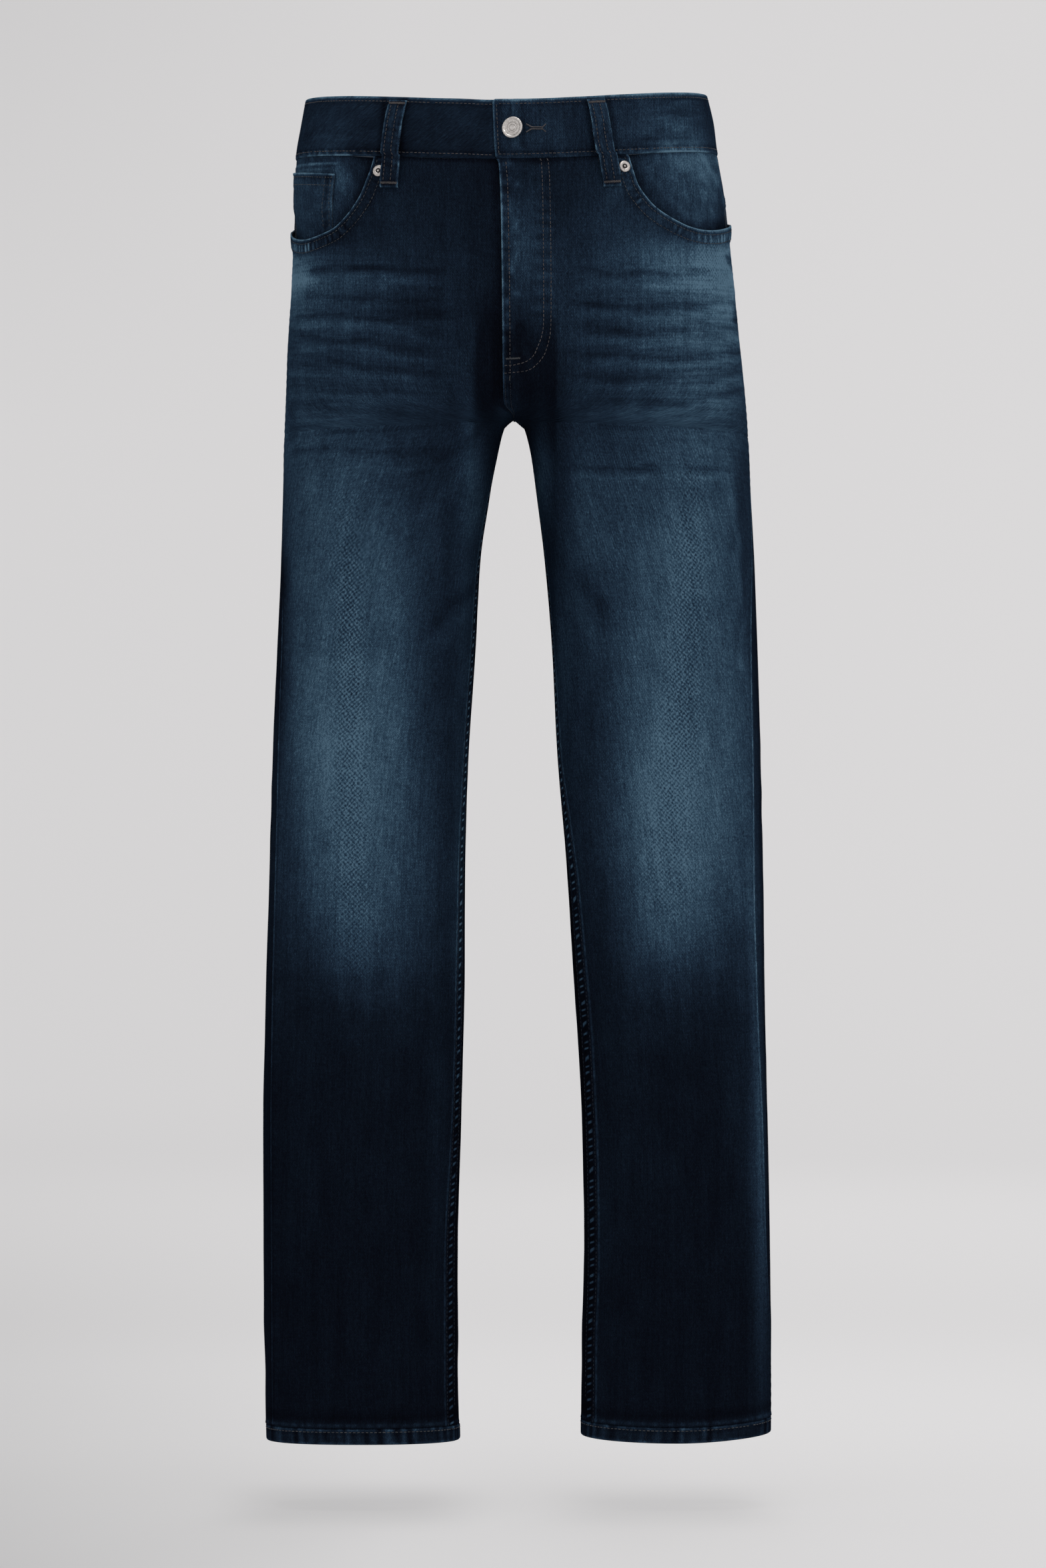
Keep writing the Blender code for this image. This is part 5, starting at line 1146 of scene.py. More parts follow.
COARSE_WEAVE = (    # upright runs where the worn twill shows coarse and bright: x, half width, amount along y
    dict(y=(700, 780, 880, 1000, 1150, 1300, 1420, 1500), x=(518, 520, 523, 525, 525, 527, 534, 540),
         w=(24, 24, 24, 26, 28, 30, 34, 36), amount=(0.0, 0.5, 1.0, 1.0, 0.9, 0.8, 0.5, 0.0)),
    dict(y=(640, 720, 820, 950, 1080, 1200, 1330, 1430), x=(1050, 1040, 1036, 1030, 1020, 1008, 1000, 996),
         w=(26, 28, 30, 34, 36, 38, 40, 40), amount=(0.0, 0.5, 0.8, 0.8, 0.9, 0.8, 0.6, 0.0)),
)


def coarse(px, py):
    total = np.zeros(np.shape(px))
    for run in COARSE_WEAVE:
        total += read(run, "amount", py) * np.exp(-((px - read(run, "x", py)) / read(run, "w", py)) ** 2)
    total += 0.6 * np.exp(-((px - 1070) / 44) ** 2 - ((py - 400) / 55) ** 2) + 0.35 * np.exp(-((px - 450) / 34) ** 2 - ((py - 425) / 70) ** 2)
    return total


def streaks(px, py):
    """How strongly level streaks show: over the hips, and most beside the outseams."""
    across = 0.22 + 0.55 * np.exp(-((px - 1085) / 95) ** 2) + 0.25 * np.exp(-((px - 470) / 90) ** 2)
    return across * smooth((py - 345) / 60) * (1 - smooth((py - 560) / 260)) * smooth(np.abs(px - 780) / 60 - 0.6)


def front_face(side, arc, h):
    u = u_of(side, arc, h)
    point, normal = FORM.at(side, arc, h)
    d0, d1 = arc - start_of(side, h), middle_of(side, h) - arc
    out, wear, dark, seam = front_relief(side, u, h, np.maximum(d0, 0), np.maximum(d1, 0), point)
    if side < 0:
        out = out - (DENIM + SEAM_GAP) * (1 - smooth((d0 - 1) / 18)) * smooth((h + 219) / 12)
    return point, normal, out, tones(cloth_tone(point, u, h), wear, dark, coarse(*photo(point)), seam, streaks(*photo(point)))


def back_face(side, arc, h):
    u = u_of(side, arc, h)
    point, normal = FORM.at(side, arc, h)
    d1, d2 = arc - middle_of(side, h), end_of(side, h) - arc
    out, wear, dark = back_relief(side, u, h, np.maximum(d1, 0), np.maximum(d2, 0), point)
    # the yoke seam is felled over the panel's top edge, with painted shade just under it
    top = np.interp(u, YOKE["u"], YOKE["h"])
    dy = top - h
    dark = dark + 0.4 * bump(dy - 0.8, 1.2) * smooth(dy / 0.3)
    wear = wear + 0.2 * bump(dy - 4.0, 1.6)
    return point, normal, out, tones(cloth_tone(point, u, h), wear, dark)


def yoke_face(side, arc, h):
    u = u_of(side, arc, h)
    point, normal = FORM.at(side, arc, h)
    d2 = end_of(side, h) - arc
    dy = h - np.interp(u, YOKE["u"], YOKE["h"])
    rungs = ladder(arc, dy, 8.0, 120 + side)
    inside = window(dy, 1.0, 8.4)
    out = swell(point) * smooth(dy / 10) * smooth(d2 / 10) + 0.5 * (1 - smooth((dy - 7.4) / 1.8)) + 0.18 * rungs * inside
    out -= 0.16 * (bump(dy - 1.8, 0.55) + bump(dy - 7.0, 0.55)) + 0.2 * (1 - smooth((d2 - 0.4) / 1.4))
    wear = 0.4 * bump(dy - 0.6, 0.9) + 0.3 * np.clip(rungs, 0, 1) * inside
    # painted shade and unworn dye in the puckers' hollows, and painted shade beside the centre back seam and under the
    # waistband
    dark = 0.35 * np.clip(-rungs, 0, 1) * inside + 0.3 * bump(d2 - 0.6, 1.5) + 0.35 * (1 - smooth((-27 - h) / 3.0))
    out += 0.5 * (1 - smooth((d2 - 7.4) / 1.6)) if side > 0 else 0
    turn = smooth((u - 1.0) / 0.14)
    px, py = photo(point)
    tone = (front_tone(px, py, False) + 0.9) * (1 - turn) + (1.35 + 0.25 * noise(point[:, 0] / 25, point[:, 2] / 20, 121)) * turn
    return point, normal, out, tones(tone, wear, dark)


FACING_DEPTH = {1: DENIM + SEAM_GAP, -1: DENIM + 2 * SEAM_GAP + PATCH}


def facing_face(side, arc, h):
    u = u_of(side, arc, h)
    point, normal = FORM.at(side, arc, h)
    dm, sm = below_mouth(side, u, h)
    out = -FACING_DEPTH[side] * (1 - 0.96 * smooth((-dm - 3.5) / 20))
    out = out - 0.25 + 0.25 * noise(arc / 9, h / 9, 130 + side) * smooth(-dm / 10)
    # creases that run from the mouth's bend towards the waistband
    slant = (u * 170 + 0.6 * h)
    out += 0.5 * noise(slant / 9, 2.0, 132 + side) * smooth((-dm - 2) / 8) * (1 - smooth((-dm - 26) / 14))
    px, py = photo(point)
    if side > 0:
        t = 1.75 + 2.1 * smooth((px - 945) / 115) * (1 - 0.5 * smooth((py - 238) / 95)) + 0.35 * noise(px / 6, py / 12, 133)
        # painted shade in the gap behind the mouth near the outseam
        t = t + 0.35 * noise(px / 26, (py - 0.25 * px) / 8, 137) - 0.9 * bump(px - 1082, 13) + 0.6 * bump(px - 1010, 40) * bump(py - 243, 16)
        wear = 0.3 * np.clip(noise(slant / 7, py / 60, 135), 0, 1) * smooth((-dm - 6) / 8)
    else:
        t = 1.3 + 1.7 * (1 - smooth((px - 445) / 105)) + 0.45 * noise(px / 9, py / 14, 133) + 1.3 * bump(px - 512, 14) * bump(py - 268, 34)
        # the strip above the coin pocket is rolled at both edges
        strip_there = smooth((u - 0.60) / 0.02)
        out += 0.8 * strip_there * (bump(h + 33.2, 1.5) + bump(h + 36.8, 1.5))
        wear = strip_there * (0.75 * bump(h + 32.4, 1.0) + 0.5 * bump(h + 37.2, 1.0)) * (0.75 + 0.5 * noise(px / 5, 1.0, 136))
        # painted shade in the hollows beside the rolled edges
        t = t - strip_there * (0.8 * bump(h + 29.6, 1.5) + 0.7 * bump(h + 35.0, 1.2))
    # painted shade under the mouth's edge, under the waistband and where the front panel covers the facing
    dark = 0.55 * bump(-dm, 6.0) + 0.35 * (1 - smooth((-26.8 - h) / 2.5)) + 0.45 * smooth((dm + 1) / 3)
    return point, normal, out, tones(t, wear, dark)


def coin_sides(u, h):
    """Distances to the coin pocket's mouth and to its upright side, in mm."""
    mouth_h = np.interp(u, COIN["u"][:2], COIN["h"][:2])
    return mouth_h - h, (u - COIN["u"][0]) * 172


def coin_face(side, arc, h):
    u = u_of(side, arc, h)
    point, normal, out, tone = facing_face(side, arc, h)
    dt, ds = coin_sides(u, h)
    rungs = ladder(arc, dt, 6.5, 140)
    across = ladder(h, ds, 7.0, 141)
    out = out + SEAM_GAP + PATCH + 0.45 * (1 - smooth((dt - 10.5) / 1.6)) - 0.18 * (bump(dt - 3.3, 0.6) + bump(dt - 9.6, 0.6))
    out += 0.14 * rungs * window(dt, 2.2, 11) + 0.12 * across * window(ds, 1.0, 8.0) - 0.15 * (bump(ds - 2.2, 0.55) + bump(ds - 7.6, 0.55))
    px, py = photo(point)
    t = 2.0 + 0.5 * noise(px / 14, py / 10, 142) + 0.9 * bump(px - 500, 22) * bump(py - 288, 30) + 0.7 * bump(px - 450, 18)
    wear = 0.85 * bump(dt - 0.5, 0.9) * (0.8 + 0.4 * noise(arc / 4, 1.0, 143)) + 0.10 * np.clip(rungs, 0, 1) * window(dt, 1.5, 11)
    wear += 0.15 * bump(ds - 0.5, 0.9) + 0.5 * np.clip(across * noise(h / 12, 3.0, 144), 0, 1) * window(ds, 1.0, 8.5)
    # painted shade beside its stitch rows, painted shade and unworn dye in the puckers' hollows, and the facing's
    # painted shade beneath
    dark = 0.5 * bump(dt - 3.6, 1.4) + 0.55 * bump(ds - 5.0, 2.0) + 0.15 * np.clip(-rungs, 0, 1) * window(dt, 2, 11) + tone[:, 2] * 0.6
    return point, normal, out, tones(t, wear, dark)


def pocket_frame():
    """The back pocket's outline as distances: sides of a polygon in u (x 200) and h."""
    return np.array([(u * 200.0, h) for u, h in zip(BACK_POCKET["u"], BACK_POCKET["h"])])


def pocket_sides(u, h):
    ring = pocket_frame()
    best, place, start, top = np.full(u.shape, 1e9), np.zeros(u.shape), 0.0, None
    for k, (a, b) in enumerate(zip(ring, np.roll(ring, -1, 0))):
        d = b - a
        size = float(np.hypot(*d))
        t = np.clip(((u * 200 - a[0]) * d[0] + (h - a[1]) * d[1]) / size ** 2, 0, 1)
        gap = np.hypot(u * 200 - a[0] - t * d[0], h - a[1] - t * d[1])
        if k == 0:
            top = gap
            continue
        near = gap < best
        best, place = np.where(near, gap, best), np.where(near, start + t * size, place)
        start += size
    return top, best, place


def pocket_face(side, arc, h):
    u = u_of(side, arc, h)
    point, normal, out, tone = back_face(side, arc, h)
    top, edge, place = pocket_sides(u, h)
    rungs, mouth_rungs = ladder(place, edge, 8.0, 150 + side), ladder(u * 200, top, 6.8, 152 + side)
    ring = window(edge, 0.9, 8.4) * smooth((top - 11) / 2)
    out = out + SEAM_GAP + PATCH + 0.45 * (1 - smooth((top - 12.2) / 1.6)) - 0.16 * (bump(edge - 1.8, 0.55) + bump(edge - 7.4, 0.55))
    out += 0.16 * rungs * ring + 0.16 * mouth_rungs * window(top, 2, 12.5) - 0.16 * (bump(top - 3.6, 0.6) + bump(top - 11.2, 0.6))
    out += 0.7 * bump(top, 9) * bump(u - 1.5, 0.16)
    t = tone[:, 0] + 0.25 + 0.35 * bump(h + 200, 60) * bump(u - 1.5, 0.2)
    wear = 0.6 * bump(top - 0.5, 1.2) + 0.42 * bump(edge - 0.5, 1.0) + 0.3 * np.clip(rungs, 0, 1) * ring
    wear += 0.28 * np.clip(mouth_rungs, 0, 1) * window(top, 2, 12.5)
    # painted shade and unworn dye in the puckers' hollows
    dark = 0.3 * np.clip(-rungs, 0, 1) * ring + 0.28 * np.clip(-mouth_rungs, 0, 1) * window(top, 2, 12.5)
    return point, normal, out, tones(t, wear, dark)


def band_out(side, arc, h):
    """The waistband's outer face before its creases: proud of the panels, and sunk beneath the tab."""
    along = np.where(side > 0, 99.0, arc - FORM.arcs(-1, 0 * arc, h))
    under = np.where((side < 0), 1 - smooth((along - 2) / 28), 0)
    return BAND_PROUD - (BAND + SEAM_GAP) * under


def band_face(side, arc, h):
    side = np.broadcast_to(np.asarray(side), arc.shape)
    point, normal = np.zeros(arc.shape + (3,)), np.zeros(arc.shape + (3,))
    out = np.zeros(arc.shape)
    for s in (-1, 1):
        m = side == s
        if m.any():
            point[m], normal[m] = FORM.at(s, arc[m], h[m])
            out[m] = band_out(s, arc[m], h[m])
    px, py = photo(point)
    dt, db = WAIST_TOP - h, h - (WAIST_SEAM + 0.1)
    front = smooth((-point[:, 1] - 20) / 60)
    run = np.where(side > 0, arc, 1000 - arc)
    rungs_b, rungs_t = ladder(run, db, 9.5, 160, 0.5), ladder(run, dt, 10.5, 162, 0.4)
    out = out + 0.35 * noise(run / 38, h / 26, 164) + 0.14 * noise(run / 9, h / 20, 165)
    out += 0.2 * rungs_b * window(db, 0.6, 5.5) + 0.10 * rungs_t * window(dt, 0.8, 6.0)
    out -= 0.18 * (bump(dt - 4.0, 0.6) + bump(db - 3.6, 0.6))
    # upright ripples beside the buttonhole and where the band turns over the fly
    pull = np.exp(-((px - 765) / 34) ** 2) * smooth((h + 24) / 12)
    out += 0.5 * noise(px / 9.0 + 0.02 * py, 3.0, 166) * pull * smooth((px - 750) / 6)
    tab = np.where(side > 0, arc - FORM.arcs(1, 0 * arc, h), 99)
    out -= 0.16 * bump(tab - 3.2, 0.6) * smooth(tab / 0.5)
    t = read(BAND_TONE, "t", px) * front + (1.6 + 0.3 * noise(run / 40, 1.0, 167)) * (1 - front)
    t = t + 0.28 * noise(run / 14, h / 10, 168) + 0.2 * noise(run / 5, h / 16, 169)
    ends = np.clip(1 - smooth((px - 440) / 95) + smooth((px - 955) / 70), 0, 1) * front
    t = t + 1.1 * noise(px / 34, py / 6.5 + 0.02 * px, 177) * ends
    t = t + front * (0.8 * bump(py - 218, 4) * window(px, 985, 1052, 18) - 1.0 * bump(py - 208, 3.5) * window(px, 955, 1066, 16) + 0.6 * bump(py - 207 - 0.0016 * (px - 500) ** 2, 4) * bump(px - 500, 40))
    t = t - 0.5 * ends * bump(h - 14, 9) + 0.5 * ends * bump(h + 14, 9)
    out = out + 0.22 * noise(px / 34, py / 6.5 + 0.02 * px, 177) * ends
    lower = smooth((-6 - h) / 14)
    t = t - 0.25 * lower * (1 - smooth((px - 960) / 80)) * front
    at_ends = np.clip(1 - smooth((px - 500) / 90) + smooth((px - 930) / 60), 0, 1) * front + 0.35 * (1 - front)
    wear = (0.70 + 0.3 * noise(run / 8, 2.0, 170)) * bump(dt - 0.6, 1.5) + (0.08 + 0.62 * at_ends) * (1 + 0.8 * noise(run / 6, 5.0, 171)) * bump(db - 0.4, 0.8)
    wear += (0.14 + 0.3 * at_ends) * np.clip(rungs_b, 0, 1) * window(db, 0.6, 5.5)
    wear += 0.65 * bump(tab - 0.4, 1.1) * smooth((tab + 3) / 2)
    wear += 0.25 * np.clip(noise(px / 5.0, 3.0, 166), 0, 1) * pull
    # painted shade in the stitch grooves and the ripples' hollows, and painted shade with unworn dye in the puckers'
    # hollows
    dark = 0.35 * bump(db - 5.2, 1.0) + 0.25 * bump(dt - 5.4, 0.9) + 0.3 * np.clip(-rungs_b, 0, 1) * window(db, 1, 6)
    dark += 0.35 * np.clip(-noise(px / 5.0, 3.0, 166), 0, 1) * pull
    for k, s in enumerate(LOOPS["side"]):      # painted shadow cast by the belt loops beside them
        centre = FORM.arcs(s, np.full(arc.shape, 0.5 * (LOOPS["top_u"][k] + LOOPS["bottom_u"][k])), h)
        dark += np.where(side == s, 0.45 * bump(np.abs(arc - centre) - 8.5, 2.2), 0)
    return point, normal, out, tones(t, wear, dark)


def hem_face(side, arc, h):
    point, normal = FORM.at(side, arc, h)
    total = FORM.length(side, h, True)
    arc0 = np.mod(arc - start_of(side, h), total)
    dt, db = (HEM_SEAM - 0.1) - h, h - HEM_END
    lean = arc0 - 0.12 * (h + 1046)
    rope = np.cos(2 * math.pi * (lean / 9.4 + 0.62 * noise(arc0 / 19, 4, 170 + side))) * (0.6 + 0.75 * noise(arc0 / 10, 5, 171 + side))
    out = HEM_PROUD + 0.3 * rope * smooth(db / 2.5) * smooth((dt + 1) / 2.5) + 0.18 * noise(arc0 / 33, 2, 172 + side)
    out -= 0.2 * bump(dt - 2.9, 0.6)
    px, py = photo(point)
    t = 0.85 + 0.3 * noise(arc0 / 9, h / 5, 173) + 0.25 * noise(arc0 / 3.5, h / 9, 174)
    wear = 0.30 * np.clip(rope, 0, 1) * smooth(db / 2) + 0.30 * bump(db - 0.8, 1.2) * (1 + 0.8 * noise(arc0 / 6, 2.0, 175)) + 0.34 * bump(dt - 1.4, 0.9) * (0.8 + 1.1 * noise(arc0 / 4, 3.0, 176))
    # painted shade and unworn dye in the rope's hollows, and painted shade below the stitch row
    dark = 0.62 * np.clip(-rope, 0, 1) + 0.3 * bump(dt - 4.2, 1.0)
    dark += 0.35 * (bump(arc0 - 0.6, 1.4) + bump(np.abs(arc - middle_of(side, h)) - 0.6, 1.3))
    return point, normal, out, tones(t, wear, dark)

# ---------------------------------------------------------------- the cloth pieces
def at_each(side, arc, h):
    """Points and normals where every place names its own side."""
    side = np.broadcast_to(np.asarray(side), arc.shape)
    point, normal = np.zeros(arc.shape + (3,)), np.zeros(arc.shape + (3,))
    for s in (-1, 1):
        m = side == s
        if m.any():
            point[m], normal[m] = FORM.at(s, arc[m], h[m])
    return point, normal


def flat_line(side, u, h, count=None):
    """A line given in (u, h) as places in (arc, h)."""
    u, h = (np.array(v, float) for v in np.broadcast_arrays(u, h))
    if count:
        at = np.linspace(0, len(u) - 1, count)
        u, h = np.interp(at, np.arange(len(u)), u), np.interp(at, np.arange(len(h)), h)
    return np.stack([FORM.arcs(side, u, h), h], 1)


TOP = WAIST_SEAM + 0.05
COARSE = (1.4, 2.6, 4.2, 6.2, 8.4)


def front_outline(side):
    line = MOUTH_LINE[side] / (220.0, 1.0)
    parts = [flat_line(side, (0, line[0, 0]), (TOP, TOP), 30), flat_line(side, line[1:, 0], line[1:, 1]),
             flat_line(side, (0.999999, 0.999999), (line[-1, 1] - 1, HEM_SEAM), 240),
             flat_line(side, (0.999999, 0), (HEM_SEAM, HEM_SEAM), 60)[1:]]
    if side > 0:
        parts.append(flat_line(side, (0, 0), (HEM_SEAM, TOP), 340)[1:-1])
    else:
        parts.append(flat_line(side, (0, 0), (HEM_SEAM, -207.5), 270)[1:])
        h = np.linspace(-205.5, TOP, 60)
        parts.append(np.stack([start_of(-1, h) - UNDERLAP_ARC * smooth((h + 212) / 45), h], 1))
        parts.append(np.stack([np.linspace(parts[-1][-1, 0], float(start_of(-1, np.array(TOP))), 8)[1:-1], np.full(6, TOP)], 1))
    return np.concatenate(parts)


def back_outline(side):
    u, h = np.linspace(1.000001, 2, 60), np.interp(np.linspace(1, 2, 60), YOKE["u"], YOKE["h"])
    return np.concatenate([flat_line(side, u, h), flat_line(side, (2, 2), (h[-1], HEM_SEAM), 300)[1:],
                           flat_line(side, (2, 1.000001), (HEM_SEAM, HEM_SEAM), 60)[1:],
                           flat_line(side, (1.000001, 1.000001), (HEM_SEAM, h[0]), 240)[1:-1]])


def yoke_outline(side):
    u = np.linspace(1.000001, 2, 60)
    h = np.interp(u, YOKE["u"], YOKE["h"])
    return np.concatenate([flat_line(side, (1.000001, 2), (TOP, TOP), 60), flat_line(side, (2, 2), (TOP, h[-1]), 24)[1:],
                           flat_line(side, u[::-1], h[::-1])[1:], flat_line(side, (1.000001, 1.000001), (h[0], TOP), 14)[1:-1]])


def facing_outline(side):
    return np.concatenate([flat_line(side, (0.385, 0.9995), (TOP, TOP), 50), flat_line(side, (0.9995, 0.9995), (TOP, -107), 30)[1:],
                           flat_line(side, (0.9995, 0.74, 0.52, 0.385, 0.385), (-107, -114, -104, -70, TOP), 90)[1:-1]])


def polygon_outline(side, table, each=30):
    u, h = np.append(table["u"], table["u"][0]), np.append(table["h"], table["h"][0])
    return flat_line(side, u, h, each * len(table["u"]))[:-1]


BUILT = {}
for s in (1, -1):
    own = name_of(s)
    j_lines = ()
    if s > 0:
        j_lines = [(FLY_LINES["outer"] + np.stack([start_of(1, FLY_LINES["outer"][:, 1]), 0 * FLY_LINES["outer"][:, 1]], 1), (-1.6, -0.7, 0.0, 0.8, 1.8)),
                   (FLY_LINES["inner"] + np.stack([start_of(1, FLY_LINES["inner"][:, 1]), 0 * FLY_LINES["inner"][:, 1]], 1), (-0.7, 0.0, 0.7))]
    mouth_flat = flat_line(s, MOUTH_LINE[s][:, 0] / 220.0, MOUTH_LINE[s][:, 1])
    rows = [(mouth_flat, tuple(-k for k in (9.7, 10.4, 11.0, 11.8, 12.8, 14.2)))]
    BUILT["front_" + own] = panel("front_" + own, s, front_outline(s), front_face, DENIM, pitch=1.9, spacing=3.2,
                                   extra=rows + list(j_lines), fine=(-262, -112, 2.3))
    BUILT["back_" + own] = panel("back_" + own, s, back_outline(s), back_face, DENIM, pitch=2.4, spacing=3.8, steps=COARSE)
    BUILT["yoke_" + own] = panel("yoke_" + own, s, yoke_outline(s), yoke_face, DENIM, pitch=2.2, spacing=3.0)
    BUILT["hip_facing_" + own] = panel("hip_facing_" + own, s, facing_outline(s), facing_face, PATCH, pitch=2.2, spacing=2.4, steps=COARSE)
    BUILT["back_pocket_" + own] = panel("back_pocket_" + own, s, polygon_outline(s, BACK_POCKET), pocket_face, PATCH, pitch=2.0, spacing=2.8, steps=DETAIL_STEPS + (10.2, 11.6, 13.0))
BUILT["coin_pocket"] = panel("coin_pocket", -1, polygon_outline(-1, COIN), coin_face, PATCH, pitch=1.8, spacing=2.3, steps=DETAIL_STEPS + (9.8, 11.2))


def spread(low_steps, high_steps, length, pitch):
    """Places along a length: close ones near each end and even ones between."""
    low, high = np.array(low_steps, float), length - np.array(high_steps, float)[::-1]
    count = max(2, int(round((high[0] - low[-1]) / pitch)))
    return np.concatenate([low, np.linspace(low[-1], high[0], count + 1)[1:-1], high])


def waistband():
    h = WAIST_TOP - spread((0, 0.1, 0.32, 0.7, 1.1, 1.8, 2.7, 3.4, 4.0, 4.6, 5.4), (0, 0.1, 0.32, 0.7, 1.1, 1.8, 2.7, 3.2, 3.7, 4.3, 5.2, 6.4), WAIST_TOP - TOP, 2.3)
    first = np.concatenate([np.array((0, 0.1, 0.35, 0.7, 1.1, 1.9, 2.6, 3.2, 3.9, 5.0)), np.linspace(6.5, 100, 50), np.linspace(100, 440, 130)[1:]])
    back = np.linspace(1, 0, 215)
    rows = {"side": [], "arc": [], "d": [], "run": []}
    hh = []
    for y in h:
        y = np.array(y)
        a, b, c = float(start_of(1, y)), float(FORM.length(1, y, True)), float(FORM.length(-1, y, True))
        e = min(float(WAIST_TOP - y), float(y - TOP))
        corner = 3.2 - math.sqrt(max(0.0, 3.2 ** 2 - max(0.0, 3.2 - e) ** 2))
        shift = corner * (1 - smooth(first / 14))
        arc1 = a + first / first[-1] * (b - a) + shift
        tip = float(start_of(-1, y)) - UNDERLAP_ARC
        arc2 = tip + (c - tip) * back[1:]
        rows["side"].append(np.concatenate([np.ones(len(arc1)), -np.ones(len(arc2))]))
        rows["arc"].append(np.concatenate([arc1, arc2]))
        rows["run"].append(np.concatenate([arc1, b + c - arc2]))
        edge = np.full(len(arc1) + len(arc2), e)
        edge = np.minimum(edge, np.concatenate([arc1 - a - shift, arc2 - tip]))
        rows["d"].append(edge)
        hh.append(np.full(len(edge), float(y)))
    side, arc, d, run, hh = (np.array(v) for v in (rows["side"], rows["arc"], rows["d"], rows["run"], hh))
    return strip("waistband", side.astype(int), arc, hh, band_face, BAND, d, uv=np.stack([run.ravel(), hh.ravel()], 1))


def hem(side):
    h = HEM_SEAM - 0.05 - spread((0, 0.12, 0.4, 0.85, 1.3, 2.1, 2.9, 3.7), (0, 0.12, 0.4, 0.85, 1.3, 2.2), HEM_SEAM - 0.05 - HEM_END, 1.1)
    f = np.linspace(0, 1, 281)
    arc = np.array([float(start_of(side, np.array(y))) + f * float(FORM.length(side, np.array(y), True)) for y in h])
    hh = np.repeat(h[:, None], len(f), 1)
    d = np.minimum(HEM_SEAM - 0.05 - hh, hh - HEM_END)
    return strip("hem_" + name_of(side), np.full(arc.shape, side), arc, hh, lambda sd, a, y: hem_face(side, a, y), HEM, d)


BUILT["waistband"] = waistband()
for s in (1, -1):
    BUILT["hem_" + name_of(s)] = hem(s)

# belt loops: a rough, worn strip each
LOOP_NAMES = LOOPS["name"] + ("belt_loop_centre",)
LOOP_FRAME = {}


def loop_place(k, x, h):
    """Side and arc of a place x mm across and at height h on one belt loop."""
    if k < 4:
        s, ut, ub = LOOPS["side"][k], LOOPS["top_u"][k], LOOPS["bottom_u"][k]
        t = (h - LOOP_BOTTOM) / (LOOP_TOP - LOOP_BOTTOM)
        centre = FORM.arcs(s, ub + (ut - ub) * t, h) + (2.2, -2.2, 0, 0)[k] * (-1 if s < 0 else 1)     # beside the rivets, as shown
        right = -1 if s < 0 else 1          # x runs towards the wearer's left
        return np.full(x.shape, s), centre + right * x
    side = np.where(x < 0, -1, 1)           # the centre loop lies over both halves
    total = np.where(side > 0, FORM.length(1, h, True), FORM.length(-1, h, True))
    return side, total - np.abs(x)


def loop_surface(k, x, h):
    side, arc = loop_place(k, x, h)
    point, normal = at_each(side, arc, h)
    t = np.clip((h - LOOP_BOTTOM) / (LOOP_TOP - LOOP_BOTTOM), 0, 1)
    out = BAND_PROUD + LOOP_SEAT + LOOP + LOOP_BOW * np.sin(math.pi * t) ** 0.4
    ends = bump(h - LOOP_BOTTOM - 3.0, 1.7) + bump(LOOP_TOP - 3.0 - h, 1.7)
    rib = ladder(h, x, 5.2, 180 + k, 0.2)
    out = out - 0.55 * ends + 0.14 * rib - 0.22 * (bump(x + 4.2, 0.6) + bump(x - 1.6, 0.6)) - 0.012 * x * x
    out += 0.5 * noise(h / 13, x / 30 + k, 190 + k)
    edge = 0.5 * LOOP_WIDTH - np.abs(x)
    tone = (1.7 if k == 1 else 1.1) + 0.6 * noise(h / 7, x / 3, 200 + k) + 0.5 * bump(h - 2, 22)
    wear = (0.60 + 0.5 * noise(h / 5, 3.0 + x * 0, 210 + k)) * bump(edge - 0.35, 0.65) + 0.2 * np.clip(rib * noise(h / 8, 5.0, 230 + k), 0, 1) + 0.5 * bump(h - LOOP_TOP, 1.2) + 0.5 * bump(h - LOOP_BOTTOM, 1.0)
    # painted shade and unworn dye in the ribs' hollows, and painted shade in the tacked dips at the ends and in the
    # stitch grooves
    dark = 0.28 * np.clip(-rib, 0, 1) + 0.4 * ends + 0.35 * (bump(x + 4.2, 0.8) + bump(x - 1.6, 0.8))
    return point, normal, out, tones(tone, wear, dark)


def belt_loop(k):
    rows = LOOP_TOP - spread((0, 0.1, 0.35, 0.8, 1.4, 2.2), (0, 0.1, 0.35, 0.8, 1.4, 2.2), LOOP_TOP - LOOP_BOTTOM, 1.3)
    cols = spread((0, 0.1, 0.35, 0.9, 1.6), (0, 0.1, 0.35, 0.9, 1.6), LOOP_WIDTH, 0.85) - LOOP_WIDTH / 2
    x, h = np.meshgrid(cols, rows)
    wobble = 0.3 * noise(h / 8, np.sign(x), 220 + k) * smooth(np.abs(x) / 7)
    edge = np.minimum(0.5 * LOOP_WIDTH - np.abs(x), np.minimum(LOOP_TOP - h, h - LOOP_BOTTOM))
    point, normal, out, tone = loop_surface(k, (x + wobble).ravel(), h.ravel())
    n = len(cols)
    faces = [(r * n + c, (r + 1) * n + c, (r + 1) * n + c + 1, r * n + c + 1) for r in range(len(rows) - 1) for c in range(n - 1)]
    uv = np.stack([x.ravel() + 30 * k, h.ravel()], 1)
    return shell(LOOP_NAMES[k], point, normal, out, edge.ravel(), facing_out(faces, point, normal), LOOP, uv, tone)


for k in range(5):
    BUILT[LOOP_NAMES[k]] = belt_loop(k)
for key, obj in BUILT.items():
    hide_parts(key)

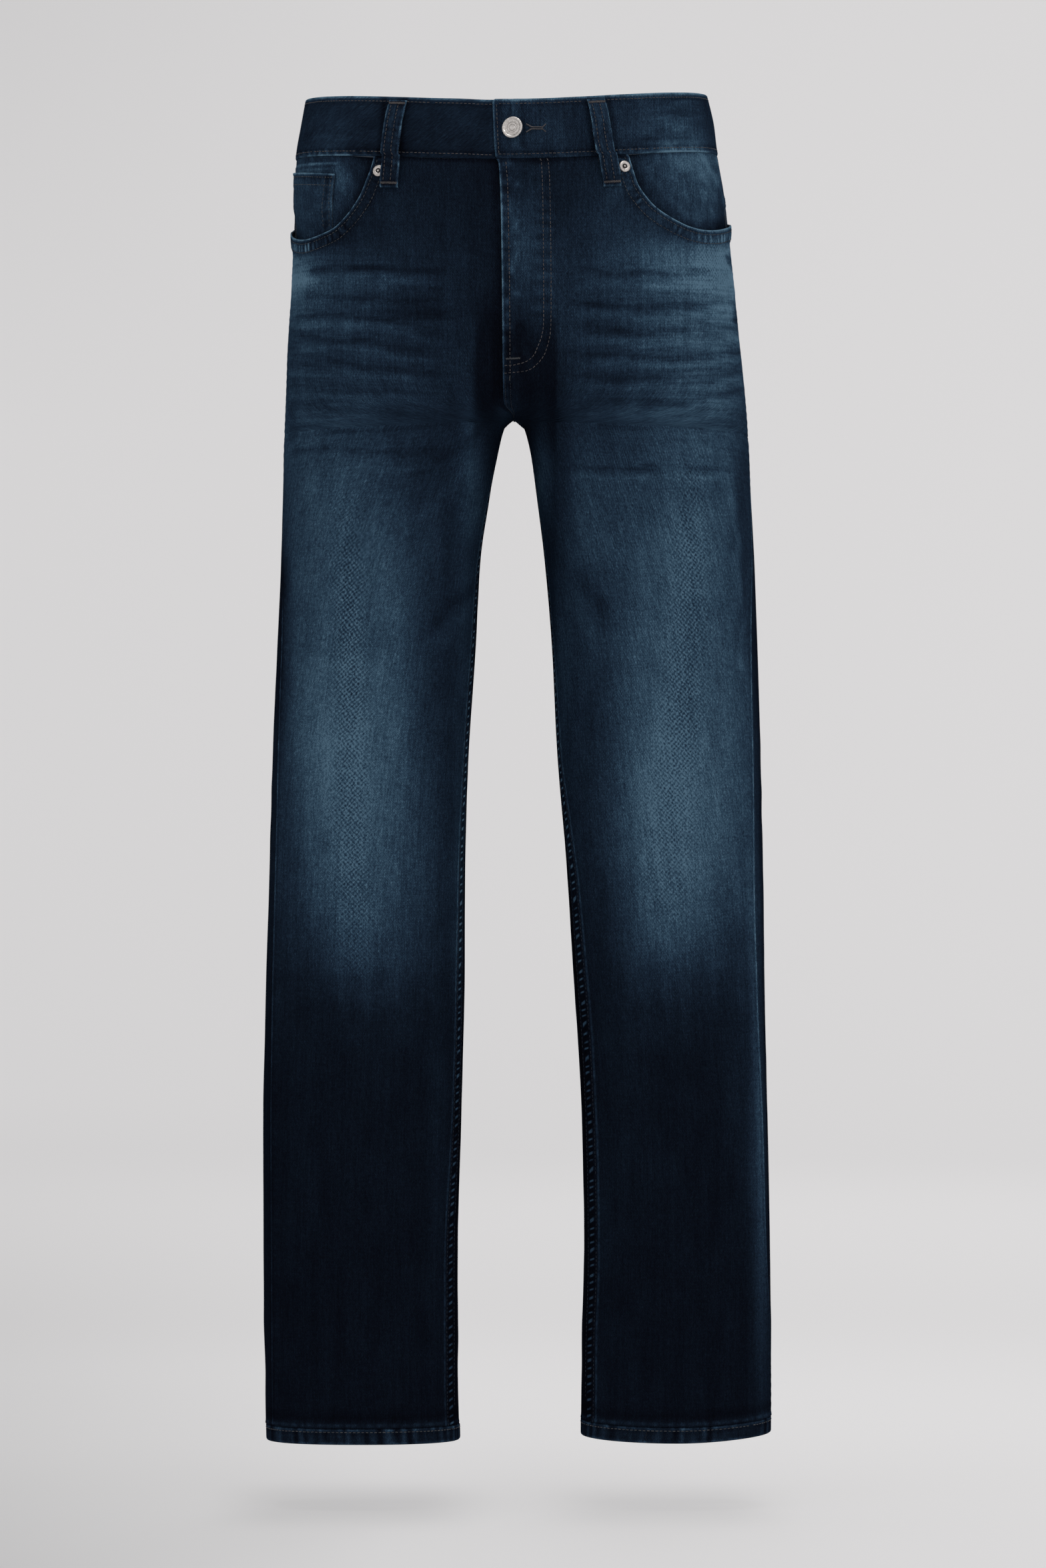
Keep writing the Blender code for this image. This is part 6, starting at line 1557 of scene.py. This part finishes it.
# ---------------------------------------------------------------- stitches
class Threads:
    """Many small stitches in one mesh: each a plump lens lying along its seam."""

    def __init__(self, name, colour):
        self.name, self.colour, self.points, self.faces, self.count = name, colour, [], [], 0
        self.random = np.random.default_rng(sum(map(ord, name)))

    def lens(self, centre, along, normal, length, width, lift=0.0):
        across = np.cross(normal, along)
        n = self.count
        rows = []
        for t, w in ((-0.5, 0.0), (-0.36, 0.8), (0.0, 1.0), (0.36, 0.8), (0.5, 0.0)):
            mid = centre + along * (t * length) + normal * (lift + 0.32 * width * (w - 0.55))
            if w == 0.0:
                rows.append([mid - normal * 0.25 * width])
                continue
            rows.append([mid + across * 0.5 * width * w, mid + normal * 0.42 * width * w,
                         mid - across * 0.5 * width * w, mid - normal * 0.5 * width * w])
        self.points += [p for r in rows for p in r]
        ring = lambda r: [n + 1 + 4 * r + k for k in range(4)]
        for k in range(4):
            self.faces.append((n, ring(0)[k], ring(0)[(k + 1) % 4]))
            for r in (0, 1):
                self.faces.append((ring(r)[k], ring(r + 1)[k], ring(r + 1)[(k + 1) % 4], ring(r)[(k + 1) % 4]))
            self.faces.append((n + 13, ring(2)[(k + 1) % 4], ring(2)[k]))
        self.count += 14

    def row(self, surface, places, pitch=3.3, length=2.65, width=0.62, lift=0.10, skip=0.0, closed=False):
        """Stitches along places on a surface; surface gives (points, normals, out) for (m, 2) places."""
        point, normal, out = surface(places)[:3]
        line = point + normal * out[:, None]
        step = np.linalg.norm(np.diff(line, axis=0), axis=1)
        run = np.concatenate([[0], np.cumsum(step)])
        count = int(run[-1] / pitch)
        if count < 1:
            return
        at = (np.arange(count) + 0.5) * run[-1] / count
        pick = lambda v, where: np.stack([np.interp(where, run, v[:, k]) for k in range(3)], 1)
        centre, n = pick(line, at), pick(normal, at)
        ahead = pick(line, at + 0.4) - pick(line, at - 0.4)
        for c, a, m in zip(centre, ahead, n):
            if self.random.random() < skip:
                continue
            a = a / max(np.linalg.norm(a), 1e-9)
            m = m - a * (m @ a)
            m /= max(np.linalg.norm(m), 1e-9)
            side = np.cross(m, a)
            a = a + side * self.random.normal(0, 0.05)
            a /= np.linalg.norm(a)
            self.lens(c + side * self.random.normal(0, 0.05), a, m, length * self.random.uniform(0.9, 1.06),
                      width * self.random.uniform(0.88, 1.1), lift)

    def bar(self, surface, a, b, width=1.9, pitch=0.62):
        """A bar tack from a to b: close stitches across the line."""
        places = np.linspace(a, b, 12)
        point, normal, out = surface(places)[:3]
        line = point + normal * out[:, None]
        run = np.concatenate([[0], np.cumsum(np.linalg.norm(np.diff(line, axis=0), axis=1))])
        pick = lambda v, where: np.stack([np.interp(where, run, v[:, k]) for k in range(3)], 1)
        count = max(2, int(run[-1] / pitch))
        at = (np.arange(count) + 0.5) * run[-1] / count
        for k, (c, m, ahead) in enumerate(zip(pick(line, at), pick(normal, at), pick(line, at + 0.3) - pick(line, at - 0.3))):
            ahead = ahead / max(np.linalg.norm(ahead), 1e-9)
            m = m / max(np.linalg.norm(m), 1e-9)
            side = np.cross(m, ahead)
            lean = side + ahead * (0.22 if k % 2 else -0.22)
            self.lens(c, lean / np.linalg.norm(lean), m, width * self.random.uniform(0.9, 1.1), 0.72, 0.22)

    def tube(self, line, radius, sides=5):
        """A loose thread along a line of points."""
        line = np.array(line, float)
        ahead = np.gradient(line, axis=0)
        ahead /= np.linalg.norm(ahead, axis=1, keepdims=True)
        ref = np.array((0.3, -0.9, 0.2))
        n = self.count
        for p, a in zip(line, ahead):
            u = np.cross(a, ref)
            u /= max(np.linalg.norm(u), 1e-9)
            v = np.cross(a, u)
            for k in range(sides):
                w = 2 * math.pi * k / sides
                self.points.append(p + radius * (u * math.cos(w) + v * math.sin(w)))
        for r in range(len(line) - 1):
            for k in range(sides):
                self.faces.append((n + r * sides + k, n + r * sides + (k + 1) % sides, n + (r + 1) * sides + (k + 1) % sides, n + (r + 1) * sides + k))
        self.faces.append(tuple(n + k for k in range(sides))[::-1])
        self.faces.append(tuple(n + (len(line) - 1) * sides + k for k in range(sides)))
        self.count += sides * len(line)

    def build(self):
        return add_mesh(self.name, np.array(self.points), self.faces, (self.colour,))


def on(face, side):
    return lambda places: face(side, places[:, 0], places[:, 1])


def beside(line, offset):
    """A line moved sideways by offset, to its left as it runs."""
    line = np.array(line, float)
    along = np.gradient(line, axis=0)
    return line + np.stack([-along[:, 1], along[:, 0]], 1) / np.hypot(*along.T)[:, None] * offset


def straight(a, b, count=40):
    return np.linspace(a, b, count)


body_thread, leg_thread = Threads("stitches_seams", "thread"), Threads("stitches_legs", "leg_thread")
mouth_thread = Threads("stitches_mouths", "mouth_thread")
for s in (1, -1):
    face = on(front_face, s)
    mouth_flat = flat_line(s, MOUTH_LINE[s][:, 0] / 220.0, MOUTH_LINE[s][:, 1])
    for depth in (3.7, 10.8):
        row = beside(mouth_flat, -depth)
        row = row[(row[:, 1] < WAIST_SEAM - 1.0) & (row[:, 0] < middle_of(s, row[:, 1]) - 1.5)]
        mouth_thread.row(face, row, skip=0.02, width=0.55)
    # inseams, twice
    h = np.linspace(-262, HEM_SEAM - 0.5, 400)
    for depth in (1.3, 6.6):
        place = read(INSEAM[s], "far", -h) + (depth - 7.7) * read(INSEAM[s], "k", -h)
        leg_thread.row(face, np.stack([start_of(s, h) + place, h], 1)[place > 0.6], pitch=3.2, length=2.6, width=0.5, lift=0.0, skip=0.03)
    # the outseam has no row of its own; the hem has one
    total = float(FORM.length(s, np.array(-1043.0), True))
    ring = np.stack([float(start_of(s, np.array(-1043.0))) + np.linspace(0.5, total - 0.5, 300), np.full(300, HEM_SEAM - 0.05 - 2.9)], 1)
    mouth_thread.row(on(hem_face, s), ring, pitch=3.4, length=2.7, width=0.75, lift=0.08, skip=0.02)

# fly: one row inside its edge, two round the J, and a bar tack
face = on(front_face, 1)
h = np.linspace(-28, -193, 120)
body_thread.row(face, np.stack([start_of(1, h) + 5.9, h], 1), width=0.66)
for key in ("inner", "outer"):
    line = FLY_LINES[key]
    body_thread.row(face, np.stack([start_of(1, line[:, 1]) + line[:, 0], line[:, 1]], 1), width=0.66)
u, hh = np.array((.010, .052)), np.array((-185.0, -184.6))
mouth_thread.bar(face, *flat_line(1, u, hh), width=1.6)
a = flat_line(1, np.array((0.020,)), np.array((-199.0,)))[0]
mouth_thread.bar(face, a, a + (0.4, 3.6), width=1.1)
h = np.linspace(-198, -246, 40)
leg_thread.row(face, np.stack([start_of(1, h) + 1.8, h], 1), width=0.5, lift=0.0)
leg_thread.row(face, np.stack([start_of(1, h) + 6.0, h], 1), width=0.5, lift=0.0)

# coin pocket
face = on(coin_face, -1)
for depth in (3.3, 9.6):
    uu = np.linspace(0.612, 0.98, 40)
    hh = np.interp(uu, COIN["u"][:2], COIN["h"][:2]) - depth
    mouth_thread.row(face, flat_line(-1, uu, hh), width=0.5)
for depth in (2.2, 7.6):
    hh = np.linspace(-42, -84, 40)
    mouth_thread.row(face, flat_line(-1, np.full(40, COIN["u"][0] + depth / 172), hh), width=0.5)

# waistband: along the top, along the bottom and down the tab's end
def band_line(side, h, low, high, count=300):
    arc = np.linspace(low, high, count)
    return np.stack([arc, np.full(count, h)], 1)


for s in (1, -1):
    face = on(band_face, s)
    total = float(FORM.length(s, np.array(0.0), True))
    low = float(start_of(s, np.array(0.0)))
    for h, skip in ((WAIST_TOP - 4.0, 0.015), (TOP + 3.65, 0.015)):
        begin = low + 3.6 if s > 0 else low + 0.6
        body_thread.row(face, band_line(s, h, begin, total - 0.2), skip=skip, width=0.6)
h = np.linspace(WAIST_TOP - 4.0, TOP + 3.8, 30)
body_thread.row(on(band_face, 1), np.stack([start_of(1, h) + 3.2, h], 1))

# hidden back: yokes, seat seam and patch pockets
for s in (1, -1):
    uu = np.linspace(1.01, 1.99, 80)
    for depth in (1.8, 7.0):
        body_thread.row(on(yoke_face, s), flat_line(s, uu, np.interp(uu, YOKE["u"], YOKE["h"]) + depth))
    ring = pocket_frame()
    centre = ring.mean(0)
    for depth in (1.8, 7.4):
        inner = []
        for k in range(1, 5):
            a, b = ring[k], ring[(k + 1) % 5]
            d = (b - a) / np.hypot(*(b - a))
            n = np.array((-d[1], d[0]))
            n *= np.sign(n @ (centre - a))
            inner.append((a + n * depth, b + n * depth))
        corners = [inner[0][0]]
        for (a, b), (c, e) in zip(inner[:-1], inner[1:]):
            m = np.array([b - a, c - e]).T
            t = np.linalg.solve(m, c - a)
            corners.append(a + (b - a) * t[0])
        corners.append(inner[-1][1])
        line = resample(corners, 2.0)
        line = line[pocket_sides(line[:, 0] / 200, line[:, 1])[0] > 1.2]
        body_thread.row(on(pocket_face, s), flat_line(s, line[:, 0] / 200, line[:, 1]))
    for depth in (3.6, 11.2):
        uu = np.linspace(BACK_POCKET["u"][0] + 0.012, BACK_POCKET["u"][1] - 0.012, 60)
        hh = np.interp(uu, BACK_POCKET["u"][:2], BACK_POCKET["h"][:2]) - depth
        body_thread.row(on(pocket_face, s), flat_line(s, uu, hh))
h = np.linspace(-100, -243, 90)
for depth in (1.8, 6.4):
    body_thread.row(on(back_face, 1), np.stack([end_of(1, h) - depth, h], 1))
h = np.linspace(-28, -96, 40)
for depth in (1.8, 6.4):
    body_thread.row(on(yoke_face, 1), np.stack([end_of(1, h) - depth, h], 1))

# belt loops: two rows down each and a bar tack at both ends
for k in range(5):
    surface = lambda places, k=k: loop_surface(k, places[:, 0], places[:, 1])
    for x in (-4.2, 1.6):
        body_thread.row(surface, straight((x, LOOP_TOP - 1.5), (x, LOOP_BOTTOM + 1.5)), width=0.55)
    for h in (LOOP_TOP - 3.0, LOOP_BOTTOM + 3.0):
        body_thread.bar(surface, (-6.6, h), (6.6, h), width=2.3, pitch=0.6)

# buttonhole: its purl runs from the button to the wearer's left and ends in a small fork
face = on(band_face, 1)
hole = Threads("buttonhole_thread", "purl")
a0 = flat_line(1, np.array((.1217, .1647)), np.array((-1.8, -2.2)))
for sign in (1, -1):
    line = np.concatenate([straight(a0[0] + (-2.6, 3.2 * sign), a0[0] + (1.6, 0.75 * sign), 10), straight(a0[0] + (1.6, 0.75 * sign), a0[1] + (0, 0.75 * sign), 12)[1:]])
    hole.row(face, line, pitch=0.6, length=1.1, width=1.15, lift=0.3)
    hole.row(face, straight(a0[1] + (0, 0.6 * sign), a0[1] + (2.7, 3.2 * sign), 8), pitch=0.6, length=1.0, width=1.1, lift=0.25)
hole.bar(face, a0[1] + (-0.2, -1.2), a0[1] + (-0.2, 1.2), width=1.6)

# loose threads
def wander(start, steps, seed, size=1.0, fall=0.5):
    rng = np.random.default_rng(seed)
    p, d, out = np.array(start, float), rng.normal(0, 1, 3), []
    for _ in range(steps):
        out.append(p.copy())
        d = 0.75 * d + 0.5 * rng.normal(0, 1, 3) + (0, 0, -fall)
        d[1] *= 0.4
        p = p + d / max(np.linalg.norm(d), 1e-6) * size
    return out


loose = Threads("loose_threads", "dark_thread")
BUILT_THREADS = [body_thread, leg_thread, mouth_thread, hole, loose]
def surface_point(face, side, u, h, lift):
    p = flat_line(side, np.array((u,)), np.array((h,)))
    point, normal, out, _ = face(side, p[:, 0], p[:, 1])
    return point[0] + normal[0] * (out[0] + lift)


for k, (h, lift) in enumerate(((-6, 7.5), (-12, 7.8), (-17, 7.5), (-24, 7.6), (-30, 7.4), (-38, 6.8))):
    point, normal, out, _ = loop_surface(1, np.array((-6.8,)), np.array((float(h),)))
    loose.tube(wander(point[0] + normal[0] * (out[0] + 0.1), 5 + k % 3, 300 + k, 0.8, 0.35), 0.16)
loose.tube(wander(surface_point(front_face, 1, 0.405, -42, 0.5), 12, 320, 0.9, 0.5), 0.14)
point, normal, out, _ = hem_face(1, *[np.array((v,)) for v in (float(start_of(1, np.array(-1050.0))) + 62.0, -1044.0)])
loose.tube(wander(point[0] + normal[0] * (out[0] + 0.3), 9, 322, 0.9, 0.6), 0.15)
for t in BUILT_THREADS:
    t.build()

# ---------------------------------------------------------------- button and rivets
BUTTON_R, BUTTON_T, RIVET_R, RIVET_T = 8.7, 3.0, 4.7, 1.5


def turned(profile, centre, normal, bands, steps=72):
    """A turned fitting: (radius, height) pairs spun round its axis, one material index a band of rows."""
    axis = np.array(normal, float) / np.linalg.norm(normal)
    across = np.cross((0.0, 0.0, 1.0), axis)
    across /= np.linalg.norm(across)
    up = np.cross(axis, across)
    w = 2 * math.pi * np.arange(steps) / steps
    points, faces, second = [centre + axis * profile[0][1]], [], []
    for r, z in profile[1:]:
        points += list(centre + axis * z + r * (np.cos(w)[:, None] * across + np.sin(w)[:, None] * up))
    for k in range(steps):
        faces.append((0, 1 + k, 1 + (k + 1) % steps))
        second.append(bands[0])
    for row in range(len(profile) - 2):
        a = 1 + row * steps
        for k in range(steps):
            n = (k + 1) % steps
            faces.append((a + k, a + steps + k, a + steps + n, a + n))
            second.append(bands[row + 1])
    return points, faces, second


def tilt(normal, degrees, toward):
    """A direction turned about the upright axis."""
    a = math.radians(degrees) * toward
    x, y, z = normal
    return np.array((x * math.cos(a) - y * math.sin(a), x * math.sin(a) + y * math.cos(a), z))


place = flat_line(1, np.array((BUTTON_AT["u"],)), np.array((BUTTON_AT["h"],)))
point, normal, out, _ = band_face(np.array((1,)), place[:, 0], place[:, 1])
axis = tilt(normal[0], 22, -1)
seat = point[0] + normal[0] * (out[0] + 0.3)
centre = seat + normal[0] * 1.6
profile = [(0, 2.42), (1.4, 2.42), (2.1, 2.38), (2.4, 2.2), (2.7, 2.2), (3.0, 2.38), (3.5, 2.42), (4.0, 2.40), (4.3, 2.22),
           (6.1, 2.22), (6.45, 2.4), (6.9, 2.72), (7.3, 2.92), (7.8, 3.0), (8.25, 2.85), (8.6, 2.4), (8.7, 1.8), (8.4, 1.1), (7.4, 0.7), (4.6, 0.5), (4.4, -1.5), (0.5, -1.5)]
bands = [0, 0, 0, 1, 0, 0, 0, 1, 0, 0, 0, 0, 0, 0, 0, 0, 0, 0, 1, 1, 1]
points, faces, second = turned(profile, centre, axis, bands)
# a ring of plain dots in the groove
across = np.cross((0.0, 0.0, 1.0), axis)
across /= np.linalg.norm(across)
up = np.cross(axis, across)
for k in range(18):
    w = 2 * math.pi * (k + 0.3) / 18
    middle = centre + axis * 2.2 + 5.15 * (math.cos(w) * across + math.sin(w) * up)
    base = len(points)
    for r, z in ((0.0, 0.24), (0.28, 0.20), (0.46, 0.10), (0.52, 0.0)):
        for j in range(8):
            v = 2 * math.pi * j / 8
            points.append(middle + axis * z + max(r, 0.02) * (math.cos(v) * across + math.sin(v) * up))
    for row in range(3):
        for j in range(8):
            faces.append((base + row * 8 + j, base + (row + 1) * 8 + j, base + (row + 1) * 8 + (j + 1) % 8, base + row * 8 + (j + 1) % 8))
            second.append(0)
    faces.append(tuple(base + j for j in range(8)))
    second.append(0)
button = add_mesh("button", np.array(points), faces, ("button", "recess"), second=second)
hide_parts("button")

for k, name in enumerate(RIVETS["name"]):
    s = RIVETS["side"][k]
    place = flat_line(s, np.array((RIVETS["u"][k],)), np.array((RIVETS["h"][k],)))
    point, normal, out, _ = front_face(s, place[:, 0], place[:, 1])
    profile = [(0, 1.5), (0.5, 1.45), (0.85, 1.2), (1.0, 0.7), (1.7, 0.6), (2.0, 1.0), (2.6, 1.25), (3.5, 1.3), (4.1, 1.15), (4.5, 0.8), (4.7, 0.35), (4.7, -0.4), (0.5, -0.4)]
    bands = [0, 0, 1, 1, 1, 0, 0, 0, 0, 0, 0, 0]
    points, faces, second = turned(profile, point[0] + normal[0] * (out[0] + 0.1), normal[0], bands, 48)
    rivet = add_mesh(name, np.array(points), faces, ("rivet", "hollow"), second=second)
    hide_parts(name)

# ---------------------------------------------------------------- each sheet's outline, shifted to run from a seam; nothing is kept
def declare(outline, zero):
    """A piece's outline shifted so that its widths run from a seam; nothing is kept or returned."""
    outline = outline - np.stack([zero(outline[:, 1]), 0 * outline[:, 1]], 1)


for s in (1, -1):
    own = name_of(s)
    from_start, from_middle = lambda h, s=s: start_of(s, h), lambda h, s=s: middle_of(s, h)
    declare(front_outline(s), from_start)
    declare(back_outline(s), from_middle)
    declare(yoke_outline(s), from_middle)
    declare(facing_outline(s), from_middle)
    declare(polygon_outline(s, BACK_POCKET), from_middle)
declare(polygon_outline(-1, COIN), lambda h: middle_of(-1, h))
for k in range(5):
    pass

# ---------------------------------------------------------------- a plain pale studio
GLOW, LIT = 0.656, 0.51      # how bright the paper is in all, and how much of that its lit share makes


def paper(rough=0.95):
    """Matt paper with a glow of its own, paler to the right and dimmer in the corner below left."""
    n = Nodes("studio_paper")
    place = n("ShaderNodeNewGeometry").outputs[0]
    part = n("ShaderNodeSeparateXYZ", {0: place})
    x, y, z = part.outputs[0], part.outputs[1], part.outputs[2]
    away = n.math("ADD", n.math("MAXIMUM", y, -4.5), 5.7)
    kept = lambda v: n.math("MAXIMUM", n.math("MINIMUM", v, 1.2), -1.2)
    ahead = n("ShaderNodeMapRange", {0: y, 1: -3.5, 2: -0.8, 3: 0.0, 4: 1.0}, interpolation_type="SMOOTHERSTEP").outputs[0]
    across = n.math("MULTIPLY", kept(n.math("DIVIDE", n.math("MULTIPLY", x, 14.7), away)), ahead)
    high = n.math("MULTIPLY", kept(n.math("DIVIDE", n.math("MULTIPLY", n.math("ADD", z, 0.528), 9.1), away)), ahead)
    near = n.math("SQRT", n.math("ADD", n.math("MULTIPLY", x, x), n.math("MULTIPLY", y, y)))
    matt = n("ShaderNodeMapRange", {0: near, 1: 0.45, 2: 2.4, 3: 0.27, 4: 0.08}, interpolation_type="SMOOTHERSTEP").outputs[0]
    low = n("ShaderNodeMapRange", {0: high, 1: -0.40, 2: -1.05, 3: 0.0, 4: 1.0}).outputs[0]
    left = n("ShaderNodeMapRange", {0: across, 1: -0.25, 2: -1.1, 3: 0.0, 4: 1.0}).outputs[0]
    glow = n.math("MULTIPLY_ADD", across, 0.018, GLOW)
    glow = n.math("MULTIPLY_ADD", n.math("MULTIPLY", high, high), -0.022, glow)
    glow = n.math("MULTIPLY_ADD", n.math("MULTIPLY", low, left), -0.13, glow)
    top = n("ShaderNodeMapRange", {0: high, 1: 0.45, 2: 1.1, 3: 0.0, 4: 1.0}).outputs[0]
    glow = n.math("MULTIPLY_ADD", n.math("MULTIPLY", top, left), -0.05, glow)
    glow = n.math("MULTIPLY_ADD", matt, -LIT, glow)
    for middle, half, depth in ((-0.125, 0.088, 0.052), (0.127, 0.080, 0.038)):       # the soft shadow under each hem
        wide = n("ShaderNodeMapRange", {0: n.math("ABSOLUTE", n.math("SUBTRACT", x, middle)), 1: half + 0.045, 2: half - 0.045, 3: 0.0, 4: 1.0}, interpolation_type="SMOOTHERSTEP").outputs[0]
        deep = n("ShaderNodeMapRange", {0: n.math("ABSOLUTE", y), 1: 0.25, 2: 0.02, 3: 0.0, 4: 1.0}, interpolation_type="SMOOTHERSTEP").outputs[0]
        glow = n.math("MULTIPLY_ADD", n.math("MULTIPLY", wide, deep), -depth, glow)
    grey = n("ShaderNodeCombineXYZ", {0: matt, 1: matt, 2: matt}).outputs[0]
    n.put(grey, n.shader.inputs["Base Color"])
    n.shader.inputs["Emission Color"].default_value = (1.0, 0.985, 0.990, 1)
    n.put(glow, n.shader.inputs["Emission Strength"])
    return n.finish(rough, 0.0)


def bowl(floor, flat, radius, top, steps=96):
    """A round studio: a floor that curves up all round into a wall."""
    line = [(r, floor) for r in np.linspace(0.01, flat, 6)]
    line += [(flat + radius * math.sin(a), floor + radius * (1 - math.cos(a))) for a in np.linspace(0, math.pi / 2, 20)[1:]]
    line.append((flat + radius, floor + top))
    points, faces = [], []
    for r, z in line:
        points += [(r * math.cos(w), r * math.sin(w), z) for w in 2 * math.pi * np.arange(steps) / steps]
    for k in range(len(line) - 1):
        for j in range(steps):
            n = (j + 1) % steps
            faces.append((k * steps + j, k * steps + n, (k + 1) * steps + n, (k + 1) * steps + j))
    faces.append(tuple(range(steps))[::-1])
    mesh = bpy.data.meshes.new("studio")
    mesh.from_pydata(points, [], faces)
    mesh.shade_smooth()
    mesh.materials.append(paper())
    obj = bpy.data.objects.new("studio", mesh)
    bpy.context.scene.collection.objects.link(obj)
    return obj


def sun(name, toward, strength, angle, colour=(1, 1, 1)):
    """A very soft far light that shines along a direction."""
    data = bpy.data.lights.new(name, "SUN")
    data.energy, data.angle, data.color = strength, math.radians(angle), colour
    obj = bpy.data.objects.new(name, data)
    obj.rotation_euler = Vector(toward).to_track_quat("-Z", "Y").to_euler()
    bpy.context.scene.collection.objects.link(obj)
    return obj


def area_light(name, place, aim, size, power, colour=(1, 1, 1)):
    data = bpy.data.lights.new(name, "AREA")
    data.shape, data.size, data.size_y, data.energy, data.color = "RECTANGLE", size[0], size[1], power, colour
    obj = bpy.data.objects.new(name, data)
    obj.location = place
    obj.rotation_euler = (Vector(aim) - Vector(place)).to_track_quat("-Z", "Y").to_euler()
    bpy.context.scene.collection.objects.link(obj)
    return obj


bowl(-1.106, 6.3, 4.5, 10.2)
sun("front", (-0.30, 1.0, -0.50), 2.6, 45)
sun("from_left", (-1.0, 0.55, -0.25), 0.9, 40)
sun("from_right", (1.0, 0.55, -0.25), 0.35, 40)
area_light("top", (0.10, -0.15, 2.6), (0.02, 0.1, -1.1), (2.2, 1.6), 22)
area_light("back_fill", (0.6, 4.2, 1.4), (0, 0, -0.5), (2.4, 2.4), 50)
world = bpy.data.worlds.new("studio_air")
bpy.context.scene.world = world
world.use_nodes = True
world.node_tree.nodes["Background"].inputs[0].default_value = (1.0, 1.0, 1.0, 1.0)
world.node_tree.nodes["Background"].inputs[1].default_value = 0.30

lens = bpy.data.cameras.new("camera")
lens.lens, lens.sensor_width, lens.sensor_fit, lens.clip_end = 163.2, 36.0, "AUTO", 60.0
camera = bpy.data.objects.new("camera", lens)
camera.location, camera.rotation_euler = (0.0128, -5.7, -0.5279), (math.radians(90), 0, 0)
bpy.context.scene.collection.objects.link(camera)
bpy.context.scene.camera = camera
bpy.context.scene.view_settings.view_transform = "Standard"

bpy.context.view_layer.update()
